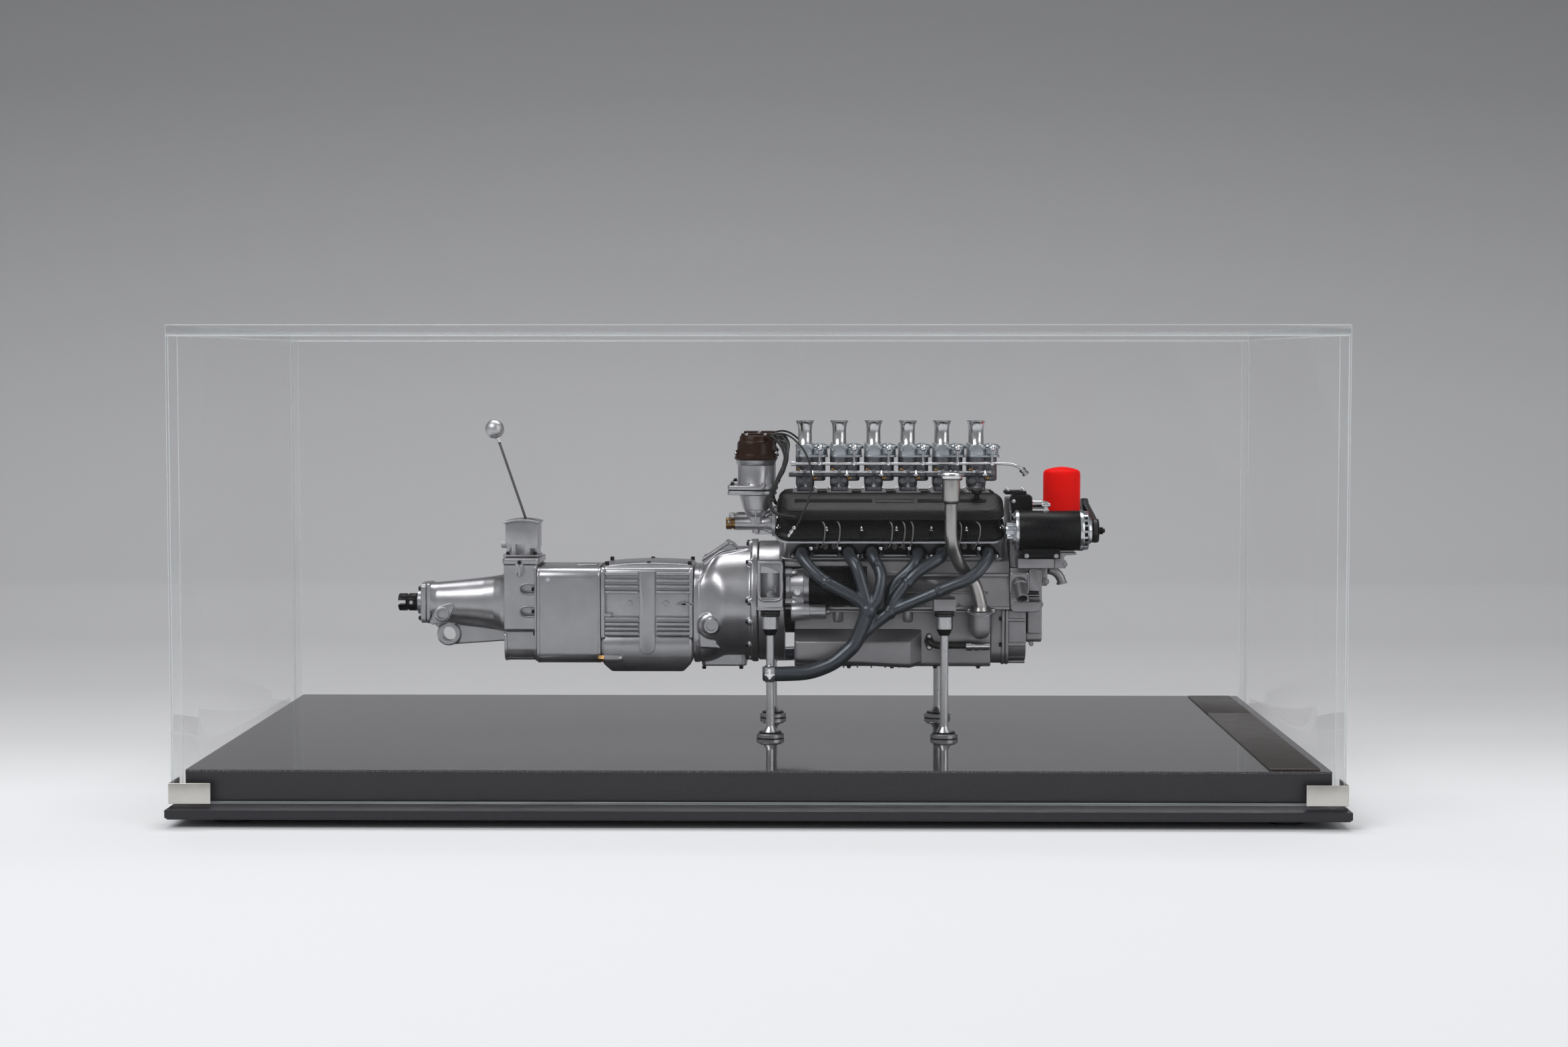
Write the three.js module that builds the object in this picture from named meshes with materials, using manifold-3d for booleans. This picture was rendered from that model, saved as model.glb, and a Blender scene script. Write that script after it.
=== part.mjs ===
// Quarter-scale display replica of a V12 four stroke engine with its clutch housing and gearbox,
// standing on four posts on a plinth, under a clear lift-off cover.
// Millimetres. +X runs from the gearbox to the front of the engine, +Y to the far bank, +Z up.
// The origin is on the floor, under the middle of the base plate.

import * as THREE from "three";
import { mergeVertices } from "three/addons/utils/BufferGeometryUtils.js";
import Module from "manifold-3d";

const wasm = await Module();
wasm.setup();

// Clearances
const seam = 0.3; // joint line between fitted neighbours
const running = 0.3; // clearance round a turning shaft
const overrun = 2; // how far a cut runs past the solid it opens
const weld = 0.0001; // vertices closer than this are one

// Sides of round solids, and of the runs that bent pipes are made of
const sides = {
  strand: 6, pipe: 8, small: 10, round: 14, large: 28, oval: 16, casting: 20, beltArc: 14,
  primaryRun: 6, collectorRun: 5, tailRun: 10, outletRun: 6, railRun: 12, loomRun: 12, fillerRun: 11,
};
// How boxy a ring is: 2 is an ellipse, and more is squarer
const roundness = { ellipse: 2, soft: 2.2, full: 2.6, boxy: 3, square: 4 };

// Display stand
const foot = { diameter: 26, height: 5, inset: 34 };
const plate = { thickness: 9, margin: 3.3, bevelOut: 5, bevelDrop: 3.2, chamfer: 1.5 };
const cover = { wall: 6, gap: 1.2, height: 282.7 };
const block = { length: 679, depth: 364, height: 18.3, rebateHeight: 1.5, rebateDepth: 1.2 };
const deck = { thickness: 1.2 };
const plaque = {
  width: 30, thickness: 1, sideMargin: 6, frontMargin: 5, rearMargin: 6, frontLength: 254, gap: 1,
};
const bracket = { leg: 25, height: 12.3, thickness: 1 };
const post = {
  footDiameter: 18, footHeight: 3, coneDiameter: 10.3, coneHeight: 4, rodDiameter: 5, rodLength: 61,
  flareHeight: 2.5, socketDiameter: 11.5, socketHeight: 8, isolatorDiameter: 12.6, isolatorHeight: 3.7,
};

// Where the engine stands: its block's rear face and its centre plane, seen from above the plinth
const engine = { rearX: 13.9, planeY: 11, mountDrop: 2 };

// The two banks lean outwards; out is measured square to a bank's own middle plane
const bores = { perBank: 6, firstX: 17.3, pitch: 22.5, frontMargin: 16 };
const bank = { leanDegrees: 30, deckHeight: 40.6, halfWidth: 14, headHeight: 16.2, camHeight: 60.6 };
const head = { rearOverhang: 2.9, frontInset: 2.7, chamfer: 1.2 };
const camCover = {
  halfWidth: 15.5, height: 20.4, rearOverhang: 5.4, frontInset: 3.3, shoulder: 6, crownHalfWidth: 11.5,
  endRadius: 3.2, ribHeight: 1, ribHalfWidth: 4.2, ribInset: 9, bulgeShare: 0.7,
};

const crankcase = {
  halfWidth: 37, flangeHalfWidth: 39, flangeDrop: 2.7, flangeThickness: 1.8,
  shoulderHeight: 8, valleyHeight: 36,
};
const mountSpread = 51; // from the centre plane to each post
const frontMount = { boreShare: 3.813, length: 14, height: 7.5, reach: 6.8, webLength: 8, webHeight: 18 };
const rearMount = {
  length: 15.7, height: 30, reach: 6.8, wall: 3, pocketDepth: 8, pocketLow: 6, pocketHigh: 3.5,
};

const sump = {
  rearGap: 6.6, frontInset: 11.9, halfWidth: 34, depth: 37.3, chamfer: 3,
  podHalfWidth: 44, podDrop: 12.8, podLength: 82.5, podBevel: 5, podDepth: 38,
};
const fillerCup = { boreShare: 4.862, out: 44, radius: 6.5, depth: 16.2 };

// Timing cover, with the accessories' seats that are cast on it
const timing = {
  depth: 12.9, lowerHalfWidth: 34, lowerDrop: 41.5, lowerChamfer: 8,
  upperHalfWidth: 36, upperHeight: 24, towerHalfWidth: 26, towerHeight: 68, towerShoulder: 8,
  boxDepth: 9.2, boxHalfWidth: 28, boxDrop: 24.5, boxChamfer: 4,
};
const nose = { radius: 8, boreDepth: 30 };
const filterHead = { length: 35.3, nearOut: 16, farOut: 8, low: 50, thickness: 5.5 };
const shelf = { rearInset: 8.6, length: 30, nearOut: 50, low: 25.5, thickness: 5 };
const outlet = {
  inset: 1.4, out: 16, height: 21.5, radius: 3.5, run: 14.7, drop: 9.5, bendShare: 0.7, bendDropShare: 0.2,
};
const stub = { inset: 4.6, radius: 4, length: 14, low: -0.5, proud: 2.2 };

const dynamo = {
  out: 40, height: 48.6, bossRadius: 5.5, bossLength: 5.8, ringRadius: 13.4, ringLength: 2.4,
  bodyRadius: 13, bodyLength: 39.3, fanRadius: 12.6, fanLength: 2.9, hubRadius: 8.4, hubLength: 2.3,
  saddleLength: 24, saddleHalfWidth: 10, saddleInset: 2.4,
};
const pulley = {
  width: 4.4, cheek: 0.6, grooveDepth: 2.4, dynamoRadius: 7.6, mainRadius: 13.5, spindleRadius: 1.6,
};
const pulleyNut = { radius: 2.4, length: 4.2 };
const mainHub = { radius: 6, length: 4.9 };
const belt = { width: 2.6, thickness: 2.3 };
const filter = { inset: 11.9, out: 4, radius: 12.2, height: 32.7, dome: 3.4, neckRadius: 7, neckHeight: 1.5 };
const domeShares = [[0.65, 0.86], [1, 0.5]]; // of the dome's height and of the can's radius

const starter = {
  out: 37.5, height: 12.5, radius: 13, noseRadius: 11.5, noseLength: 15.4, length: 52.6,
  solenoidRadius: 5.5, solenoidLength: 11.8, solenoidOut: 45.6, solenoidDrop: 3.5, solenoidStart: 4,
  plungerRadius: 4.2, plungerLength: 11,
};

// Induction
const manifold = {
  seatLow: 44.6, seatHigh: 54.5, spineHeight: 62,
  padHeight: 72.9, padHalfWidth: 18, padHalfLength: 8, endMargin: 9,
};
const carburettor = {
  rearOffset: 4, rearReach: 5.5, frontReach: 5.5, halfWidth: 15, flangeThickness: 2.4, flangeHalfWidth: 17,
  bodyHeight: 22, bowlInset: 2, bowlHalfWidth: 12, bowlLow: 5, lidHeight: 8.1, lidRear: 6, lidGap: 1.5,
  lidHalfWidth: 16, lidChamfer: 1.4, barrelSpread: 9,
  trumpetRadius: 4.45, trumpetMouth: 6.1, trumpetHeight: 15.4, trumpetWall: 0.8, trumpetBoreDepth: 12,
  flareShare: 0.3, flareBendShares: [0.7, 0.4], earReach: 9, earThickness: 2, earHalfHeight: 2.2,
};
const throttle = {
  out: 20.4, height: 12.3, radius: 0.75, overhang: 9, armLength: 4.4, armWidth: 1.2, armOffset: 4.2,
};
const rail = { radius: 0.9, height: 17.7, rearOverhang: 7.6, frontOverhang: 25, unionX: 9.5, ballRadius: 2.1,
  stemRadius: 0.8, ballHeight: 27.7, bendDrop: 6, bendRun: 6, unionRadius: 2 };

// Distributors, on the rear end of each cam cover
const distributor = {
  axisX: -18.4, driveRadius: 4.25, driveRear: 13.5, driveFlange: 1.4, driveFlangeRadius: 7,
  tipRadius: 3.8, tipLength: 6, neckRadius: 5.6, neckLow: 4.5, coneRadius: 11.4, coneLow: 9.4, coneHigh: 17,
  flangeHeight: 6, flangeRear: 17, flangeFront: 9, flangeHalfWidth: 12.4, bodyRadius: 12.1, bodyHeight: 16.4,
};
const cap = { rimRadius: 14, rimHeight: 3, radius: 12.4, height: 14, crownRadius: 10.6, crownHeight: 4.6 };
const loom = { radius: 1.8 };

// Exhausts: six primaries and two collectors that join in one tail on each side
const exhaust = {
  primaryRadius: 3.5, collectorRadius: 4.8, portHeight: 49, flangeThickness: 2, flangeHalfLength: 7.6,
  flangeHalfHeight: 5.6, earlyOffset: -5.8, lateOffset: 1.8,
  rearMerge: { boreShare: 1.631, out: 58, z: -2.1 }, frontMerge: { boreShare: 2.231, out: 53, z: -3 },
  join: { boreShare: 1.298, out: 58.5, z: -21 }, tail: { x: -13.4, out: 60.5, z: -42.1 },
};
// Each row is one pipe: shares of the bore pitch along, of the way out and of the way down
const primaryRouteShares = [
  [[0.04, 0.5, 0.12], [0.59, 0.88, 0.46], [1.6, 1, 0.8]],
  [[0.02, 0.42, 0.08], [0.23, 0.85, 0.27], [0.5, 1, 0.82]],
  [[0.03, 0.42, 0.08], [0.26, 0.82, 0.4], [0.12, 1, 0.8]],
  [[-0.03, 0.36, 0.1], [-0.22, 0.62, 0.28], [-0.74, 0.66, 0.6]],
  [[-0.05, 0.6, 0.1], [-0.76, 0.95, 0.36], [-1.3, 1, 0.75]],
  [[-0.04, 0.7, 0.12], [-0.49, 1.2, 0.4], [-1.25, 1.24, 0.59]],
];
const rearCollectorShares = [[0.45, 0.2, 0.4], [0.8, 0.7, 0.75]];
const tailShares = [[0.11, 0.3, 0.36], [0.27, 0.7, 0.7], [0.5, 0.9, 0.94], [0.75, 1, 1]];

// Oil filler tube: down in front of the near bank, then in behind the front pipe to the cup on the sump
const fillerTube = {
  boreShare: 3.973, out: 59, lowerRadius: 4.2, upperRadius: 5.8, upperLength: 14.9, topZ: 82.9,
};
const fillerRouteShares = [[0, 0, 0.28], [0.02, 0.1, 0.45], [0.16, 0.42, 0.57], [0.42, 0.78, 0.69],
  [0.82, 0.98, 0.81]];
const fillerCap = { radius: 8.8, height: 4.6, lipHeight: 1.6, lipRadius: 7.2 };

// Transmission, from the clutch housing back; drop is the section's middle below the crank axis
const clutch = { length: 17, radius: 39.6, chamfer: 1 };
const bell = {
  flangeLength: 4.5, flangeRadius: 40.65, length: 37.5, rearHalfHeight: 31.4, rearHalfWidth: 31, rearDrop: 8.1,
  frontRadius: 38.4, panLength: 27, panDrop: 43, panHalfWidth: 18, coverLength: 20, coverHalfWidth: 14,
  coverProud: 5, plugX: 25.6, plugDrop: 13, plugRadius: 8.2, plugProud: 3, plugBore: 4.2, plugDepth: 4,
};
const bellGirthShares = [[0, 0], [0.12, 0.06], [0.3, 0.34], [0.5, 0.66], [0.72, 0.88], [1, 1]];
const gearbox = {
  length: 60, halfWidth: 30, top: 23.7, panJoint: -23.1, panBottom: -41.2, sumpBottom: -45.1, sumpInset: 5,
  coverThickness: 3.5, coverInset: 1, coverHalfWidth: 24, panInset: 1.2, chamfer: 2,
  ribThickness: 1.1, ribProud: 1.3, ribPitch: 4, ribsPerPanel: 4, ribTop: 18.3, ribLow: -9.3, ribLength: 22,
  ribInset: 3,
};
const midCase = { length: 41.6, halfWidth: 29, top: 23.3, bottom: -39.3, chamfer: 1.5 };
const tower = {
  length: 22, halfWidth: 22, top: 29, bottom: -19, lobeBottom: -39.1, lobeHalfWidth: 16,
  slotLength: 10, slotHeight: 4, slotDepth: 2.4, slotPitch: 14.5,
};
const tail = {
  length: 52.2, frontHalfHeight: 18, frontHalfWidth: 18, frontDrop: 1.5, rearHalfHeight: 13.2,
  rearHalfWidth: 13,
  webHalfWidth: 6, eyeRadius: 4.75, eyeRim: 3, eyeX: 13.6, eyeDrop: 22.3, webRoot: 27, bossX: 10.6,
  bossDrop: 8.2,
  bossRadius: 5, bossBore: 3, bossProud: 4.5, bossDepth: 5, collarShare: 0.12, throatShare: 0.9,
};
const outputShaft = {
  drop: 1.5, radius: 3.6, journal: 34, yokeRadius: 5.8, yokeLength: 12.5, slotWidth: 3, slotDepth: 5,
};
const rearPlate = { thickness: 3.4, sealRadius: 7.9, sealLength: 3.4 };
const turret = {
  length: 22.4, halfWidth: 11, height: 24.5, domeRise: 3.2, seatHeight: 3.4, seatMargin: 1.4, bossRadius: 2.6,
  bossLength: 3.5,
  bossHeight: 6,
};
// The turret's round top: shares of its length and of its dome's rise
const domeTopShares = [[0.8, 0.75], [0.5, 1], [0.2, 0.75]];
const lever = {
  pivotHeight: 19.7, pivotInset: 8.1, leanDegrees: 18.8, swingDegrees: 12, rodRadius: 0.85,
  rodLength: 61.9, nutRadius: 2, nutLength: 3.4, knobRadius: 6.15, ballRadius: 4.6, pinRadius: 1.3,
  pinHalfLength: 3.4,
};

// Shapes and solids

function solid(geometry) {
  const bare = new THREE.BufferGeometry();
  bare.setAttribute("position", geometry.getAttribute("position"));
  if (geometry.index) bare.setIndex(geometry.index);
  const merged = mergeVertices(bare, weld);
  const corners = merged.index.array;
  const faces = [];
  for (let i = 0; i < corners.length; i += 3) {
    const [a, b, c] = [corners[i], corners[i + 1], corners[i + 2]];
    if (a !== b && b !== c && a !== c) faces.push(a, b, c);
  }
  return new wasm.Manifold(new wasm.Mesh({
    numProp: 3,
    vertProperties: new Float32Array(merged.getAttribute("position").array),
    triVerts: new Uint32Array(faces),
  }));
}

function join(first, ...others) {
  return others.reduce((whole, other) => whole.add(other), first);
}

function cut(whole, ...tools) {
  return tools.reduce((rest, tool) => rest.subtract(tool), whole);
}

function geometryOf(manifoldSolid) {
  const mesh = manifoldSolid.getMesh();
  const geometry = new THREE.BufferGeometry();
  geometry.setAttribute("position", new THREE.BufferAttribute(new Float32Array(mesh.vertProperties), 3));
  geometry.setIndex(new THREE.BufferAttribute(new Uint32Array(mesh.triVerts), 1));
  geometry.computeVertexNormals();
  return geometry;
}

const axisX = new THREE.Vector3(1, 0, 0);
const axisY = new THREE.Vector3(0, 1, 0);
const axisZ = new THREE.Vector3(0, 0, 1);
const drawnInYZ = new THREE.Matrix4().makeBasis(axisY, axisZ, axisX);
const drawnInXZ = new THREE.Matrix4().makeBasis(axisX, axisZ, axisY.clone().negate());
const turnedOnX = new THREE.Matrix4().makeBasis(axisZ, axisX, axisY);
const turnedOnZ = new THREE.Matrix4().makeBasis(axisY, axisZ, axisX);

function outline(points) {
  return new THREE.Shape(points.map(([u, v]) => new THREE.Vector2(u, v)));
}

function circle(radius, count, centreU = 0, centreV = 0) {
  const points = [];
  for (let i = 0; i < count; i += 1) {
    const angle = (2 * Math.PI * (i + 0.5)) / count;
    points.push([centreU + radius * Math.cos(angle), centreV + radius * Math.sin(angle)]);
  }
  return outline(points);
}

// A half outline given for +Y is completed with its mirror image
function mirrored(half) {
  const other = half.filter(([y]) => y !== 0).map(([y, z]) => [-y, z]).reverse();
  return outline([...half, ...other]);
}

function extruded(shape, length, chamfer) {
  const geometry = new THREE.ExtrudeGeometry(shape, {
    depth: length - 2 * chamfer, bevelEnabled: chamfer > 0, bevelThickness: chamfer, bevelSize: chamfer,
    bevelOffset: -chamfer, bevelSegments: 1, curveSegments: 6,
  });
  return geometry.translate(0, 0, chamfer);
}

function alongX(shape, fromX, toX, chamfer = 0) {
  return solid(extruded(shape, toX - fromX, chamfer).applyMatrix4(drawnInYZ).translate(fromX, 0, 0));
}

function alongY(shape, fromY, toY, chamfer = 0) {
  return solid(extruded(shape, toY - fromY, chamfer).applyMatrix4(drawnInXZ).translate(0, toY, 0));
}

function alongZ(shape, fromZ, toZ, chamfer = 0) {
  return solid(extruded(shape, toZ - fromZ, chamfer).translate(0, 0, fromZ));
}

function box([fromX, toX], [fromY, toY], [fromZ, toZ], chamfer = 0) {
  const shape = outline([[fromX, fromY], [toX, fromY], [toX, toY], [fromX, toY]]);
  return alongZ(shape, fromZ, toZ, chamfer);
}

// A profile is a list of [place along the axis, radius]; it is closed on the axis at both ends
function turned(profile, count, matrix, centre) {
  const first = [profile[0][0], 0];
  const last = [profile[profile.length - 1][0], 0];
  const points = [first, ...profile, last].map(([along, radius]) => new THREE.Vector2(radius, along));
  return solid(new THREE.LatheGeometry(points, count).applyMatrix4(matrix).translate(...centre));
}

function turnedX(profile, count, y = 0, z = 0) {
  return turned(profile, count, turnedOnX, [0, y, z]);
}

function turnedZ(profile, count, x = 0, y = 0) {
  return turned(profile, count, turnedOnZ, [x, y, 0]);
}

function rod(radius, from, to, count, matrix, centre) {
  return turned([[from, radius], [to, radius]], count, matrix, centre);
}

function pipe(points, radius, steps, count = sides.pipe) {
  const curve = new THREE.CatmullRomCurve3(points.map((p) => new THREE.Vector3(...p)), false, "centripetal");
  return solid(new THREE.ExtrudeGeometry(circle(radius, count),
    { extrudePath: curve, steps, bevelEnabled: false }));
}

// One ring of a casting's skin: from a circle (roundness 2) to a box with soft corners (higher)
function ring({ x, z, halfWidth, halfHeight, roundness }) {
  const points = [];
  for (let i = 0; i < sides.casting; i += 1) {
    const angle = (2 * Math.PI * (i + 0.5)) / sides.casting;
    const [c, s] = [Math.cos(angle), Math.sin(angle)];
    const y = halfWidth * Math.sign(c) * Math.abs(c) ** (2 / roundness);
    points.push([x, y, z + halfHeight * Math.sign(s) * Math.abs(s) ** (2 / roundness)]);
  }
  return points;
}

// A closed skin through rings that follow one another along +X
function lofted(rings) {
  const count = sides.casting;
  const positions = rings.flat(2);
  const faces = [];
  for (let j = 0; j + 1 < rings.length; j += 1) {
    for (let i = 0; i < count; i += 1) {
      const [a, b] = [j * count + i, j * count + ((i + 1) % count)];
      faces.push(a, b, a + count, b, b + count, a + count);
    }
  }
  const lastStart = (rings.length - 1) * count;
  for (let i = 1; i + 1 < count; i += 1) {
    faces.push(0, i + 1, i);
    faces.push(lastStart, lastStart + i, lastStart + i + 1);
  }
  const geometry = new THREE.BufferGeometry();
  geometry.setAttribute("position", new THREE.Float32BufferAttribute(positions, 3));
  geometry.setIndex(faces);
  return solid(geometry);
}

function mix(from, to, share) {
  return from + (to - from) * share;
}

// Materials

function finish(color, roughness, metalness, extra = {}) {
  return new THREE.MeshStandardMaterial({ color, roughness, metalness, ...extra });
}

const looks = {
  satinBlack: finish("#26232a", 0.45, 0.1),
  wovenDeck: finish("#1b1a1c", 0.18, 0.1),
  plaque: finish("#4a4643", 0.4, 0.8),
  acrylic: finish("#eef3f2", 0.05, 0, { transparent: true, opacity: 0.25 }),
  satinSteel: finish("#c9c6c1", 0.35, 0.9),
  postSteel: finish("#9a9a9c", 0.3, 0.9),
  castSilver: finish("#a2a4a7", 0.42, 0.6),
  castGrey: finish("#6a6a6c", 0.5, 0.6),
  crackleBlack: finish("#1d1b1e", 0.5, 0.1),
  zinc: finish("#8f979e", 0.4, 0.7),
  bright: finish("#dcdcdc", 0.15, 1),
  bakelite: finish("#3a1d10", 0.3, 0),
  rubber: finish("#101010", 0.6, 0),
  exhaustGrey: finish("#3f454d", 0.35, 0.4),
  filterRed: finish("#d01008", 0.3, 0),
  blackPaint: finish("#151416", 0.35, 0.2),
};

function piece(name, body, material, parent) {
  const mesh = new THREE.Mesh(geometryOf(body), material);
  mesh.name = name;
  parent.add(mesh);
}

// Display stand and cover

const plateLength = block.length + 2 * (cover.gap + cover.wall + plate.margin);
const plateDepth = block.depth + 2 * (cover.gap + cover.wall + plate.margin);
const plateTop = foot.height + plate.thickness;
const deckTop = plateTop + block.height + deck.thickness;
const coverHalfLength = block.length / 2 + cover.gap + cover.wall;
const coverHalfDepth = block.depth / 2 + cover.gap + cover.wall;

// How far along the block a bore stands, counted from the first one
function boreX(count) {
  return bores.firstX + count * bores.pitch;
}

function span(centre, length) {
  return [centre - length / 2, centre + length / 2];
}

function basePlate() {
  const faceTop = plateTop - plate.bevelDrop;
  const faceLow = foot.height + plate.chamfer;
  const rim = box(span(0, plateLength), span(0, plateDepth), [faceLow, faceTop]);
  const flatSides = [plateLength / 2 - plate.bevelOut, plateDepth / 2 - plate.bevelOut];
  const lowSides = [plateLength / 2 - plate.chamfer, plateDepth / 2 - plate.chamfer];
  const upper = frustum([plateLength / 2, plateDepth / 2], flatSides, faceTop, plateTop);
  const lower = frustum(lowSides, [plateLength / 2, plateDepth / 2], foot.height, faceLow);
  let whole = join(rim, upper, lower);
  for (const x of [-1, 1]) {
    for (const y of [-1, 1]) {
      const centre = [x * (plateLength / 2 - foot.inset), y * (plateDepth / 2 - foot.inset)];
      whole = join(whole, rod(foot.diameter / 2, 0, plateTop - plate.thickness / 2, sides.round, turnedOnZ,
        [...centre, 0]));
    }
  }
  return whole;
}

// A block whose four sides slope from one rectangle of half sizes to another
function frustum([lowX, lowY], [highX, highY], fromZ, toZ) {
  const corners = [[-1, -1], [1, -1], [1, 1], [-1, 1]];
  const positions = [
    ...corners.flatMap(([x, y]) => [x * lowX, y * lowY, fromZ]),
    ...corners.flatMap(([x, y]) => [x * highX, y * highY, toZ]),
  ];
  const geometry = new THREE.BufferGeometry();
  geometry.setAttribute("position", new THREE.Float32BufferAttribute(positions, 3));
  geometry.setIndex([0, 2, 1, 0, 3, 2, 4, 5, 6, 4, 6, 7, 0, 1, 5, 0, 5, 4, 1, 2, 6, 1, 6, 5, 2, 3, 7, 2, 7, 6,
    3, 0, 4, 3, 4, 7]);
  return solid(geometry);
}

function plinthBlock() {
  const upper = box(span(0, block.length), span(0, block.depth),
    [plateTop + block.rebateHeight, plateTop + block.height]);
  const inner = [block.length - 2 * block.rebateDepth, block.depth - 2 * block.rebateDepth];
  const lower = box(span(0, inner[0]), span(0, inner[1]), [plateTop, plateTop + block.height / 2]);
  return join(upper, lower);
}

function deckPlaque(fromFront, length) {
  const right = block.length / 2 - plaque.sideMargin;
  const near = -block.depth / 2 + fromFront;
  return box([right - plaque.width, right], [near, near + length], [deckTop, deckTop + plaque.thickness]);
}

function cornerBracket(sideX, sideY) {
  const gapX = coverHalfLength + seam;
  const gapY = coverHalfDepth + seam;
  const lowZ = plateTop + seam;
  const legX = [gapX + bracket.thickness - bracket.leg,
    gapX + bracket.thickness].map((v) => v * sideX).sort((a, b) => a - b);
  const legY = [gapY + bracket.thickness - bracket.leg,
    gapY + bracket.thickness].map((v) => v * sideY).sort((a, b) => a - b);
  const innerX = [gapX - bracket.leg - overrun, gapX].map((v) => v * sideX).sort((a, b) => a - b);
  const innerY = [gapY - bracket.leg - overrun, gapY].map((v) => v * sideY).sort((a, b) => a - b);
  const whole = box(legX, legY, [lowZ, lowZ + bracket.height]);
  return cut(whole, box(innerX, innerY, [lowZ - overrun, lowZ + bracket.height + overrun]));
}

const postHeight = post.footHeight + post.coneHeight + post.rodLength + post.flareHeight + post.socketHeight
  + post.isolatorHeight;

function supportPost() {
  const levels = [post.footHeight, post.coneHeight, post.rodLength, post.flareHeight, post.socketHeight,
    post.isolatorHeight];
  const z = levels.reduce((list, height) => [...list, list[list.length - 1] + height], [0]);
  const profile = [
    [z[0], post.footDiameter / 2], [z[1], post.footDiameter / 2], [z[1], post.coneDiameter / 2],
    [z[2], post.rodDiameter / 2], [z[3], post.rodDiameter / 2], [z[4], post.socketDiameter / 2],
    [z[5], post.socketDiameter / 2], [z[5], post.isolatorDiameter / 2], [z[6], post.isolatorDiameter / 2],
  ];
  return turnedZ(profile, sides.round);
}

function addStand(parent) {
  piece("base_plate", basePlate(), looks.satinBlack, parent);
  piece("plinth_block", plinthBlock(), looks.satinBlack, parent);
  const deckFloor = plateTop + block.height;
  piece("deck_panel", box(span(0, block.length), span(0, block.depth), [deckFloor, deckTop]), looks.wovenDeck,
    parent);
  const rearStart = plaque.frontMargin + plaque.frontLength + plaque.gap;
  piece("plaque_front", deckPlaque(plaque.frontMargin, plaque.frontLength), looks.plaque, parent);
  const rearLength = block.depth - rearStart - plaque.rearMargin;
  piece("plaque_rear", deckPlaque(rearStart, rearLength), looks.plaque, parent);
  for (const [name, x] of [["rear", -clutch.length / 2 - seam], ["front", boreX(frontMount.boreShare)]]) {
    for (const [where, side] of [["near", -1], ["far", 1]]) {
      const stand = new THREE.Group();
      stand.position.set(engine.rearX + x, engine.planeY + side * mountSpread, deckTop);
      parent.add(stand);
      piece(`post_${name}_${where}`, supportPost(), looks.postSteel, stand);
    }
  }
}

function addCover(parent) {
  const lowZ = plateTop + seam;
  const highZ = lowZ + cover.height;
  const wallTop = highZ - cover.wall - seam;
  const full = span(0, 2 * coverHalfLength);
  const inner = coverHalfDepth - cover.wall - seam;
  const nearY = [-coverHalfDepth, -coverHalfDepth + cover.wall];
  piece("cover_front", box(full, nearY, [lowZ, wallTop]), looks.acrylic, parent);
  piece("cover_back", box(full, nearY.map((y) => -y).reverse(), [lowZ, wallTop]), looks.acrylic, parent);
  const leftX = [-coverHalfLength, -coverHalfLength + cover.wall];
  piece("cover_left", box(leftX, [-inner, inner], [lowZ, wallTop]), looks.acrylic, parent);
  piece("cover_right", box(leftX.map((x) => -x).reverse(), [-inner, inner], [lowZ, wallTop]), looks.acrylic,
    parent);
  piece("cover_top", box(full, span(0, 2 * coverHalfDepth), [highZ - cover.wall, highZ]), looks.acrylic,
    parent);
  for (const [end, sideX] of [["left", -1], ["right", 1]]) {
    for (const [where, sideY] of [["front", -1], ["back", 1]]) {
      piece(`bracket_${where}_${end}`, cornerBracket(sideX, sideY), looks.satinSteel, parent);
    }
  }
}

// Cylinder block, heads and covers, measured from the block's rear face and the crank axis

const lean = THREE.MathUtils.degToRad(bank.leanDegrees);

// The camshafts' axes, which the distributors and the main pulley follow
const camY = bank.camHeight * Math.sin(lean);
const camZ = bank.camHeight * Math.cos(lean);

// A place on a bank: height up the bank, out from its middle plane, for the bank on the given side
function onBank(height, out, side = 1) {
  const y = height * Math.sin(lean) + out * Math.cos(lean);
  return [side * y, height * Math.cos(lean) - out * Math.sin(lean)];
}

const headLow = bank.deckHeight + seam;
const headTop = headLow + bank.headHeight;
const camCoverLow = headTop + seam;
const camCoverTop = camCoverLow + camCover.height;
const flangeTop = -crankcase.flangeDrop + crankcase.flangeThickness;
const blockRear = seam;
const blockFront = boreX(bores.perBank - 1) + bores.frontMargin;
const headFront = blockFront - head.frontInset;
const camCoverFront = blockFront - camCover.frontInset;
const sumpFront = blockFront - sump.frontInset;
const frontMountX = boreX(frontMount.boreShare);
const fillerCupX = boreX(fillerCup.boreShare);

function starterPocket() {
  const radius = starter.radius + seam;
  const rearEnd = blockRear - overrun;
  const frontEnd = starter.length + 3 * seam;
  const bore = rod(radius, rearEnd, frontEnd, sides.round, turnedOnX, [0, -starter.out, starter.height]);
  const nearWall = [-crankcase.flangeHalfWidth - overrun, -starter.out];
  return join(bore, box([rearEnd, frontEnd], nearWall, [starter.height - radius, starter.height + radius]));
}

function mountLug(side) {
  const tip = side * (mountSpread + frontMount.reach);
  const root = side * (crankcase.halfWidth - overrun);
  const [nearY, farY] = [Math.min(tip, root), Math.max(tip, root)];
  const low = -engine.mountDrop;
  const pad = box(span(frontMountX, frontMount.length), [nearY, farY], [low, low + frontMount.height]);
  const slope = outline([[root, low], [side * mountSpread, low], [root, low + frontMount.webHeight]]);
  return join(pad, alongX(slope, ...span(frontMountX, frontMount.webLength)));
}

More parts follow.
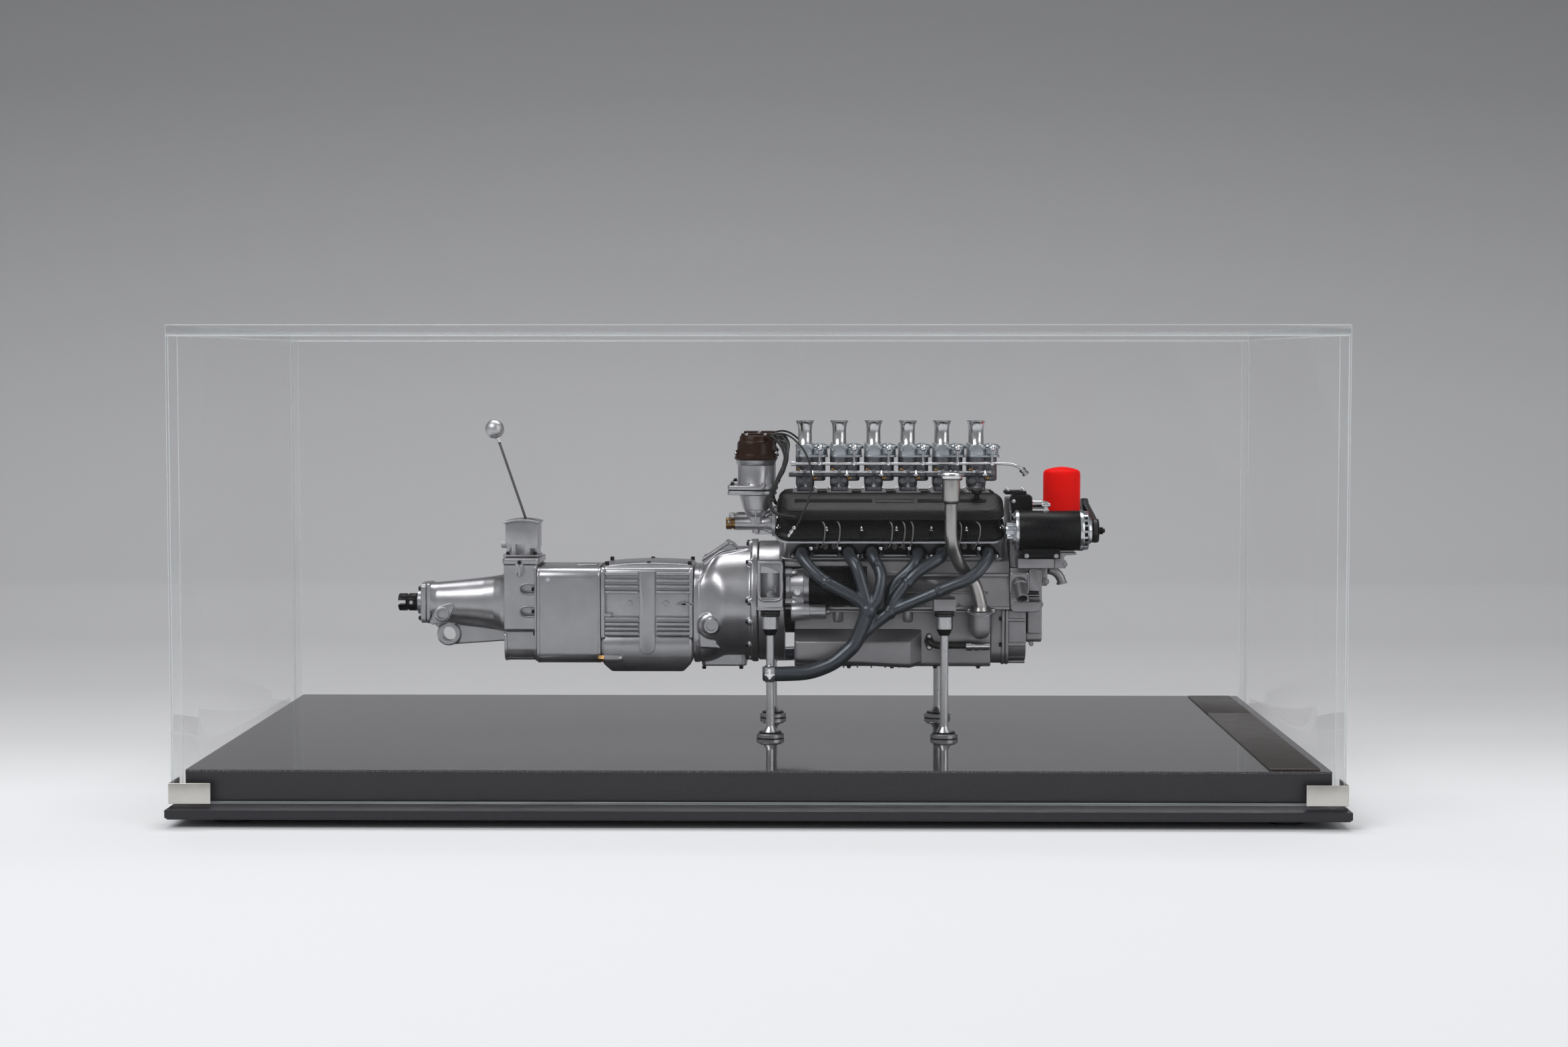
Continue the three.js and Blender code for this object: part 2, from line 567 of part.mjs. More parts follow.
function crankcaseBlock() {
  const section = mirrored([
    [crankcase.flangeHalfWidth, -crankcase.flangeDrop], [crankcase.flangeHalfWidth, flangeTop],
    [crankcase.halfWidth, flangeTop], [crankcase.halfWidth, crankcase.shoulderHeight],
    onBank(bank.deckHeight, bank.halfWidth), onBank(bank.deckHeight, -bank.halfWidth),
    [0, crankcase.valleyHeight],
  ]);
  const whole = alongX(section, blockRear, blockFront);
  return join(cut(whole, starterPocket()), mountLug(-1), mountLug(1));
}

function sumpCasting() {
  const jointZ = -crankcase.flangeDrop - seam;
  const lowZ = jointZ - sump.depth;
  const rear = sump.rearGap;
  const body = mirrored([
    [sump.halfWidth - sump.chamfer, lowZ], [sump.halfWidth, lowZ + sump.chamfer],
    [sump.halfWidth, jointZ],
  ]);
  const podTop = jointZ - sump.podDrop;
  const podLow = jointZ - sump.podDepth;
  const pods = mirrored([
    [sump.podHalfWidth - sump.chamfer, podLow], [sump.podHalfWidth, podLow + sump.chamfer],
    [sump.podHalfWidth, podTop - sump.podBevel], [sump.podHalfWidth - sump.podBevel, podTop],
  ]);
  const lip = [sump.halfWidth + sump.chamfer, jointZ - crankcase.flangeThickness];
  const rim = box([rear, sumpFront], [-lip[0], lip[0]], [lip[1], jointZ]);
  const cup = rod(fillerCup.radius, jointZ - fillerCup.depth, jointZ, sides.round, turnedOnZ,
    [fillerCupX, -fillerCup.out, 0]);
  const web = box(span(fillerCupX, fillerCup.radius), [-fillerCup.out, -sump.halfWidth + overrun],
    [jointZ - fillerCup.depth, jointZ - crankcase.flangeThickness]);
  return join(alongX(body, rear, sumpFront), alongX(pods, rear, rear + sump.podLength, sump.chamfer), rim, cup,
    web);
}

function bankGroup(side, parent) {
  const group = new THREE.Group();
  group.rotation.x = -side * lean;
  parent.add(group);
  return group;
}

function cylinderHead() {
  const section = mirrored([[bank.halfWidth, headLow], [bank.halfWidth, headTop]]);
  return alongX(section, -head.rearOverhang, headFront, head.chamfer);
}

function camCoverShell() {
  const shoulderZ = camCoverTop - camCover.shoulder;
  const section = mirrored([
    [camCover.halfWidth, camCoverLow], [camCover.halfWidth, shoulderZ],
    [mix(camCover.crownHalfWidth, camCover.halfWidth, camCover.bulgeShare),
      mix(shoulderZ, camCoverTop, camCover.bulgeShare)],
    [camCover.crownHalfWidth, camCoverTop],
  ]);
  const rear = -camCover.rearOverhang;
  const front = camCoverFront;
  const rib = box([rear + camCover.ribInset, front - camCover.ribInset],
    [-camCover.ribHalfWidth, camCover.ribHalfWidth],
    [camCoverTop - overrun, camCoverTop + camCover.ribHeight]);
  return join(alongX(section, rear, front, camCover.endRadius), rib);
}

function addBlock(parent) {
  piece("crankcase", crankcaseBlock(), looks.castGrey, parent);
  piece("sump", sumpCasting(), looks.castGrey, parent);
  for (const [where, side] of [["near", -1], ["far", 1]]) {
    const group = bankGroup(side, parent);
    piece(`head_${where}`, cylinderHead(), looks.castSilver, group);
    piece(`cam_cover_${where}`, camCoverShell(), looks.crackleBlack, group);
  }
}

// Timing cover and the front accessories

const timingFront = blockFront + timing.depth;
const boxFront = timingFront + timing.boxDepth;
const filterHeadFront = timingFront + filterHead.length;
const pulleyRear = camCoverFront + seam + dynamo.bossLength + 2 * dynamo.ringLength
  + dynamo.bodyLength + dynamo.fanLength + dynamo.hubLength + seam;
const noseFront = pulleyRear - mainHub.length - seam;

function waterOutlet() {
  const start = [boxFront - outlet.inset - overrun, -outlet.out, outlet.height];
  const end = [start[0] + outlet.run, -outlet.out, outlet.height - outlet.drop];
  const bend = [mix(start[0], end[0], outlet.bendShare), -outlet.out,
    outlet.height - outlet.drop * outlet.bendDropShare];
  return pipe([start, bend, end], outlet.radius, sides.outletRun);
}

function timingCover() {
  const lowerTop = -crankcase.flangeDrop - seam;
  const lowZ = -timing.lowerDrop;
  const lower = mirrored([
    [timing.lowerHalfWidth - timing.lowerChamfer, lowZ], [timing.lowerHalfWidth, lowZ + timing.lowerChamfer],
    [timing.lowerHalfWidth, lowerTop],
  ]);
  const upper = mirrored([
    [timing.upperHalfWidth, lowerTop - overrun], [timing.upperHalfWidth, crankcase.shoulderHeight],
    [timing.towerHalfWidth + timing.towerShoulder, timing.upperHeight],
    [timing.towerHalfWidth, timing.upperHeight],
    [timing.towerHalfWidth, timing.towerHeight - timing.towerShoulder],
    [timing.towerHalfWidth - timing.towerShoulder, timing.towerHeight],
  ]);
  const front = mirrored([
    [timing.boxHalfWidth - timing.boxChamfer, -timing.boxDrop],
    [timing.boxHalfWidth, timing.boxChamfer - timing.boxDrop],
    [timing.boxHalfWidth, timing.upperHeight],
  ]);
  const upperRear = blockFront + seam;
  const accessoryNose = rod(nose.radius, upperRear, noseFront, sides.round, turnedOnX, [0, camY, camZ]);
  const spindleBore = rod(pulley.spindleRadius + running, noseFront - nose.boreDepth, noseFront + overrun,
    sides.small, turnedOnX, [0, camY, camZ]);
  const seat = box([timingFront - overrun, filterHeadFront], [-filterHead.nearOut, filterHead.farOut],
    [filterHead.low, filterHead.low + filterHead.thickness]);
  const shelfRear = timingFront - shelf.rearInset;
  const ledge = box([shelfRear, shelfRear + shelf.length], [-shelf.nearOut, overrun - timing.towerHalfWidth],
    [shelf.low, shelf.low + shelf.thickness]);
  const drain = rod(stub.radius, stub.low, stub.low + stub.length, sides.small, turnedOnZ,
    [timingFront - stub.inset, -timing.upperHalfWidth - stub.proud, 0]);
  return join(
    alongX(lower, sumpFront + seam, timingFront, seam), alongX(upper, upperRear, timingFront),
    alongX(front, timingFront - overrun, boxFront, seam), cut(accessoryNose, spindleBore),
    seat, ledge, drain, waterOutlet(),
  );
}

function dynamoBody() {
  const rear = camCoverFront + seam;
  const lengths = [dynamo.bossLength, dynamo.ringLength, dynamo.bodyLength, dynamo.ringLength, dynamo.fanLength,
    dynamo.hubLength];
  const x = lengths.reduce((list, length) => [...list, list[list.length - 1] + length], [rear]);
  const radii = [dynamo.bossRadius, dynamo.ringRadius, dynamo.bodyRadius, dynamo.ringRadius, dynamo.fanRadius,
    dynamo.hubRadius];
  const profile = radii.flatMap((radius, i) => [[x[i], radius], [x[i + 1], radius]]);
  const body = turnedX(profile, sides.oval, -dynamo.out, dynamo.height);
  const spindleBore = rod(pulley.spindleRadius + running, x[4], x[6] + overrun, sides.small, turnedOnX,
    [0, -dynamo.out, dynamo.height]);
  const saddleRear = x[2] + dynamo.saddleInset;
  const saddle = box([saddleRear, saddleRear + dynamo.saddleLength],
    [-dynamo.out - dynamo.saddleHalfWidth, -dynamo.out + dynamo.saddleHalfWidth],
    [shelf.low + shelf.thickness + seam, dynamo.height - dynamo.bodyRadius / 2]);
  return cut(join(body, saddle), spindleBore);
}

function grooved(radius, hubRadius, hubRear, spindleRear) {
  const rear = pulleyRear;
  const front = rear + pulley.width;
  const groove = radius - pulley.grooveDepth;
  return [
    [spindleRear, pulley.spindleRadius], [hubRear, pulley.spindleRadius], [hubRear, hubRadius],
    [rear, hubRadius],
    [rear, radius], [rear + pulley.cheek, radius], [rear + pulley.cheek, groove],
    [front - pulley.cheek, groove],
    [front - pulley.cheek, radius], [front, radius], [front, pulleyNut.radius],
    [front + pulleyNut.length, pulleyNut.radius],
  ];
}

function dynamoPulley() {
  const spindleRear = pulleyRear - seam - dynamo.hubLength - dynamo.fanLength + running;
  const hubRear = pulleyRear - seam / 2;
  const profile = grooved(pulley.dynamoRadius, mainHub.radius, hubRear, spindleRear);
  return turnedX(profile, sides.oval, -dynamo.out, dynamo.height);
}

function mainPulley() {
  const profile = grooved(pulley.mainRadius, mainHub.radius, noseFront + seam,
    noseFront - nose.boreDepth + running);
  return turnedX(profile, sides.casting, camY, camZ);
}

// The outline of a band round two circles in the Y-Z plane, as arcs joined by their outer tangents
function bandOutline([y1, z1, r1], [y2, z2, r2], arcSteps) {
  const distance = Math.hypot(y2 - y1, z2 - z1);
  const heading = Math.atan2(z2 - z1, y2 - y1);
  const wrap = Math.acos((r1 - r2) / distance);
  const points = [];
  for (let i = 0; i <= arcSteps; i += 1) {
    const angle = heading - wrap + (2 * wrap * i) / arcSteps;
    points.push([y2 + r2 * Math.cos(angle), z2 + r2 * Math.sin(angle)]);
  }
  for (let i = 0; i <= arcSteps; i += 1) {
    const angle = heading + wrap + ((2 * Math.PI - 2 * wrap) * i) / arcSteps;
    points.push([y1 + r1 * Math.cos(angle), z1 + r1 * Math.sin(angle)]);
  }
  return points;
}

function driveBelt() {
  const small = pulley.dynamoRadius - pulley.grooveDepth + seam;
  const large = pulley.mainRadius - pulley.grooveDepth + seam;
  const band = (grow) => bandOutline([-dynamo.out, dynamo.height, small + grow], [camY, camZ, large + grow],
    sides.beltArc);
  const middle = pulleyRear + pulley.width / 2;
  const whole = alongX(outline(band(belt.thickness)), ...span(middle, belt.width));
  return cut(whole, alongX(outline(band(0)), ...span(middle, belt.width + 2 * overrun)));
}

function oilFilter() {
  const low = filterHead.low + filterHead.thickness + seam;
  const top = low + filter.height;
  return turnedZ([
    [low, filter.neckRadius], [low + filter.neckHeight, filter.neckRadius],
    [low + filter.neckHeight, filter.radius],
    [top - filter.dome, filter.radius],
    ...domeShares.map(([rise, girth]) => [top - filter.dome * (1 - rise), filter.radius * girth]),
  ], sides.oval, filterHeadFront - filter.inset, -filter.out);
}

function starterMotor() {
  const rear = 2 * seam;
  const body = turnedX([
    [rear, starter.noseRadius], [rear + starter.noseLength, starter.noseRadius],
    [rear + starter.noseLength, starter.radius],
    [rear + starter.length, starter.radius],
  ], sides.round, -starter.out, starter.height);
  const start = rear + starter.solenoidStart;
  const step = start + starter.solenoidLength;
  const solenoid = turnedX([
    [start, starter.solenoidRadius], [step, starter.solenoidRadius], [step, starter.plungerRadius],
    [step + starter.plungerLength, starter.plungerRadius],
  ], sides.small, -starter.solenoidOut, -starter.solenoidDrop);
  const strap = box([start, step], [-starter.solenoidOut - starter.plungerRadius,
    -crankcase.flangeHalfWidth - seam],
    [-starter.solenoidDrop, starter.height - starter.radius / 2]);
  return join(body, solenoid, strap);
}

function addFront(parent) {
  piece("timing_cover", timingCover(), looks.castGrey, parent);
  piece("dynamo", dynamoBody(), looks.blackPaint, parent);
  piece("dynamo_pulley", dynamoPulley(), looks.blackPaint, parent);
  piece("main_pulley", mainPulley(), looks.blackPaint, parent);
  piece("drive_belt", driveBelt(), looks.rubber, parent);
  piece("oil_filter", oilFilter(), looks.filterRed, parent);
  piece("starter_motor", starterMotor(), looks.blackPaint, parent);
}

// Induction: manifold in the valley, six carburettors, fuel rail and throttle shaft

function carburettorX(index) {
  return boreX(index) - carburettor.rearOffset;
}

function inletManifold() {
  const seatOut = -bank.halfWidth - seam;
  const [spineHalfWidth, seatTop] = onBank(manifold.seatHigh, seatOut);
  const section = mirrored([
    onBank(manifold.seatLow, seatOut), [spineHalfWidth, seatTop], [spineHalfWidth, manifold.spineHeight],
  ]);
  let whole = alongX(section, carburettorX(0) - manifold.endMargin,
    carburettorX(bores.perBank - 1) + manifold.endMargin);
  for (let i = 0; i < bores.perBank; i += 1) {
    const pad = mirrored([
      [spineHalfWidth - seam, manifold.spineHeight - overrun],
      [manifold.padHalfWidth, manifold.padHeight - overrun],
      [manifold.padHalfWidth, manifold.padHeight],
    ]);
    whole = join(whole, alongX(pad, ...span(carburettorX(i), 2 * manifold.padHalfLength)));
  }
  return whole;
}

function trumpet(lowZ, y) {
  const c = carburettor;
  const top = lowZ + c.trumpetHeight;
  const flareZ = top - c.trumpetHeight * c.flareShare;
  const floor = top - c.trumpetBoreDepth;
  return turnedZ([
    [lowZ - overrun, c.trumpetRadius], [flareZ, c.trumpetRadius],
    [mix(flareZ, top, c.flareBendShares[0]), mix(c.trumpetRadius, c.trumpetMouth, c.flareBendShares[1])],
    [top, c.trumpetMouth],
    [top, c.trumpetMouth - c.trumpetWall], [flareZ, c.trumpetRadius - c.trumpetWall],
    [floor, c.trumpetRadius - c.trumpetWall],
  ], sides.pipe, 0, y);
}

// One carburettor, its barrels' middle plane at x = 0 and its foot at z = 0
function carburettorBody() {
  const c = carburettor;
  const foot = box([-c.rearReach, c.frontReach], [-c.flangeHalfWidth, c.flangeHalfWidth],
    [0, c.flangeThickness]);
  const barrels = box([-c.rearReach, c.frontReach], [-c.halfWidth, c.halfWidth], [0, c.bodyHeight + overrun]);
  const lidFront = bores.pitch - c.lidRear - c.lidGap;
  const bowl = box([0, lidFront - c.bowlInset], [-c.bowlHalfWidth, c.bowlHalfWidth],
    [c.bowlLow, c.bodyHeight + overrun]);
  const lidTop = c.bodyHeight + c.lidHeight;
  const lid = box([-c.lidRear, lidFront], [-c.lidHalfWidth, c.lidHalfWidth], [c.bodyHeight, lidTop],
    c.lidChamfer);
  const ear = box(span(0, c.earThickness), [-throttle.out - c.earHalfHeight, -c.halfWidth + overrun],
    [throttle.height - c.earHalfHeight, throttle.height + c.earHalfHeight]);
  const bearing = rod(throttle.radius + running, -c.earReach, c.earReach, sides.small, turnedOnX,
    [0, -throttle.out, throttle.height]);
  return cut(join(foot, barrels, bowl, lid, ear, trumpet(lidTop, -c.barrelSpread),
    trumpet(lidTop, c.barrelSpread)), bearing);
}

function throttleShaft() {
  const t = throttle;
  const centre = [0, -t.out, t.height];
  let whole = rod(t.radius, carburettorX(0) - t.overhang, carburettorX(bores.perBank - 1) + t.overhang,
    sides.pipe, turnedOnX, centre);
  for (let i = 0; i < bores.perBank; i += 1) {
    const armX = carburettorX(i) + t.armOffset;
    const arm = box([armX, armX + t.armWidth], [-t.out - t.radius, -t.out + t.radius],
      [t.height - t.armLength, t.height]);
    whole = join(whole, arm);
  }
  return whole;
}

function fuelRail() {
  const r = rail;
  const y = -carburettor.lidHalfWidth - seam - r.ballRadius;
  const start = carburettorX(0) - r.rearOverhang;
  const end = carburettorX(bores.perBank - 1) + r.frontOverhang;
  const tip = [end + r.bendRun, y, r.height - r.bendDrop];
  let whole = pipe([[start, y, r.height], [(start + end) / 2, y, r.height], [end - r.bendRun, y, r.height],
    [end, y, r.height - r.bendDrop / 4], tip], r.radius, sides.railRun, sides.strand);
  whole = join(whole, rod(r.unionRadius, tip[2] - r.unionRadius, tip[2] + r.unionRadius, sides.pipe, turnedOnZ,
    [tip[0], y, 0]));
  for (let i = 0; i < bores.perBank; i += 1) {
    const x = carburettorX(i) + r.unionX;
    const ball = new THREE.SphereGeometry(r.ballRadius, sides.strand,
      sides.strand / 2).applyMatrix4(turnedOnZ).translate(x, y, r.ballHeight);
    whole = join(whole, rod(r.stemRadius, r.height, r.ballHeight, sides.strand, turnedOnZ, [x, y, 0]),
      solid(ball));
  }
  return whole;
}

function addInduction(parent) {
  piece("inlet_manifold", inletManifold(), looks.castSilver, parent);
  const footZ = manifold.padHeight + seam;
  for (let i = 0; i < bores.perBank; i += 1) {
    const group = new THREE.Group();
    group.position.set(carburettorX(i), 0, footZ);
    parent.add(group);
    piece(`carburettor_${i + 1}`, carburettorBody(), looks.zinc, group);
  }
  const raised = new THREE.Group();
  raised.position.z = footZ;
  parent.add(raised);
  piece("throttle_shaft", throttleShaft(), looks.bright, raised);
  piece("fuel_rail", fuelRail(), looks.bright, raised);
}

// Ignition

const distributorFlangeZ = camZ + distributor.coneHigh;
const distributorTop = distributorFlangeZ + distributor.flangeHeight + distributor.bodyHeight;

function distributorCasting(side) {
  const d = distributor;
  const y = side * camY;
  const front = -camCover.rearOverhang - seam;
  const rear = d.axisX - d.driveRear;
  const drive = turnedX([
    [rear - d.tipLength, d.tipRadius], [rear, d.tipRadius], [rear, d.driveRadius],
    [front - d.driveFlange, d.driveRadius],
    [front - d.driveFlange, d.driveFlangeRadius], [front, d.driveFlangeRadius],
  ], sides.small, y, camZ);
  const column = turnedZ([
    [camZ, d.neckRadius], [camZ + d.neckLow, d.neckRadius], [camZ + d.coneLow, d.coneRadius],
    [distributorFlangeZ + d.flangeHeight, d.coneRadius], [distributorFlangeZ + d.flangeHeight, d.bodyRadius],
    [distributorTop, d.bodyRadius],
  ], sides.oval, d.axisX, y);
  const flange = box([d.axisX - d.flangeRear, d.axisX + d.flangeFront],
    [y - d.flangeHalfWidth, y + d.flangeHalfWidth],
    [distributorFlangeZ, distributorFlangeZ + d.flangeHeight], seam);
  return join(drive, column, flange);
}

function distributorCap(side) {
  const low = distributorTop + seam;
  return turnedZ([
    [low, cap.rimRadius], [low + cap.rimHeight, cap.rimRadius], [low + cap.rimHeight, cap.radius],
    [low + cap.height, cap.radius], [low + cap.height, cap.crownRadius],
    [low + cap.height + cap.crownHeight, cap.crownRadius - seam],
  ], sides.oval, distributor.axisX, side * camY);
}

// The bundle of plug leads, from beside the cap down round the casting to rest on the cam cover's shoulder
const loomRoute = [
  [-2.6, 36.2, 103.8], [1.2, 39.5, 100.5], [0.4, 44.5, 92], [-4.6, 47.6, 80], [-8.4, 48, 71],
  [-8, 49.8, 63.5], [-3, 52.4, 59.4], [7, 52.2, 57.6],
];

function leadLoom(side) {
  return pipe(loomRoute.map(([x, y, z]) => [x, side * y, z]), loom.radius, sides.loomRun, sides.strand);
}

function addIgnition(parent) {
  for (const [where, side] of [["near", -1], ["far", 1]]) {
    piece(`distributor_${where}`, distributorCasting(side), looks.castSilver, parent);
    piece(`cap_${where}`, distributorCap(side), looks.bakelite, parent);
    piece(`lead_loom_${where}`, leadLoom(side), looks.rubber, parent);
  }
}

// Exhausts and oil filler

function portX(index) {
  return boreX(index) + (index % 2 === 0 ? exhaust.earlyOffset : exhaust.lateOffset);
}

function exhaustPipes(side) {
  const e = exhaust;
  const face = bank.halfWidth + seam;
  const merges = [e.rearMerge, e.frontMerge];
  const parts = [];
  for (let i = 0; i < bores.perBank; i += 1) {
    const [outY, z] = onBank(e.portHeight, face + e.flangeThickness / 2);
    const start = [portX(i), outY, z];
    const merge = merges[Math.floor((2 * i) / bores.perBank)];
    const points = primaryRouteShares[i].map(([along, out, down]) => [
      start[0] + along * bores.pitch, mix(start[1], merge.out, out), mix(start[2], merge.z, down),
    ]);
    const route = [start, ...points, [boreX(merge.boreShare), merge.out, merge.z]];
    parts.push(pipe(route.map(([x, y, h]) => [x, side * y, h]), e.primaryRadius, sides.primaryRun));
    parts.push(portPlate(portX(i), side));
  }
  const place = (spot) => [spot.boreShare === undefined ? spot.x : boreX(spot.boreShare), spot.out, spot.z];
  const between = (from, to, shares) => shares.map((share) => share.map((s, axis) => mix(from[axis], to[axis],
    s)));
  const [rearMerge, frontMerge, junction, end] = [e.rearMerge, e.frontMerge, e.join, e.tail].map(place);
  const front = [frontMerge, ...between(frontMerge, junction, rearCollectorShares), junction];
  const rear = [rearMerge, junction, ...between(junction, end, tailShares), end];
  parts.push(pipe(front.map(([x, y, z]) => [x, side * y, z]), e.collectorRadius - seam,
    sides.collectorRun));
  parts.push(pipe(rear.map(([x, y, z]) => [x, side * y, z]), e.collectorRadius, sides.tailRun,
    sides.small));
  return join(...parts);
}

function portPlate(x, side) {
  const e = exhaust;
  const face = bank.halfWidth + seam;
  const corners = [[face, -1], [face + e.flangeThickness, -1], [face + e.flangeThickness, 1], [face, 1]];
  const section = corners.map(([out, end]) => onBank(e.portHeight + end * e.flangeHalfHeight, out, side));
  return alongX(outline(section), ...span(x, 2 * e.flangeHalfLength));
}

const cupTop = -crankcase.flangeDrop - seam;

function oilFillerTube() {
  const f = fillerTube;
  const topX = boreX(f.boreShare);
  const foot = { x: fillerCupX, out: fillerCup.out, z: cupTop + seam };
  const route = fillerRouteShares.map(([x, out, down]) => [
    mix(topX, foot.x, x), -mix(f.out, foot.out, out), mix(f.topZ, foot.z, down),
  ]);
  const straight = [foot.x, -foot.out, foot.z + f.lowerRadius];
  const lower = pipe([[topX, -f.out, f.topZ - f.upperLength / 2], ...route, straight,
    [foot.x, -foot.out, foot.z]],
    f.lowerRadius, sides.fillerRun, sides.pipe);
  const upper = turnedZ([
    [f.topZ - f.upperLength - f.lowerRadius / 4, f.lowerRadius], [f.topZ - f.upperLength, f.upperRadius],
    [f.topZ, f.upperRadius],
  ], sides.small, topX, -f.out);
  const mouth = rod(f.lowerRadius, f.topZ - fillerCap.lipHeight - seam, f.topZ + overrun, sides.pipe, turnedOnZ,
    [topX, -f.out, 0]);
  return cut(join(upper, lower), mouth);
}

function oilFillerCap() {
  const low = fillerTube.topZ + seam;
  return turnedZ([
    [low, fillerCap.lipRadius], [low + fillerCap.lipHeight, fillerCap.lipRadius],
    [low + fillerCap.lipHeight, fillerCap.radius],
    [low + fillerCap.height - seam, fillerCap.radius], [low + fillerCap.height, fillerCap.radius - seam],
  ], sides.round, boreX(fillerTube.boreShare), -fillerTube.out);
}

function addPipes(parent) {
  piece("exhaust_near", exhaustPipes(-1), looks.exhaustGrey, parent);
  piece("exhaust_far", exhaustPipes(1), looks.exhaustGrey, parent);
  piece("filler_tube", oilFillerTube(), looks.postSteel, parent);
  piece("filler_cap", oilFillerCap(), looks.bright, parent);
}

// Transmission, stacked backwards from the clutch housing

const clutchRear = -clutch.length;
const bellFlangeRear = clutchRear - seam - bell.flangeLength;
const bellRear = bellFlangeRear - bell.length;
const gearboxRear = bellRear - seam - gearbox.length;
const midRear = gearboxRear - seam - midCase.length;
const towerRear = midRear - seam - tower.length;
const tailRear = towerRear - tail.length;
const plateRear = tailRear - seam - rearPlate.thickness;

function rearMountArm(side) {
  const m = rearMount;
  const middle = clutchRear / 2;
  const tip = mountSpread + m.reach;
  const low = -engine.mountDrop;
  const root = clutch.radius * Math.cos(Math.PI / 4);
  const order = (a, b) => [a, b].map((v) => v * side).sort((p, q) => p - q);
  const arm = box(span(middle, m.length), order(root, tip), [low, low + m.height]);
  const pocket = box(span(middle, m.length - 2 * m.wall), order(tip - m.pocketDepth, tip + overrun),
    [low + m.pocketLow, low + m.height - m.pocketHigh]);
  return cut(arm, pocket);
}

function clutchHousing() {
  const disc = turnedX([
    [clutchRear, clutch.radius - clutch.chamfer], [clutchRear + clutch.chamfer, clutch.radius],
    [0, clutch.radius],
  ], sides.large);
  return join(disc, rearMountArm(-1), rearMountArm(1));
}

function bellHousing() {
  const b = bell;
  const flange = rod(b.flangeRadius, bellFlangeRear, clutchRear - seam, sides.large, turnedOnX, [0, 0, 0]);
  const rings = bellGirthShares.map(([along, girth]) => ring({
    x: mix(bellRear, bellFlangeRear + overrun, along),
    z: mix(-b.rearDrop, 0, girth),
    halfWidth: mix(b.rearHalfWidth, b.frontRadius, girth),
    halfHeight: mix(b.rearHalfHeight, b.frontRadius, girth),
    roundness: mix(roundness.square, roundness.ellipse, girth),
  }));
  const pan = box([bellFlangeRear - b.panLength, bellFlangeRear], [-b.panHalfWidth, b.panHalfWidth],
    [-b.panDrop, -b.panHalfWidth], overrun);
  const coverStart = bellRear + b.length / 6;
  const hatch = outline([
    [coverStart, b.rearHalfHeight - b.rearDrop - overrun],
    [coverStart + b.coverLength, b.frontRadius + b.coverProud - overrun],
    [coverStart + b.coverLength + overrun, b.frontRadius - b.coverProud], [coverStart + b.coverProud, 0],
  ]);
  const plugX = bellFlangeRear - b.plugX;
  const plugOut = b.rearHalfWidth + b.plugProud;
  let whole = join(flange, lofted(rings), pan, alongY(hatch, -b.coverHalfWidth, b.coverHalfWidth));
  for (const side of [-1, 1]) {
    const reach = [side * (plugOut - 3 * b.plugProud), side * (plugOut + b.plugProud)].sort((p, q) => p - q);
    const bore = [side * (plugOut + b.plugProud - b.plugDepth),
      side * (plugOut + b.plugProud + overrun)].sort((p, q) => p - q);
    const boss = alongY(circle(b.plugRadius, sides.round, plugX, -b.plugDrop), ...reach);
    whole = cut(join(whole, boss), alongY(circle(b.plugBore, sides.small, plugX, -b.plugDrop), ...bore));
  }
  return whole;
}

function ribPanel(fromX, topZ, side) {
  const g = gearbox;
  const ribs = [];
  for (let i = 0; i < g.ribsPerPanel; i += 1) {
    const z = topZ - i * g.ribPitch;
    const reach = [side * (g.halfWidth - overrun), side * (g.halfWidth + g.ribProud)].sort((a, b) => a - b);
    ribs.push(box([fromX, fromX + g.ribLength], reach, [z - g.ribThickness, z]));
  }
  return ribs;
}

function gearboxCase() {
  const g = gearbox;
  const front = gearboxRear + g.length;
  const upper = box([gearboxRear, front], [-g.halfWidth, g.halfWidth], [g.panJoint, g.top], g.chamfer / 2);
  const lid = box([gearboxRear + g.coverInset, front - g.coverInset], [-g.coverHalfWidth, g.coverHalfWidth],
    [g.top - overrun, g.top + g.coverThickness], g.chamfer / 2);
  const panX = [gearboxRear + g.panInset, front - g.panInset];
  const pan = box(panX, [g.panInset - g.halfWidth, g.halfWidth - g.panInset],
    [g.panBottom, g.panJoint + overrun], g.chamfer);
  const sumpX = [gearboxRear + g.sumpInset, front - g.sumpInset];
  const lowPan = box(sumpX, [g.sumpInset - g.halfWidth, g.halfWidth - g.sumpInset],
    [g.sumpBottom, g.panBottom + overrun], g.chamfer);
  const ribs = [];
  for (const side of [-1, 1]) {
    for (const fromX of [gearboxRear + g.ribInset, front - g.ribInset - g.ribLength]) {
      ribs.push(...ribPanel(fromX, g.ribTop, side), ...ribPanel(fromX, g.ribLow, side));
    }
  }
  return join(upper, lid, pan, lowPan, ...ribs);
}

function middleCase() {
  const m = midCase;
  return box([midRear, midRear + m.length], [-m.halfWidth, m.halfWidth], [m.bottom, m.top], m.chamfer);
}

function tailRing(x, halfWidth, halfHeight, squareness) {
  return ring({ x, z: -tail.frontDrop, halfWidth, halfHeight, roundness: squareness });
}

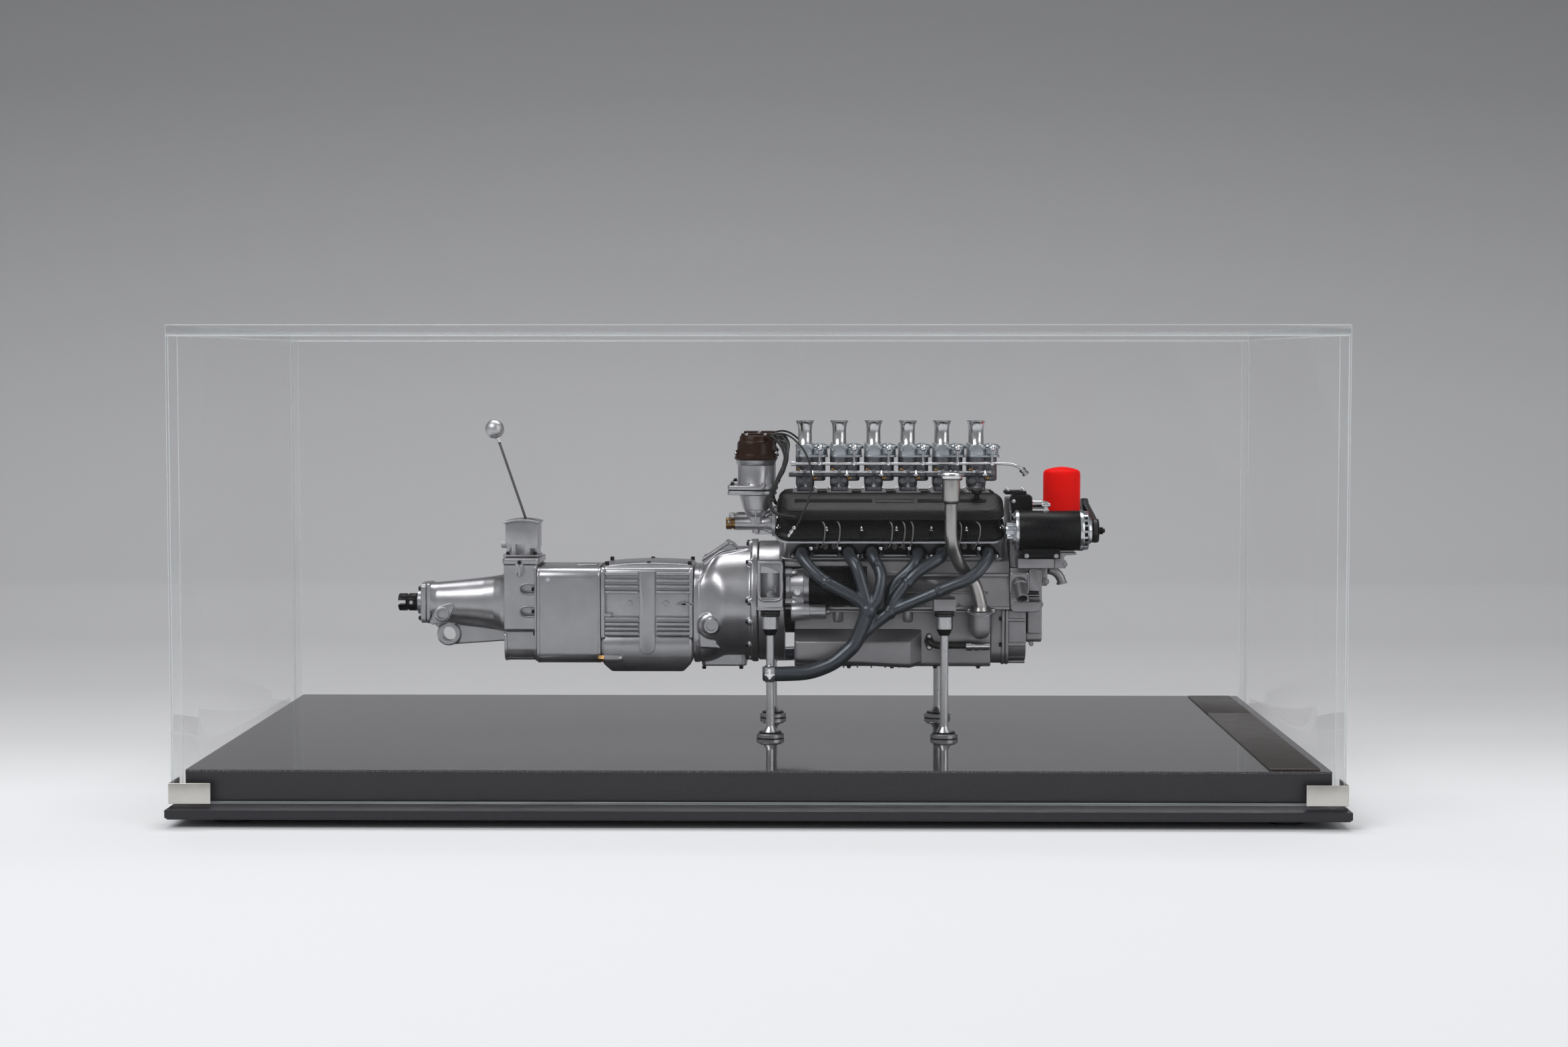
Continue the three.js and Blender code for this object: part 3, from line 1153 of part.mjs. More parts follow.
function tailCasing() {
  const t = tail;
  const column = box([towerRear, towerRear + tower.length], [-tower.halfWidth, tower.halfWidth],
    [tower.bottom, tower.top], overrun);
  const lobe = box([towerRear, towerRear + tower.length], [-tower.lobeHalfWidth, tower.lobeHalfWidth],
    [tower.lobeBottom, tower.bottom + overrun], overrun);
  const cone = lofted([
    tailRing(tailRear, t.rearHalfWidth, t.rearHalfHeight, roundness.boxy),
    tailRing(mix(tailRear, towerRear, t.collarShare), t.rearHalfWidth, t.rearHalfHeight, roundness.soft),
    tailRing(mix(tailRear, towerRear, t.throatShare), t.frontHalfWidth, t.frontHalfHeight, roundness.soft),
    tailRing(towerRear + overrun, t.frontHalfWidth + overrun, t.frontHalfHeight + overrun / 2, roundness.full),
  ]);
  const eyeX = tailRear + t.eyeX;
  const rim = t.eyeRadius + t.eyeRim;
  const web = outline([
    [tailRear, -t.rearHalfHeight], [eyeX - rim, -t.eyeDrop], [eyeX, -t.eyeDrop - rim],
    [towerRear + overrun, -t.webRoot],
    [towerRear + overrun, 0], [tailRear, 0],
  ]);
  const bossX = tailRear + t.bossX;
  const bossReach = [-t.rearHalfWidth - t.bossProud, 0];
  const whole = join(column, lobe, cone, alongY(web, -t.webHalfWidth, t.webHalfWidth),
    alongY(circle(rim, sides.round, eyeX, -t.eyeDrop), -t.webHalfWidth, t.webHalfWidth),
    alongY(circle(t.bossRadius, sides.round, bossX, -t.bossDrop), ...bossReach));
  const eye = alongY(circle(t.eyeRadius, sides.round, eyeX, -t.eyeDrop), -t.webHalfWidth - overrun,
    t.webHalfWidth + overrun);
  const bossBore = alongY(circle(t.bossBore, sides.small, bossX, -t.bossDrop), bossReach[0] - overrun,
    bossReach[0] + t.bossDepth);
  const shaftBore = rod(outputShaft.radius + running, tailRear - overrun, tailRear + outputShaft.journal,
    sides.round, turnedOnX,
    [0, 0, -outputShaft.drop]);
  const slots = [];
  for (const side of [-1, 1]) {
    const deep = [side * (tower.halfWidth - tower.slotDepth),
      side * (tower.halfWidth + overrun)].sort((a, b) => a - b);
    for (let i = 0; i < 2; i += 1) {
      const z = i * tower.slotPitch - tower.slotPitch / 3;
      slots.push(box([towerRear + tower.length - tower.slotLength, towerRear + tower.length + overrun], deep,
        span(z, tower.slotHeight)));
    }
  }
  return cut(whole, eye, bossBore, shaftBore, ...slots);
}

function rearBearingPlate() {
  const t = tail;
  const plateSolid = box([plateRear, plateRear + rearPlate.thickness], [-t.rearHalfWidth, t.rearHalfWidth],
    [-t.frontDrop - t.rearHalfHeight, -t.frontDrop + t.rearHalfHeight], rearPlate.thickness / 4);
  const seal = rod(rearPlate.sealRadius, plateRear - rearPlate.sealLength, plateRear + rearPlate.thickness / 2,
    sides.round,
    turnedOnX, [0, 0, -outputShaft.drop]);
  const bore = rod(outputShaft.radius + running, plateRear - rearPlate.sealLength - overrun,
    plateRear + rearPlate.thickness + overrun,
    sides.round, turnedOnX, [0, 0, -outputShaft.drop]);
  return cut(join(plateSolid, seal), bore);
}

function outputYoke() {
  const o = outputShaft;
  const sealRear = plateRear - rearPlate.sealLength;
  const yokeFront = sealRear - seam;
  const yokeRear = yokeFront - o.yokeLength;
  const shaft = turnedX([
    [yokeRear, o.yokeRadius], [yokeFront, o.yokeRadius], [yokeFront, o.radius],
    [tailRear + o.journal - running, o.radius],
  ], sides.round, 0, -o.drop);
  const slotZ = span(-o.drop, o.slotWidth);
  const cross = box([yokeRear - overrun, yokeRear + o.slotDepth], span(0, 2 * (o.yokeRadius + overrun)), slotZ);
  const upright = box([yokeRear - overrun, yokeRear + o.slotDepth], span(0, o.slotWidth),
    span(-o.drop, 2 * (o.yokeRadius + overrun)));
  return cut(shaft, cross, upright);
}

const turretFront = midRear - seam;
const turretLow = tower.top + seam;
const pivotX = turretFront - lever.pivotInset;
const pivotZ = turretLow + lever.pivotHeight;

function selectorTurret() {
  const t = turret;
  const rear = turretFront - t.length;
  const shoulder = turretLow + t.height - t.domeRise;
  const top = domeTopShares.map(([along, rise]) => [mix(rear, turretFront, along),
    mix(shoulder, turretLow + t.height, rise)]);
  const dome = outline([[rear, turretLow], [turretFront, turretLow], [turretFront, shoulder], ...top,
    [rear, shoulder]]);
  const seat = box([rear - t.seatMargin, turretFront - seam],
    [-t.halfWidth - t.seatMargin, t.halfWidth + t.seatMargin],
    [turretLow, turretLow + t.seatHeight]);
  const boss = rod(t.bossRadius, rear - t.bossLength, rear + overrun, sides.small, turnedOnX,
    [0, 0, turretLow + t.bossHeight]);
  const pocket = rod(lever.ballRadius + running, pivotZ - lever.ballRadius - running,
    turretLow + t.height + overrun,
    sides.round, turnedOnZ, [pivotX, 0, 0]);
  return cut(join(alongY(dome, -t.halfWidth, t.halfWidth), seat, boss), pocket);
}

// The swivel ball: a cross bore for the lever's pin and a slot in which the lever swings fore and aft
function leverBall() {
  const l = lever;
  const ball = solid(new THREE.SphereGeometry(l.ballRadius, sides.round, sides.round / 2));
  const reach = l.ballRadius + overrun;
  const slotHalf = l.rodRadius + running;
  const [steep, flat] = [l.leanDegrees + l.swingDegrees,
    l.leanDegrees - l.swingDegrees].map(THREE.MathUtils.degToRad);
  const wedge = outline([
    [slotHalf, 0], [-reach * Math.sin(flat) + 2 * slotHalf, reach],
    [-reach * Math.tan(steep) - 2 * slotHalf, reach], [-slotHalf, -slotHalf / 2],
  ]);
  const pinBore = alongY(circle(l.pinRadius + running, sides.small), -reach, reach);
  return cut(ball, alongY(wedge, -slotHalf, slotHalf), pinBore);
}

// The lever stands upright here; its group leans it
function gearLever() {
  const l = lever;
  const stick = turnedZ([[0, l.rodRadius], [l.rodLength, l.rodRadius]], sides.pipe);
  const nut = rod(l.nutRadius, l.rodLength - l.nutLength, l.rodLength + overrun, sides.pipe, turnedOnZ,
    [0, 0, 0]);
  const knob = solid(new THREE.SphereGeometry(l.knobRadius, sides.round, sides.round / 2)
    .translate(0, 0, l.rodLength + l.knobRadius));
  const pin = alongY(circle(l.pinRadius, sides.small), -l.pinHalfLength, l.pinHalfLength);
  return join(stick, nut, knob, pin);
}

function addTransmission(parent) {
  piece("clutch_housing", clutchHousing(), looks.castSilver, parent);
  piece("bell_housing", bellHousing(), looks.castSilver, parent);
  piece("gearbox_case", gearboxCase(), looks.castSilver, parent);
  piece("middle_case", middleCase(), looks.castSilver, parent);
  piece("tail_casing", tailCasing(), looks.castSilver, parent);
  piece("rear_plate", rearBearingPlate(), looks.castSilver, parent);
  piece("output_shaft", outputYoke(), looks.blackPaint, parent);
  piece("selector_turret", selectorTurret(), looks.castSilver, parent);
  const swivel = new THREE.Group();
  swivel.position.set(pivotX, 0, pivotZ);
  parent.add(swivel);
  piece("lever_ball", leverBall(), looks.postSteel, swivel);
  const leaning = new THREE.Group();
  leaning.rotation.y = -THREE.MathUtils.degToRad(lever.leanDegrees);
  swivel.add(leaning);
  piece("gear_lever", gearLever(), looks.bright, leaning);
}

// The whole model

const model = new THREE.Group();
addStand(model);
addCover(model);
const drivetrain = new THREE.Group();
drivetrain.position.set(engine.rearX, engine.planeY, deckTop + postHeight + seam + engine.mountDrop);
model.add(drivetrain);
addBlock(drivetrain);
addFront(drivetrain);
addInduction(drivetrain);
addIgnition(drivetrain);
addPipes(drivetrain);
addTransmission(drivetrain);

export default model;
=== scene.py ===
"""Dresses the V12 display replica: modelled castings, pipes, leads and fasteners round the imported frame."""
import math

import bpy
from mathutils import Matrix, Vector


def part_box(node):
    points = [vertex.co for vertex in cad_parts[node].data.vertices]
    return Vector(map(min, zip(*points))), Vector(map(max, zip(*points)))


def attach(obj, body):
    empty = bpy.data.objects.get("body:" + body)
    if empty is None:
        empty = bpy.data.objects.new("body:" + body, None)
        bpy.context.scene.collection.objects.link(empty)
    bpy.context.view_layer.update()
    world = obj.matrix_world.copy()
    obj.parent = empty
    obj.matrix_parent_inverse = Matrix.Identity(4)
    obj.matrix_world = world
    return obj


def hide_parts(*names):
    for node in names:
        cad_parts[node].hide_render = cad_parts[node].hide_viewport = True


bl_info = {"name": "Engine Replica", "version": (1, 0, 0), "blender": (4, 5, 0),
    "location": "View3D > Sidebar > Replica",
    "description": "Models a quarter-scale engine and gearbox under its acrylic cover",
    "category": "Add Mesh"}

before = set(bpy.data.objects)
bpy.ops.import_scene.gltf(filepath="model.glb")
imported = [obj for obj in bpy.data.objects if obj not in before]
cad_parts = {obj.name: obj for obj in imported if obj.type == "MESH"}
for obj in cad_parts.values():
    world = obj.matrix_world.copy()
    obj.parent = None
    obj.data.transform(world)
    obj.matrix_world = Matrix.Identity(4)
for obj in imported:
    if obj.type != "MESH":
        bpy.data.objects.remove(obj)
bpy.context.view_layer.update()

MM = 0.001
QUARTER = math.pi / 2
TURN = 2 * math.pi

# Places taken from the frame, in metres
CASE_LOW, CASE_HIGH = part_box("crankcase")
CLUTCH_LOW, CLUTCH_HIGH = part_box("clutch_housing")
SEAM = 0.3
CLUTCH_RADIUS = 39.6
# The engine's own frame: the block's rear face, the centre plane and the crank axis
ENGINE = Vector((CLUTCH_HIGH.x, (CASE_LOW.y + CASE_HIGH.y) / 2, CLUTCH_LOW.z + CLUTCH_RADIUS * MM))

AXES = {"X": Vector((1, 0, 0)), "Y": Vector((0, 1, 0)), "Z": Vector((0, 0, 1))}
TURNS = {"X": (0, QUARTER, 0), "Y": (-QUARTER, 0, 0), "Z": (0, 0, 0)}

# The banks lean outwards by 30 degrees
LEAN = math.radians(30)
BORE_PITCH = 22.5
CAM_HEIGHT = 60.6
CAM_OUT = CAM_HEIGHT * math.sin(LEAN)
CAM_UP = CAM_HEIGHT * math.cos(LEAN)
SIDES = {"near": -1, "far": 1}


def mm(x, y, z):
    """A place or a move in metres, from millimetres."""
    return Vector((x, y, z)) * MM


def at(x, y, z):
    """A place in the engine's own millimetres."""
    return ENGINE + mm(x, y, z)


def bank_out(side):
    return Vector((0, side * math.cos(LEAN), -math.sin(LEAN)))


def bank_up(side):
    return Vector((0, side * math.sin(LEAN), math.cos(LEAN)))


def mix(start, end, share):
    return start + (end - start) * share


# Modelling


def deselect():
    bpy.ops.object.select_all(action="DESELECT")


def pick(*pieces):
    deselect()
    for piece in pieces:
        piece.select_set(True)
    bpy.context.view_layer.objects.active = pieces[-1]


def settle(piece):
    """Puts a piece's place into its mesh."""
    pick(piece)
    bpy.ops.object.transform_apply(location=True, rotation=True, scale=True)
    return piece


def merge_close(piece, distance=0.01 * MM):
    """Merges doubled points and turns every face outwards."""
    pick(piece)
    bpy.ops.object.mode_set(mode="EDIT")
    bpy.ops.mesh.select_all(action="SELECT")
    bpy.ops.mesh.remove_doubles(threshold=distance)
    bpy.ops.mesh.normals_make_consistent(inside=False)
    bpy.ops.object.mode_set(mode="OBJECT")
    return piece


def modify(piece, kind, **settings):
    """Adds one modifier with its settings and applies it."""
    pick(piece)
    modifier = piece.modifiers.new(kind.lower(), kind)
    for key, value in settings.items():
        setattr(modifier, key, value)
    bpy.ops.object.modifier_apply(modifier=modifier.name)
    return piece


def soften(piece, width, segments=3, angle=30):
    """Rounds the sharp edges to a radius of about width millimetres."""
    return modify(piece, "BEVEL", width=width * MM, segments=segments, limit_method="ANGLE",
        angle_limit=math.radians(angle), use_clamp_overlap=True, harden_normals=False)


def joined(*pieces):
    """Joins pieces into the last one."""
    if len(pieces) > 1:
        pick(*pieces)
        bpy.ops.object.join()
    return pieces[-1]


def carved(piece, *tools):
    """Cuts the tools' shapes out of a piece and throws the tools away."""
    for tool in tools:
        modify(piece, "BOOLEAN", operation="DIFFERENCE", object=tool, solver="EXACT")
        bpy.data.objects.remove(tool)
    return piece


def copy_of(master, matrix=None):
    twin = master.copy()
    twin.data = master.data.copy()
    bpy.context.scene.collection.objects.link(twin)
    if matrix is not None:
        twin.data.transform(matrix)
        if matrix.determinant() < 0:
            merge_close(twin)
    return twin


def scattered(master, matrices):
    """Copies a master to each place, joins the copies and throws the master away."""
    copies = [copy_of(master, matrix) for matrix in matrices]
    bpy.data.objects.remove(master)
    return joined(*copies)


def moved(piece, matrix):
    """A piece after a move of its mesh."""
    piece.data.transform(matrix)
    return piece


def standing(point, direction=AXES["Z"], turn=0.0):
    """The matrix that stands an upright thing on a point, along a direction."""
    aim = Vector(direction).to_track_quat("Z", "Y").to_matrix().to_4x4()
    return Matrix.Translation(point) @ aim @ Matrix.Rotation(turn, 4, "Z")


def lathe(profile, axis="Z", centre=None, sides=64):
    """Draws a disc out along the axis, widening or narrowing it at each station of the profile."""
    centre = Vector((0, 0, 0)) if centre is None else centre
    line = AXES[axis]
    along, radius = profile[0]
    bpy.ops.mesh.primitive_circle_add(vertices=sides, radius=radius * MM, fill_type="NGON",
        location=centre + line * along * MM, rotation=TURNS[axis])
    bpy.ops.object.mode_set(mode="EDIT")
    for (here, now), (there, then) in zip(profile, profile[1:]):
        bpy.ops.mesh.extrude_region_move(TRANSFORM_OT_translate={"value": line * (there - here) * MM})
        grow = then / now
        if abs(grow - 1) > 0:
            bpy.ops.transform.resize(value=(grow, grow, grow), center_override=centre + line * there * MM)
    bpy.ops.mesh.select_all(action="SELECT")
    bpy.ops.mesh.normals_make_consistent(inside=False)
    bpy.ops.object.mode_set(mode="OBJECT")
    return settle(bpy.context.object)


def rod(radius, start, end, axis="X", centre=None, sides=32, edge=0.2):
    """A round bar with softened ends."""
    rim = max(radius - edge, radius / 2)
    step = min(edge, abs(end - start) / 4)
    return lathe([(start, rim), (start + step, radius), (end - step, radius), (end, rim)], axis, centre,
        sides)


def block(low, high, edge=0.4, segments=3):
    """A box between two corners, its edges rounded."""
    low, high = Vector(low), Vector(high)
    bpy.ops.mesh.primitive_cube_add(size=1, location=(low + high) / 2, scale=high - low)
    piece = settle(bpy.context.object)
    return soften(piece, edge, segments) if edge else piece


PLANES = {"X": (AXES["Y"], AXES["Z"]), "Y": (AXES["X"], AXES["Z"]), "Z": (AXES["X"], AXES["Y"])}


def prism(points, axis, start, end, centre=None, edge=0.4, segments=3):
    """An outline in the plane square to the axis, drawn out along it from start to end."""
    centre = Vector((0, 0, 0)) if centre is None else centre
    first, second = PLANES[axis]
    bpy.ops.mesh.primitive_circle_add(vertices=len(points), radius=MM, fill_type="NGON")
    piece = bpy.context.object
    for vertex, (u, v) in zip(piece.data.vertices, points):
        vertex.co = centre + (first * u + second * v + AXES[axis] * start) * MM
    bpy.ops.object.mode_set(mode="EDIT")
    bpy.ops.mesh.extrude_region_move(TRANSFORM_OT_translate={"value": AXES[axis] * (end - start) * MM})
    bpy.ops.mesh.select_all(action="SELECT")
    bpy.ops.mesh.normals_make_consistent(inside=False)
    bpy.ops.object.mode_set(mode="OBJECT")
    return soften(piece, edge, segments) if edge else piece


def shifted(start, profile):
    """A profile moved along its axis."""
    return [(start + along, radius) for along, radius in profile]


def rounded(low, high, radius, steps=6):
    """The outline of a rectangle with round corners: one radius, or one for each corner in turn."""
    radii = [radius] * 4 if isinstance(radius, (int, float)) else radius
    (u0, v0), (u1, v1) = low, high
    corners = [(u0, v0, 2), (u1, v0, 3), (u1, v1, 0), (u0, v1, 1)]
    points = []
    for (u, v, quarter), r in zip(corners, radii):
        middle_u = u + (r if u == u0 else -r)
        middle_v = v + (r if v == v0 else -r)
        for step in range(steps + 1 if r else 1):
            angle = QUARTER * (quarter + step / steps)
            points.append((middle_u + r * math.cos(angle), middle_v + r * math.sin(angle)))
    return points


def hull_round(discs, steps=24):
    """The outline of a band stretched round discs given as (u, v, radius)."""
    points = []
    for u, v, r in discs:
        points += [(u + r * math.cos(TURN * i / steps), v + r * math.sin(TURN * i / steps))
            for i in range(steps)]
    points = sorted(set(points))
    halves = []
    for ordered in (points, points[::-1]):
        chain = []
        for p in ordered:
            while len(chain) > 1 and _turn(chain[-2], chain[-1], p) <= 0:
                chain.pop()
            chain.append(p)
        halves += chain[:-1]
    return halves


def _turn(a, b, c):
    return (b[0] - a[0]) * (c[1] - a[1]) - (b[1] - a[1]) * (c[0] - a[0])


def slab(low, high, radius, axis, start, end, edge, steps=6):
    """A plate of the engine with rounded corners, drawn out along the axis."""
    return prism(rounded(low, high, radius, steps), axis, start, end, ENGINE, edge)


def across(half_width, low, high, radius, start, end, edge, steps=6):
    """A plate square to the engine's length, as wide to the near side as to the far side."""
    return slab((-half_width, low), (half_width, high), radius, "X", start, end, edge, steps)


def strap(discs, steps, axis, start, end, edge):
    """A plate of the engine stretched round discs."""
    return prism(hull_round(discs, steps), axis, start, end, ENGINE, edge)


def tube(points, radius, smoothness=4, resolution=10, closed=False):
    """A pipe on a smooth curve through the points, which are places in metres."""
    bpy.ops.curve.primitive_bezier_curve_add(location=(0, 0, 0))
    curve = bpy.context.object
    spline = curve.data.splines[0]
    spline.bezier_points.add(len(points) - 2)
    for knot, point in zip(spline.bezier_points, points):
        knot.co = point
        knot.handle_left_type = "AUTO"
        knot.handle_right_type = "AUTO"
    spline.use_cyclic_u = closed
    curve.data.bevel_depth = radius * MM
    curve.data.bevel_resolution = smoothness
    curve.data.resolution_u = resolution
    curve.data.use_fill_caps = not closed
    pick(curve)
    bpy.ops.object.convert(target="MESH")
    return merge_close(bpy.context.object)


def skin(rings):
    """A closed skin through rings of places, for castings whose section changes along their length."""
    count = len(rings[0])
    faces = []
    for j in range(len(rings) - 1):
        for i in range(count):
            a, b = j * count + i, j * count + (i + 1) % count
            faces.append((a, b, b + count, a + count))
    faces.append(tuple(range(count))[::-1])
    faces.append(tuple((len(rings) - 1) * count + i for i in range(count)))
    mesh = bpy.data.meshes.new("skin")
    mesh.from_pydata([tuple(p) for ring in rings for p in ring], [], faces)
    piece = bpy.data.objects.new("skin", mesh)
    bpy.context.scene.collection.objects.link(piece)
    return merge_close(piece)


def section(x, y, z, half_width, half_height, roundness, count=72):
    """One ring square to X: a circle at roundness 2, a box with soft corners above it."""
    ring = []
    for i in range(count):
        angle = TURN * (i + 0.5) / count
        c, s = math.cos(angle), math.sin(angle)
        across = half_width * math.copysign(abs(c) ** (2 / roundness), c)
        up = half_height * math.copysign(abs(s) ** (2 / roundness), s)
        ring.append(at(x, y + across, z + up))
    return ring


def copy_of_node(node):
    """A merged copy of a frame node's mesh, its triangles joined into whole faces."""
    piece = merge_close(copy_of(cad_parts[node]))
    piece.parent = None
    piece.hide_render = False
    for key in [key for key in piece.keys() if key.startswith("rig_")]:
        del piece[key]
    bpy.ops.object.mode_set(mode="EDIT")
    bpy.ops.mesh.select_all(action="SELECT")
    bpy.ops.mesh.dissolve_limited(angle_limit=math.radians(0.5))
    bpy.ops.object.mode_set(mode="OBJECT")
    return piece


def welded(piece, voxel=0.4, rounds=6, keep=0.5):
    """Fuses what overlaps in a piece into one skin with small fillets."""
    modify(piece, "REMESH", mode="VOXEL", voxel_size=voxel * MM)
    modify(piece, "SMOOTH", factor=0.5, iterations=rounds)
    return modify(piece, "DECIMATE", ratio=keep)


def finished(piece, name, look, body="root", replaces=(), angle=35):
    """Names a piece, gives it its finish and puts it on its body."""
    piece.name = name
    piece.data.name = name
    piece.data.materials.clear()
    piece.data.materials.append(material(look))
    pick(piece)
    bpy.ops.object.shade_smooth_by_angle(angle=math.radians(angle))
    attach(piece, body)
    if replaces:
        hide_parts(*replaces)
    return piece


def fastened(kind, places, name, look):
    """Puts one kind of fastener in all its places, as one piece."""
    return finished(scattered(kind, places), name, look)


# Fasteners, each modelled standing on the origin


def hex_bolt(radius=1.1, height=1.1):
    """A hexagon head on its washer."""
    washer = rod(radius * 1.25, 0, height * 0.2, "Z", sides=20, edge=0.05)
    head = lathe([(height * 0.2, radius), (height * 0.85, radius), (height, radius * 0.8)], "Z", sides=6)
    return joined(washer, head)


def acorn_nut(radius=1.2, height=3.0):
    """A hexagon nut with a domed end, on its washer."""
    washer = rod(radius * 1.3, 0, height * 0.1, "Z", sides=20, edge=0.05)
    nut = lathe([(height * 0.1, radius), (height * 0.5, radius), (height * 0.52, radius * 0.85)], "Z",
        sides=6)
    dome = lathe([(height * 0.5, radius * 0.82), (height * 0.75, radius * 0.74),
        (height * 0.92, radius * 0.46), (height, radius * 0.15)], "Z", sides=20)
    return joined(washer, nut, dome)


def stud_nut(radius=1.2, height=2.4):
    """A hexagon nut with its stud standing out of it."""
    washer = rod(radius * 1.3, 0, height * 0.12, "Z", sides=20, edge=0.05)
    nut = lathe([(height * 0.12, radius), (height * 0.62, radius), (height * 0.7, radius * 0.85)], "Z",
        sides=6)
    stud = rod(radius * 0.5, height * 0.6, height, "Z", sides=12, edge=0.1)
    return joined(washer, nut, stud)


def cap_screw(radius=1.0, height=1.2):
    """A cheese head with its socket."""
    socket = radius * 0.5
    return lathe([(0, radius), (height * 0.85, radius), (height, radius * 0.85), (height, socket),
        (height * 0.5, socket)], "Z", sides=16)


# Finishes


def linear(hex_colour):
    """A linear colour from an sRGB hex value."""
    channels = [int(hex_colour[i:i + 2], 16) / 255 for i in (0, 2, 4)]
    return [c / 12.92 if c <= 0.04045 else ((c + 0.055) / 1.055) ** 2.4 for c in channels] + [1.0]


def add_node(tree, kind, settings=None, **links):
    """Adds a node, sets its values and links its inputs."""
    node = tree.nodes.new(kind)
    for key, value in (settings or {}).items():
        if hasattr(node, key):
            setattr(node, key, value)
        else:
            node.inputs[key].default_value = value
    for key, source in links.items():
        tree.links.new(source, node.inputs[key.replace("_", " ")])
    return node


def per(size_mm):
    """A texture scale for a feature of this size in millimetres."""
    return 1 / (size_mm * MM)


def fresh_material(name):
    """A material whose nodes start with the object's own coordinates."""
    made = bpy.data.materials.new(f"{name}_finish")
    made.use_nodes = True
    tree = made.node_tree
    tree.nodes.clear()
    return made, tree, add_node(tree, "ShaderNodeTexCoord").outputs["Object"]


def closed(made, settings, **links):
    """Gives a material its shader and output."""
    shader = add_node(made.node_tree, "ShaderNodeBsdfPrincipled", settings, **links)
    add_node(made.node_tree, "ShaderNodeOutputMaterial", Surface=shader.outputs[0])
    return made


def noise(tree, place, size, detail):
    """Cloudy noise with features of this size in millimetres."""
    return add_node(tree, "ShaderNodeTexNoise", {"Scale": per(size), "Detail": detail},
        Vector=place).outputs["Fac"]


def blended(tree, operation, first, second):
    """The sum or product of two values."""
    node = add_node(tree, "ShaderNodeMath", {"operation": operation})
    for value, socket in zip((first, second), node.inputs):
        tree.links.new(value, socket)
    return node.outputs[0]


def ranged(tree, value, low, high, start=0.0, end=1.0):
    """A value between start and end, mapped to between low and high."""
    limits = {"From Min": start, "From Max": end, "To Min": low, "To Max": high}
    return add_node(tree, "ShaderNodeMapRange", limits, Value=value).outputs["Result"]


def tinted(tree, value, first, *middle, last):
    """A colour that follows a value through stops of position and linear colour."""
    node = add_node(tree, "ShaderNodeValToRGB", Fac=value)
    stops = node.color_ramp.elements
    for stop, (position, colour) in zip(stops, (first, last)):
        stop.position, stop.color = position, colour
    for position, colour in middle:
        stops.new(position).color = colour
    return node.outputs["Color"]


def scaled(colour, factor):
    return [min(1.0, c * factor) for c in colour[:3]] + [1.0]


def relief(tree, value, strength, depth):
    """Fine relief that follows a value, its depth in millimetres."""
    settings = {"Strength": strength, "Distance": depth * MM}
    return add_node(tree, "ShaderNodeBump", settings, Height=value).outputs["Normal"]


def grained(name, colour, metallic, roughness, grain, bump, cloud=12.0, tone=0.08, spread=0.08,
        stretch=(1, 1, 1), coat=0.0, coat_roughness=0.1, specular=0.5):
    """A surface with a fine grain, slow clouds of tone, and gloss that changes a little with both."""
    made, tree, place = fresh_material(name)
    mapped = add_node(tree, "ShaderNodeMapping", {"Scale": stretch}, Vector=place)
    fine, slow = noise(tree, mapped.outputs["Vector"], grain, 3.0), noise(tree, place, cloud, 2.0)
    # Where the product of the two noises is darkest and lightest
    tint = tinted(tree, blended(tree, "MULTIPLY", fine, slow), (0.1, scaled(colour, 1 - tone * 2)),
        last=(0.42, scaled(colour, 1 + tone)))
    settings = {"Metallic": metallic, "Coat Weight": coat, "Coat Roughness": coat_roughness,
        "Specular IOR Level": specular}
    return closed(made, settings, Base_Color=tint, Normal=relief(tree, fine, 0.6, bump),
        Roughness=ranged(tree, slow, roughness - spread, roughness + spread))


def satin_black(name, colour):
    """Sprayed satin paint on the wooden plinth: an even dark sheen with the faintest orange peel."""
    return grained(name, colour, 0.0, 0.38, 1.2, 0.02, cloud=60, tone=0.05)


def woven_deck(name, colour):
    """Fine black cloth under clear gloss lacquer: a soft grid below mirror-like reflections."""
    made, tree, place = fresh_material(name)
    # Threads are 2.4 mm apart, and a wave of scale 1 repeats 20 times in a turn
    bands = {"Scale": per(2.4) * TURN / 20, "wave_type": "BANDS"}
    warp, weft = (add_node(tree, "ShaderNodeTexWave", {**bands, "bands_direction": axis},
        Vector=place).outputs["Fac"] for axis in "XY")
    weave = blended(tree, "MULTIPLY", warp, weft)
    tint = tinted(tree, weave, (0, scaled(colour, 0.6)), last=(1, scaled(colour, 1.8)))
    return closed(made, {"Specular IOR Level": 0.8}, Base_Color=tint,
        Roughness=ranged(tree, weave, 0.05, 0.09))


def clear_sheet(name, colour, face_on, grazing, roughness, blend=0.12):
    """A surface that shows only what it reflects, more so the lower the angle."""
    made, tree, _ = fresh_material(name)
    facing = add_node(tree, "ShaderNodeLayerWeight", {"Blend": blend})
    return closed(made, {"Base Color": colour, "Metallic": 1.0, "Roughness": roughness},
        Alpha=ranged(tree, facing.outputs["Fresnel"], face_on, grazing))


def clear_acrylic(name, colour):
    """Polished cast acrylic, seen through without a tint and reflecting only at low angles."""
    return clear_sheet(name, colour, 0.006, 0.22, 0.02)


def acrylic_side(name, colour):
    """The polished edge of an acrylic sheet: clear, with a pale grey sheen."""
    return clear_sheet(name, colour, 0.06, 0.34, 0.1, 0.3)


def acrylic_edge(name, colour):
    """A pale line painted on the eased corner of a sheet: a painted highlight for the light the corner
    gathers.
    """
    made, tree, place = fresh_material(name)
    return closed(made, {"Base Color": colour, "Roughness": 0.12},
        Alpha=ranged(tree, noise(tree, place, 40, 2.0), 0.3, 0.8))


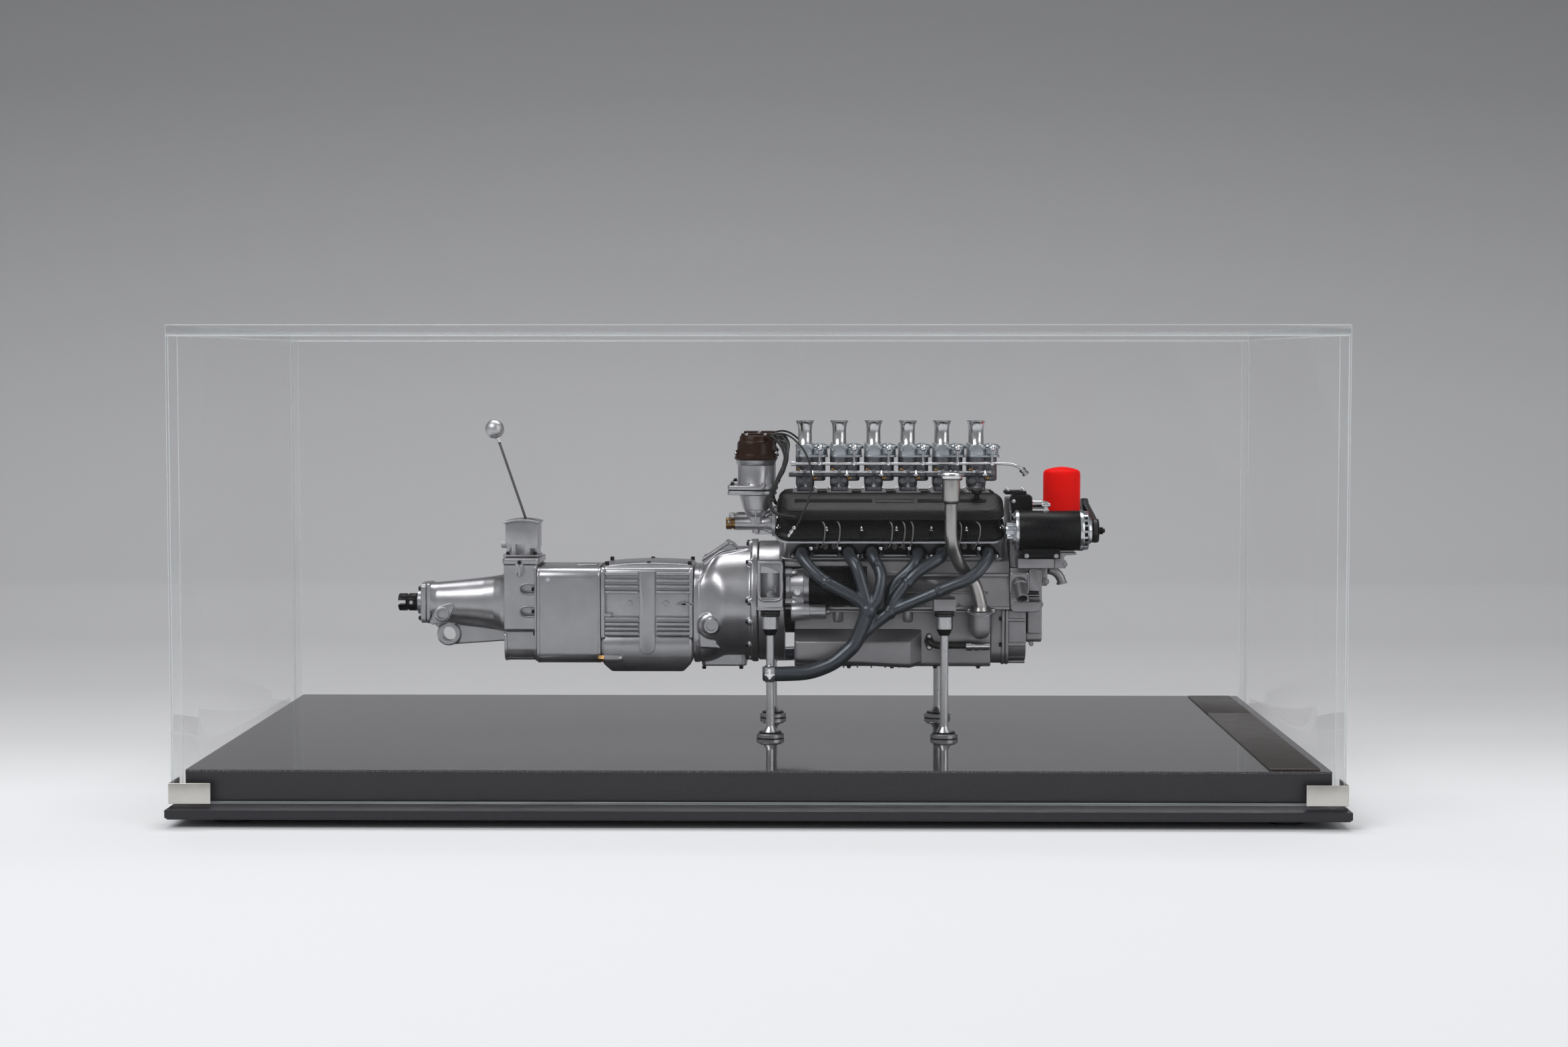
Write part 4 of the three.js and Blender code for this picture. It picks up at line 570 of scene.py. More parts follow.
def crackle_black(name, colour):
    """Black crackle paint baked on the cam covers: a fine matt wrinkle that catches a grey sheen."""
    made, tree, place = fresh_material(name)
    cells = add_node(tree, "ShaderNodeTexVoronoi", {"Scale": per(0.5), "feature": "DISTANCE_TO_EDGE"},
        Vector=place).outputs["Distance"]
    tint = tinted(tree, cells, (0, scaled(colour, 0.8)), last=(0.3, scaled(colour, 1.15)))
    return closed(made, {"Roughness": 0.42, "Specular IOR Level": 0.22}, Base_Color=tint,
        Normal=relief(tree, cells, 0.5, 0.06))


def brushed(name, colour, roughness=0.3):
    """Steel brushed or turned to a satin: fine lines that drag the highlight."""
    return grained(name, colour, 1.0, roughness, 0.6, 0.01, tone=0.05, stretch=(1, 1, 12))


def sheen(metallic, roughness, grain, bump, **more):
    """Arguments for the grained finish, its grain and relief in millimetres."""
    return {"metallic": metallic, "roughness": roughness, "grain": grain, "bump": bump, **more}


RECIPES = {
    # name: (maker, sRGB colour, further arguments); those with a maker of their own are described there
    "satin_black": (satin_black, "222026", {}),
    "woven_deck": (woven_deck, "302e31", {}),
    # Etched plate with a dark bronze tint, brushed
    "plaque_bronze": (brushed, "6b6560", {"roughness": 0.36}),
    "clear_acrylic": (clear_acrylic, "f4f4f3", {}),
    "acrylic_side": (acrylic_side, "dde3e3", {}),
    # A pale line painted on the sheets' eased corners, as a highlight
    "acrylic_edge": (acrylic_edge, "e6ecec", {}),
    # Stainless steel of the cover's corners: pale, with soft brush lines
    "satin_steel": (brushed, "d3d0ca", {"roughness": 0.32}),
    # Turned steel of the posts and nuts: grey, with a long sharp highlight
    "turned_steel": (brushed, "c0c0c2", {"roughness": 0.28}),
    # Fine sand cast aluminium, painted or blasted: a grain near 0.4 mm and a broad soft highlight
    "cast_silver": (grained, "afafb2", sheen(0.9, 0.31, 0.4, 0.035)),
    # The same casting left darker, for the engine's own block and cases
    "cast_grey": (grained, "969598", sheen(0.8, 0.38, 0.4, 0.035)),
    "crackle_black": (crackle_black, "121011", {}),
    # Zinc alloy die castings, passivated: bluish grey and smooth
    "zinc_plate": (grained, "a9b0b6", sheen(0.8, 0.3, 0.6, 0.02)),
    # Dull dark alloy of the throttle bodies
    "dark_alloy": (grained, "6a6b70", sheen(0.7, 0.4, 0.5, 0.03)),
    # Bright nickel and chrome plate: near mirror
    "bright_plate": (grained, "e2e2e4", sheen(1.0, 0.1, 2.0, 0.002, spread=0.03, tone=0.02)),
    # Phenolic moulding of the distributor caps: deep brown and glossy
    "brown_bakelite": (grained, "2b170b", sheen(0.0, 0.25, 0.8, 0.01, specular=0.15)),
    # Rubber and plastic insulation: matt black with a dull sheen
    "black_rubber": (grained, "161617", sheen(0.0, 0.42, 0.5, 0.01)),
    # Ceramic exhaust coating: dark blue grey with a satin bloom
    "exhaust_coating": (grained, "4c5157", sheen(0.6, 0.31, 0.5, 0.015)),
    # Bright red enamel of the filter, even and nearly free of glare
    "filter_red": (grained, "f40600", sheen(0.0, 0.5, 3.0, 0.004, tone=0.03, coat=0.04, coat_roughness=0.05,
                                           specular=0.05)),
    # Stoved black enamel of the electrical parts: deep, with a narrow sheen
    "black_enamel": (grained, "0f0f11", sheen(0.0, 0.36, 0.6, 0.01, specular=0.14)),
    # Bare brass of plugs and jets: warm and a little tarnished
    "brass": (grained, "8a6c46", sheen(1.0, 0.26, 0.8, 0.01)),
    # Chemically blacked steel of the screws
    "blacked_steel": (grained, "1d1c1e", sheen(0.6, 0.35, 0.4, 0.01)),
    # The milled lip under the cam covers, a little brighter than the castings
    "lip_silver": (grained, "b9bbbe", sheen(0.85, 0.3, 0.5, 0.01)),
    # Blued steel rod of the lever: a dark line with a faint shine
    "wire_grey": (grained, "5c5a5b", sheen(0.3, 0.4, 0.5, 0.01)),
    # Tinned wire: a thin pale line against the cam covers
    "wire_bright": (grained, "9c9a98", sheen(0.6, 0.36, 0.5, 0.01)),
    # Machined aluminium: brighter and smoother than the castings
    "bright_alloy": (grained, "cfd2d6", sheen(0.95, 0.22, 0.8, 0.01)),
    # Aluminium ball of the lever, polished to a soft sheen
    "knob_silver": (grained, "c8c8ca", sheen(1.0, 0.42, 0.8, 0.004)),
    # Polished alloy of the intake trumpets, spun to a bright sheen
    "trumpet_steel": (brushed, "c6c7c8", {"roughness": 0.16}),
    # Ground and polished tube of the oil filler, darker than the posts
    "filler_steel": (brushed, "b0aeac", {"roughness": 0.3}),
    # Black painted into gaps, slots and bores as their shade, and the dark gasket between the distributor's
    # flange plates: nearly black and quite matt
    "dark_gap": (grained, "0a0a0b", sheen(0.0, 0.7, 0.6, 0.01)),
}
made_finishes = {}


def material(look):
    """The finish of this name, made when it is first asked for."""
    if look not in made_finishes:
        maker, colour, more = RECIPES[look]
        chosen = getattr(bpy.context.scene.replica_colours, look, None)
        base = linear(colour) if chosen is None else [*chosen, 1.0]
        made_finishes[look] = maker(look, base, **more)
    return made_finishes[look]


def dress_node(node, look):
    """Gives a frame node that keeps its shape its finish."""
    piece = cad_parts[node]
    for slot in piece.material_slots:
        slot.material = material(look)


# Stage


def make_camera(sizes):
    """A camera at eye level a little above the cover, turned slightly to the left and down."""
    stand_back = Vector((sizes.camera_x, -sizes.camera_distance, sizes.camera_height))
    data = bpy.data.cameras.new("camera")
    camera = bpy.data.objects.new("camera", data)
    bpy.context.scene.collection.objects.link(camera)
    camera.location = stand_back
    camera.rotation_euler = (QUARTER - sizes.camera_pitch, 0, sizes.camera_yaw)
    data.lens = sizes.camera_lens
    data.sensor_width = 36
    data.clip_start = 0.01
    bpy.context.scene.camera = camera


def soft_light(name, place, target, size, power):
    data = bpy.data.lights.new(name, "AREA")
    data.shape = "RECTANGLE"
    data.size, data.size_y = size
    data.energy = power
    lamp = bpy.data.objects.new(name, data)
    bpy.context.scene.collection.objects.link(lamp)
    lamp.location = place
    lamp.rotation_euler = (Vector(target) - Vector(place)).to_track_quat("-Z", "Y").to_euler()


# Tones of the paper from its near edge to its far top: near white at the front, and the greys beyond are
# painted shade for the light falling off over the floor and up the sweep
PAPER_SHADE_STOPS = ((0, "f2f3f5"), (0.073, "d8d8d9"), (0.167, "c6c6c8"), (0.294, "c3c3c5"), (0.485, "dadadc"),
    (0.56, "d0d0d2"), (0.725, "a6a6a8"), (1, "727274"))


def paper_with_painted_shade():
    """Seamless background paper, matt: near white in front, with painted shade that greys it behind and
    above.
    """
    made, tree, place = fresh_material("paper_with_painted_shade")
    axes = add_node(tree, "ShaderNodeSeparateXYZ", Vector=place)
    share = blended(tree, "ADD", ranged(tree, axes.outputs["Y"], 0.0, 0.5, -0.05, 1.6),
        ranged(tree, axes.outputs["Z"], 0.0, 0.5, 0.0, 1.6))
    *stops, last = [(position, linear(tone)) for position, tone in PAPER_SHADE_STOPS]
    return closed(made, {"Roughness": 0.85, "Specular IOR Level": 0.1},
        Base_Color=tinted(tree, share, *stops, last=last))


def make_stage(sizes):
    make_camera(sizes)
    sweep = [(-4.0, 0.0), (1.6, 0.0)]
    radius = 1.0
    sweep += [(1.6 + radius * math.sin(QUARTER * i / 12), radius * (1 - math.cos(QUARTER * i / 12)))
        for i in range(1, 13)]
    sweep += [(2.6, 4.0)]
    bpy.ops.mesh.primitive_grid_add(x_subdivisions=1, y_subdivisions=len(sweep) - 1, size=2)
    floor = bpy.context.object
    rows = sorted({round(v.co.y, 5) for v in floor.data.vertices})
    for vertex in floor.data.vertices:
        back, up = sweep[rows.index(round(vertex.co.y, 5))]
        vertex.co = (vertex.co.x * 5, back, up)
    floor.name = "backdrop"
    floor.data.materials.append(paper_with_painted_shade())
    bpy.ops.object.shade_smooth()
    middle = (0, 0, 0.15)
    soft_light("key", (-1.3, -1.5, 1.9), middle, (1.6, 1.0), sizes.key_power)
    soft_light("fill", (1.8, -1.4, 1.0), middle, (1.4, 1.4), sizes.key_power * 0.4)
    soft_light("top", (0.1, 0.5, 2.0), middle, (2.0, 0.8), sizes.key_power * 0.8)
    world = bpy.data.worlds.new("studio")
    world.use_nodes = True
    world.node_tree.nodes["Background"].inputs["Color"].default_value = linear("c9cacc")
    world.node_tree.nodes["Background"].inputs["Strength"].default_value = sizes.world_strength
    bpy.context.scene.world = world
    bpy.context.scene.view_settings.view_transform = "Standard"


# Display stand


def make_stand():
    dress_node("base_plate", "satin_black")
    dress_node("plinth_block", "satin_black")
    dress_node("deck_panel", "woven_deck")
    for node in ("plaque_front", "plaque_rear"):
        plaque = soften(copy_of_node(node), 0.25)
        finished(plaque, f"{node}_sheet", "plaque_bronze", replaces=[node])


PANEL_AXES = {"cover_front": "Y", "cover_back": "Y", "cover_left": "X", "cover_right": "X",
    "cover_top": "Z"}


def make_cover():
    """Five acrylic sheets with polished edges, and the steel corners round their foot."""
    for node, axis in PANEL_AXES.items():
        low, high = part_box(node)
        sheet = finished(block(low, high, 0.5, 2), f"{node}_sheet", "clear_acrylic", "cover", [node])
        for look in ("acrylic_side", "acrylic_edge"):
            sheet.data.materials.append(material(look))
        # Faces square to the sheet stay clear, its square edges take the polished side, and the eased corners
        # take the painted highlight line
        for face in sheet.data.polygons:
            square = max(abs(value) for value in face.normal) > 0.98
            face.material_index = (0 if abs(face.normal.dot(AXES[axis])) > 0.98 else 1) if square else 2
    for end in ("left", "right"):
        for where in ("front", "back"):
            node = f"bracket_{where}_{end}"
            finished(soften(copy_of_node(node), 0.3), f"{node}_plate", "satin_steel", "cover", [node])


POST = [(0, 8.4), (0.5, 9), (2.5, 9), (3, 8.6), (3, 5.4), (3.6, 5.15), (7, 2.9), (8, 2.7), (70.2, 2.7),
    (70.3, 5.2), (70.6, 5.5), (78.3, 5.5), (78.5, 5.3)]
ISOLATOR = [(78.5, 5.0), (78.7, 6.3), (79.9, 6.3), (80.2, 5.9), (80.5, 6.3), (81.9, 6.3), (82.2, 5.8)]


def make_posts():
    """Turned steel posts with a rubber isolator on each."""
    for where in ("rear_near", "rear_far", "front_near", "front_far"):
        low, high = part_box(f"post_{where}")
        foot = Vector(((low.x + high.x) / 2, (low.y + high.y) / 2, low.z))
        column = lathe(POST, "Z", foot)
        finished(column, f"post_{where}_column", "turned_steel", replaces=[f"post_{where}"])
        finished(lathe(ISOLATOR, "Z", foot), f"isolator_{where}", "black_rubber")
        # The black ring on the foot disc is a painted dark reflection, standing in for what the polished foot
        # disc mirrors
        ring = lathe([(3, 7.4), (3.9, 7.2), (3.9, 5.6)], "Z", foot)
        cone = lathe([(66.2, 2.72), (66.4, 3.3), (70, 5), (70.2, 4.6)], "Z", foot)
        finished(joined(ring, cone), f"foot_ring_{where}", "black_enamel")


# Banks: heads, cam covers and what is bolted to them


def bank_frame(side):
    """Turns a piece modelled upright, with Y pointing out, onto a leaning bank."""
    turn = Matrix((AXES["X"], bank_out(side), bank_up(side))).transposed().to_4x4()
    return Matrix.Translation(ENGINE) @ turn


def side_frame(side):
    """Puts a piece modelled for the far side at the origin into the engine, on either side."""
    return Matrix.Translation(ENGINE) @ Matrix.Diagonal((1, side, 1, 1))


def pair(master, name, look, place=bank_frame, nodes=None, angle=35):
    """Puts one copy of a master on each bank, and throws the master away."""
    for where, side in SIDES.items():
        hidden = [f"{nodes}_{where}"] if nodes else []
        finished(copy_of(master, place(side)), f"{name}_{where}", look, replaces=hidden, angle=angle)
    bpy.data.objects.remove(master)


def stacked(low, high, radius, stations, steps=8):
    """A rounded block whose outline is drawn in by an inset at each height."""
    rings = []
    for inset, height in stations:
        corner_low = (low[0] + inset, low[1] + inset)
        corner_high = (high[0] - inset, high[1] - inset)
        outline = rounded(corner_low, corner_high, max(radius - inset, 0.6), steps)
        rings.append([mm(u, v, height) for u, v in outline])
    return skin(rings)


HEAD_ENDS = (-2.9, 143.1)
COVER_ENDS = (-5.4, 142.5)
PORTS = [17.3 + BORE_PITCH * i + (1.8 if i % 2 else -5.8) for i in range(6)]
NUT_PLACES = [27.3 + BORE_PITCH * i for i in range(5)]
# Inset from the rim, and height on the bank: foot flange, recess for the studs, ledge, shoulder and crown
COVER_STATIONS = [(0.5, 57.4), (0.05, 57.7), (0, 58.6), (0.15, 59.6), (0.6, 60.3), (2.5, 60.9),
    (2.9, 61.4), (3.1, 70.8), (2.8, 71.6), (1.2, 72.0), (0.8, 72.5), (0.8, 73.3), (1.1, 74.2),
    (2.1, 75.6), (3.5, 76.7), (5.4, 77.4), (7.6, 77.75), (9.5, 77.8)]


def make_heads():
    rear, front = HEAD_ENDS
    head = stacked((rear, -14), (front, 14), 5, [(0.6, 40.9), (0, 41.5), (0, 55.8), (0.3, 56)])
    pockets = []
    for i in (0, 2, 4):
        low, high = PORTS[i] + 6.5, PORTS[i + 1] - 6.5
        pockets.append(prism(rounded((low, 44.4), (high, 55.4), 2), "Y", 10.5, 16, edge=0))
    head = soften(carved(head, *pockets), 0.5)
    foot = stacked((rear - 0.4, -14.4), (front + 0.2, 14.6), 5,
        [(0.3, 40.9), (0, 41.2), (0, 42.6), (0.4, 43)])
    bars = [rod(0.75, PORTS[i] + 7.4, PORTS[i + 1] - 7.4, "X", mm(0, 14.4, 45.4)) for i in (0, 2, 4)]
    pair(joined(foot, *bars, head), "head_casting", "cast_silver", nodes="head")
    rear, front = COVER_ENDS
    lip = stacked((rear - 0.7, -16.4), (front + 0.3, 16.4), 9,
        [(1.2, 55.4), (0.4, 55.7), (0, 56.2), (0.2, 57), (0.7, 57.3)])
    pair(lip, "head_lip", "lip_silver")
    # Black plates painted into the back of the plug recesses as their shade
    dark = [block(mm(PORTS[i] + 6.8, 10.2, 44.6), mm(PORTS[i + 1] - 6.8, 10.9, 55.2), 0.2)
        for i in (0, 2, 4)]
    pair(joined(*dark), "plug_recess_shade", "dark_gap")
    studs = []
    for i in (0, 2, 4):
        middle = (PORTS[i] + PORTS[i + 1]) / 2
        for x in (middle - 6, middle, middle + 6):
            studs.append(standing(mm(x, 11, 50.5), AXES["Y"]))
    pair(scattered(stud_nut(1.5, 3.4), studs), "recess_studs", "cast_grey")


def make_cam_covers():
    rear, front = COVER_ENDS
    shell = stacked((rear, -15.8), (front, 15.8), 9, COVER_STATIONS, steps=10)
    pair(shell, "cam_cover_shell", "crackle_black", nodes="cam_cover", angle=50)
    ribs = [block(mm(low, out, 77.6), mm(high, out + 0.55, 78.2), 0.18, 2) for out in (-2.3, -0.9, 0.5)
        for low, high in ((rear + 12, 57), (86, front - 12))]
    ribs.append(block(mm(59, -2.7, 77.6), mm(84, 1.6, 78.1), 0.3, 2))
    border = tube([mm(*p) for p in ((rear + 5, -9.5, 77.6), (rear + 7, 8.6, 77.35), (20, 9.6, 77.2),
        (120, 9.6, 77.2), (front - 7, 8.6, 77.35), (front - 5, -9.5, 77.6))], 0.35)
    pair(joined(border, *ribs), "cam_cover_ribs", "crackle_black")
    posts = lathe([(60.2, 1.5), (60.8, 1.3), (64.6, 1.2), (65, 1.0)], "Z", sides=20)
    pair(scattered(posts, [Matrix.Translation(mm(x, side * 14.1, 0)) for x in NUT_PLACES
        for side in (1, -1)]), "cover_posts", "black_enamel")
    tops = [standing(mm(x, side * 14.1, 65)) for x in NUT_PLACES for side in (1, -1)]
    ends = [standing(mm(x, out, 61.2)) for x in (rear + 1.6, front - 1.6) for out in (-6, 6)]
    pair(scattered(acorn_nut(1.0, 2.9), tops + ends), "cover_nuts", "bright_plate")
    breather = lathe([(77, 1.6), (79.4, 1.4), (80, 2.4), (80.8, 3.3), (82.4, 3.7), (84, 3.3), (84.8, 2.2),
        (85, 0.6)], "Z", mm(124.5, -6.5, 0), sides=32)
    finished(copy_of(breather, bank_frame(-1)), "breather_knob", "black_rubber")
    bpy.data.objects.remove(breather)
    wires = []
    for x, sway in ((24, 2.4), (33.6, 2.4), (67.5, 2.2), (75.6, 2.2), (81, 2), (103.6, 2.2), (112, 2),
            (122.6, 3.6)):
        wires.append(tube([mm(*p) for p in ((x, 12.2, 71.2), (x + sway * 0.8, 15.4, 70),
            (x + sway, 16.1, 65), (x + sway * 0.7, 16.9, 58.5), (x + sway * 0.1, 16.4, 53.5),
            (x - 1.2, 12.5, 50.5))], 0.45, 3, 6))
    pair(joined(*wires), "plug_wires", "wire_bright")


# Exhausts

PIPE_RADIUS = 3.9
PORT_UP, PORT_OUT = 49, 14.5
TAIL_RADIUS = 4.8
REAR_MERGE, FRONT_MERGE = Vector((54, 58, -2.1)), Vector((67.5, 53, -3))
JOIN, TAIL = Vector((46.5, 58.5, -21)), Vector((-13.4, 60.5, -42.1))
PRIMARY_SHARES = [[(0.04, 0.5, 0.12), (0.59, 0.88, 0.46), (1.6, 1, 0.8)],
    [(0.02, 0.42, 0.08), (0.23, 0.85, 0.27), (0.5, 1, 0.82)],
    [(0.03, 0.42, 0.08), (0.26, 0.82, 0.4), (0.12, 1, 0.8)],
    [(-0.03, 0.36, 0.1), (-0.22, 0.62, 0.28), (-0.74, 0.66, 0.6)],
    [(-0.05, 0.6, 0.1), (-0.76, 0.95, 0.36), (-1.3, 1, 0.75)],
    [(-0.04, 0.7, 0.12), (-0.49, 1.2, 0.4), (-1.25, 1.24, 0.59)]]
COLLECTOR_SHARES = [(0.45, 0.2, 0.4), (0.8, 0.7, 0.75)]
TAIL_SHARES = [(0.11, 0.3, 0.36), (0.27, 0.7, 0.7), (0.5, 0.9, 0.94), (0.75, 1, 1)]


def between(start, end, shares):
    return [Vector([mix(a, b, s) for a, b, s in zip(start, end, share)]) for share in shares]


def exhaust_routes():
    """Each pipe's route and radius, in the engine's millimetres on the far side."""
    routes = []
    y = PORT_UP * math.sin(LEAN) + PORT_OUT * math.cos(LEAN)
    z = PORT_UP * math.cos(LEAN) - PORT_OUT * math.sin(LEAN)
    for i, shares in enumerate(PRIMARY_SHARES):
        merge = REAR_MERGE if i < 3 else FRONT_MERGE
        points = [Vector((PORTS[i], y, z))]
        for along, out, down in shares:
            points.append(Vector((PORTS[i] + along * BORE_PITCH, mix(y, merge.y, out),
                mix(z, merge.z, down))))
        routes.append((points + [merge], PIPE_RADIUS))
    routes.append(([FRONT_MERGE, *between(FRONT_MERGE, JOIN, COLLECTOR_SHARES), JOIN], 4.5))
    routes.append(([REAR_MERGE, JOIN, *between(JOIN, TAIL, TAIL_SHARES), TAIL], TAIL_RADIUS))
    return routes


def ring_on(points, share, radius, width=1.2, proud=0.5):
    """A raised joint ring on a pipe: the place is a share of the way along its first points."""
    lengths = [(b - a).length for a, b in zip(points, points[1:])]
    left = share * sum(lengths)
    for (a, b), length in zip(zip(points, points[1:]), lengths):
        if left <= length:
            place, aim = a.lerp(b, left / length), (b - a).normalized()
            break
        left -= length
    return moved(lathe([(-width, radius * 0.9), (-width * 0.8, radius + proud * 0.6),
        (-0.15, radius + proud * 0.6), (-0.1, radius + proud * 0.2), (0.1, radius + proud * 0.2),
        (0.15, radius + proud), (width, radius + proud), (width * 1.1, radius * 0.9)], "Z", sides=40),
        standing(place * MM, aim))


def sampled(points, count=60):
    """Places along a curve through the points, as a tube with automatic handles runs."""
    line = []
    size = len(points)
    slopes = []
    for i in range(size):
        before, after = points[max(i - 1, 0)], points[min(i + 1, size - 1)]
        slopes.append((after - before) / (2 if 0 < i < size - 1 else 1))
    for i in range(size - 1):
        for step in range(count // (size - 1)):
            t = step / (count // (size - 1))
            a, b = points[i], points[i + 1]
            m, n = slopes[i], slopes[i + 1]
            line.append((2 * t**3 - 3 * t**2 + 1) * a + (t**3 - 2 * t**2 + t) * m + (3 * t**2 - 2 * t**3)
                * b + (t**3 - t**2) * n)
    return line + [points[-1]]


def make_exhausts():
    routes = exhaust_routes()
    pipes = [tube([p * MM for p in sampled(points, 24)], radius, 6, 3) for points, radius in routes]
    for route, share in ((0, 0.5), (5, 0.6), (4, 0.62)):
        pipes.append(ring_on(sampled(routes[route][0]), share, PIPE_RADIUS))
    boss = moved(lathe([(2.5, 2.1), (4.6, 2.1), (4.9, 1.8), (4.9, 1.0), (3.8, 0.9)], "Z", sides=24),
        standing(sampled(routes[2][0])[22] * MM, (0.1, 1, 0.3)))
    pipes.append(boss)
    pipes.append(ring_on([JOIN, TAIL], 0.97, TAIL_RADIUS * 0.8, 1.0, 0.4))
    merge_ball = lathe([(-5.6, 1.2), (-4.6, 3.6), (-2.4, 5.1), (0, 5.6), (2.4, 5.1), (4.6, 3.6),
        (5.6, 1.2)], "Z", REAR_MERGE * MM, 40)
    front_ball = lathe([(-5, 1.2), (-4, 3.3), (-2, 4.6), (0, 5), (2, 4.6), (4, 3.3), (5, 1.2)], "Z",
        FRONT_MERGE * MM, 40)
    whole = joined(*pipes, merge_ball, front_ball)
    whole = welded(whole, 0.45, 8, 0.5)
    pair(whole, "exhaust_manifold", "exhaust_coating", side_frame, "exhaust", 60)
    plates = []
    for x in PORTS:
        tilt = 1 if PORTS.index(x) % 2 else -1
        outline = hull_round([(x - 5.8, PORT_UP + 3 * tilt, 1.9), (x + 5.8, PORT_UP - 3 * tilt, 1.9),
            (x, PORT_UP, 5.2)])
        plates.append(prism(outline, "Y", 14.3, 16.3, edge=0.4))
    pair(joined(*plates), "port_flange", "black_enamel")
    nuts = []
    for x in PORTS:
        tilt = 1 if PORTS.index(x) % 2 else -1
        for end in (-1, 1):
            nuts.append(standing(mm(x + end * 5.8, 16.3, PORT_UP - 3 * tilt * end), AXES["Y"]))
    pair(scattered(stud_nut(1.15, 2.3), nuts), "port_nuts", "bright_plate")
    clamp = lathe([(-3.2, TAIL_RADIUS + 0.2), (-3.1, TAIL_RADIUS + 0.7), (3.1, TAIL_RADIUS + 0.7),
        (3.2, TAIL_RADIUS + 0.2)], "X", TAIL * MM + mm(4.5, 0, 0), 40)
    screw = rod(1.1, -3.4, 3.4, "Z", TAIL * MM + mm(4.5, TAIL_RADIUS + 1.4, 0.5), 16)
    housing = block((TAIL + Vector((2.6, TAIL_RADIUS, -2.2))) * MM,
        (TAIL + Vector((6.4, TAIL_RADIUS + 2.2, 2.2))) * MM)
    pair(joined(screw, housing, clamp), "tail_clamp", "bright_plate", side_frame)
    # A black disc painted into each tail pipe's mouth as the shade inside it
    bores = [rod(TAIL_RADIUS - 0.9, TAIL.x - 0.15, TAIL.x + 0.5, "X", mm(0, TAIL.y, TAIL.z))]
    pair(joined(*bores), "tail_mouth_shade", "dark_gap", side_frame)


# Carburettors, rail and throttle linkage

FOOT_Z = 73.2
CARBURETTORS = [13.3 + BORE_PITCH * i for i in range(6)]


def trumpet(y):
    """A spun intake trumpet with a rolled mouth and an open bore."""
    return lathe([(29.6, 4.9), (30.4, 4.9), (30.8, 4.5), (39.8, 4.45), (42.2, 4.7), (43.9, 5.2),
        (45.0, 5.85), (45.3, 6.1), (45.5, 6.1), (45.5, 5.6), (44.4, 4.9), (42.6, 4.15), (40, 3.85),
        (31, 3.8), (31, 0.5)], "Z", mm(0, y, 0), 48)


def make_carburettors():
    lid = soften(prism(rounded((-6, -15.6), (6, 15.6), 4), "Z", 22.4, 30.1, edge=0.7), 0.1, 1)
    bowl_lid = prism(rounded((-2, -11.5), (14.6, 11.5), 6), "Z", 22.4, 27.6, edge=0.8)
    dome = lathe([(27.2, 6.6), (28.6, 6.3), (29.6, 5.2), (30.3, 3.4), (30.5, 1)], "Z", mm(9.6, 0, 0), 40)
    step = prism(rounded((-6.3, -16), (15, 16), 5), "Z", 21.8, 23.2, edge=0.4)
    rim = prism(rounded((-6.4, -13.6), (6.4, 13.6), 5), "Z", 28.6, 29.8, edge=0.3)
    bosses = [rod(1.7, 8, 15.6, "Y", mm(x, 0, z)) for x, z in ((-1.6, 27), (3.6, 26.2))]
    jets = [lathe([(22.5, 2.4), (29, 2.2), (30.6, 1.6)], "Z", mm(9.8, y, 0), 24) for y in (-8.2, 8.2)]
    strainer = lathe([(-16.6, 1.5), (-16.2, 2.6), (-12, 2.6)], "Y", mm(9.5, 0, 26.6), 24)
    tops = joined(bowl_lid, dome, step, rim, *bosses, *jets, strainer, lid)
    flange = prism(rounded((-5.5, -17), (5.5, 17), 3), "Z", 0, 2.4, edge=0.4)
    barrels = [lathe([(2, 5.6), (4, 6.1), (9, 6.1), (9.6, 6.6), (11, 6.6), (11.6, 6), (22.6, 6.2)], "Z",
        mm(0, y, 0), 40) for y in (-9, 9)]
    web = prism(rounded((-4.2, -12), (4.2, 12), 2), "Z", 2, 22.4, edge=0.5)
    bowl = prism(rounded((1, -11.6), (13.4, 11.6), 5), "Z", 6.2, 22.4, edge=1.2)
    plugs = [lathe([(-17.4, 1.0), (-17.2, 1.7), (-15.6, 1.8), (-15.4, 2.3), (-12, 2.4)], "Y", mm(x, 0, z),
        20) for x, z in ((-3.4, 6.2), (2.8, 7), (9.4, 11.6), (-1, 17.5))]
    spindle = rod(1.5, -10.6, 10.6, "X", mm(0, -15.2, 10.5))
    lower = joined(flange, *barrels, bowl, *plugs, spindle, web)
    horn = joined(trumpet(-9), trumpet(9))
    screws = [standing(mm(x, y, z)) for x, y, z in ((-4.6, -14.4, 30), (4.6, -14.4, 30), (-4.6, 14.4, 30),
        (4.6, 14.4, 30), (-5, 0, 30), (13.2, -10.6, 27.5), (13.2, 10.6, 27.5), (14, 0, 23.2))]
    screws += [standing(mm(x, -16.1, z), (0, -1, 0)) for x, z in ((-4.4, 26.6), (4.2, 27.8))]
    heads = scattered(cap_screw(0.8, 0.9), screws)
    foot_nuts = scattered(stud_nut(1.15, 2.4), [standing(mm(0, y, 2.4)) for y in (-15, 15)])
    brass = [lathe([(-17.6, 0.8), (-17.3, 1.3), (-15.4, 1.4)], "Y", mm(x, 0, z), 16)
        for x, z in ((6.4, 8.4), (-4.2, 13.4))]
    masters = ((tops, "carburettor_top", "zinc_plate", 35), (lower, "carburettor_body", "dark_alloy", 35),
        (horn, "trumpets", "trumpet_steel", 50), (heads, "lid_screws", "turned_steel", 35),
        (foot_nuts, "foot_nuts", "bright_plate", 35), (joined(*brass), "jet_screws", "brass", 35))
    for i, x in enumerate(CARBURETTORS, 1):
        place = Matrix.Translation(at(x, 0, FOOT_Z))
        for master, name, look, angle in masters:
            hidden = [f"carburettor_{i}"] if master is tops else []
            finished(copy_of(master, place), f"{name}_{i}", look, replaces=hidden, angle=angle)
    for master, *_ in masters:
        bpy.data.objects.remove(master)


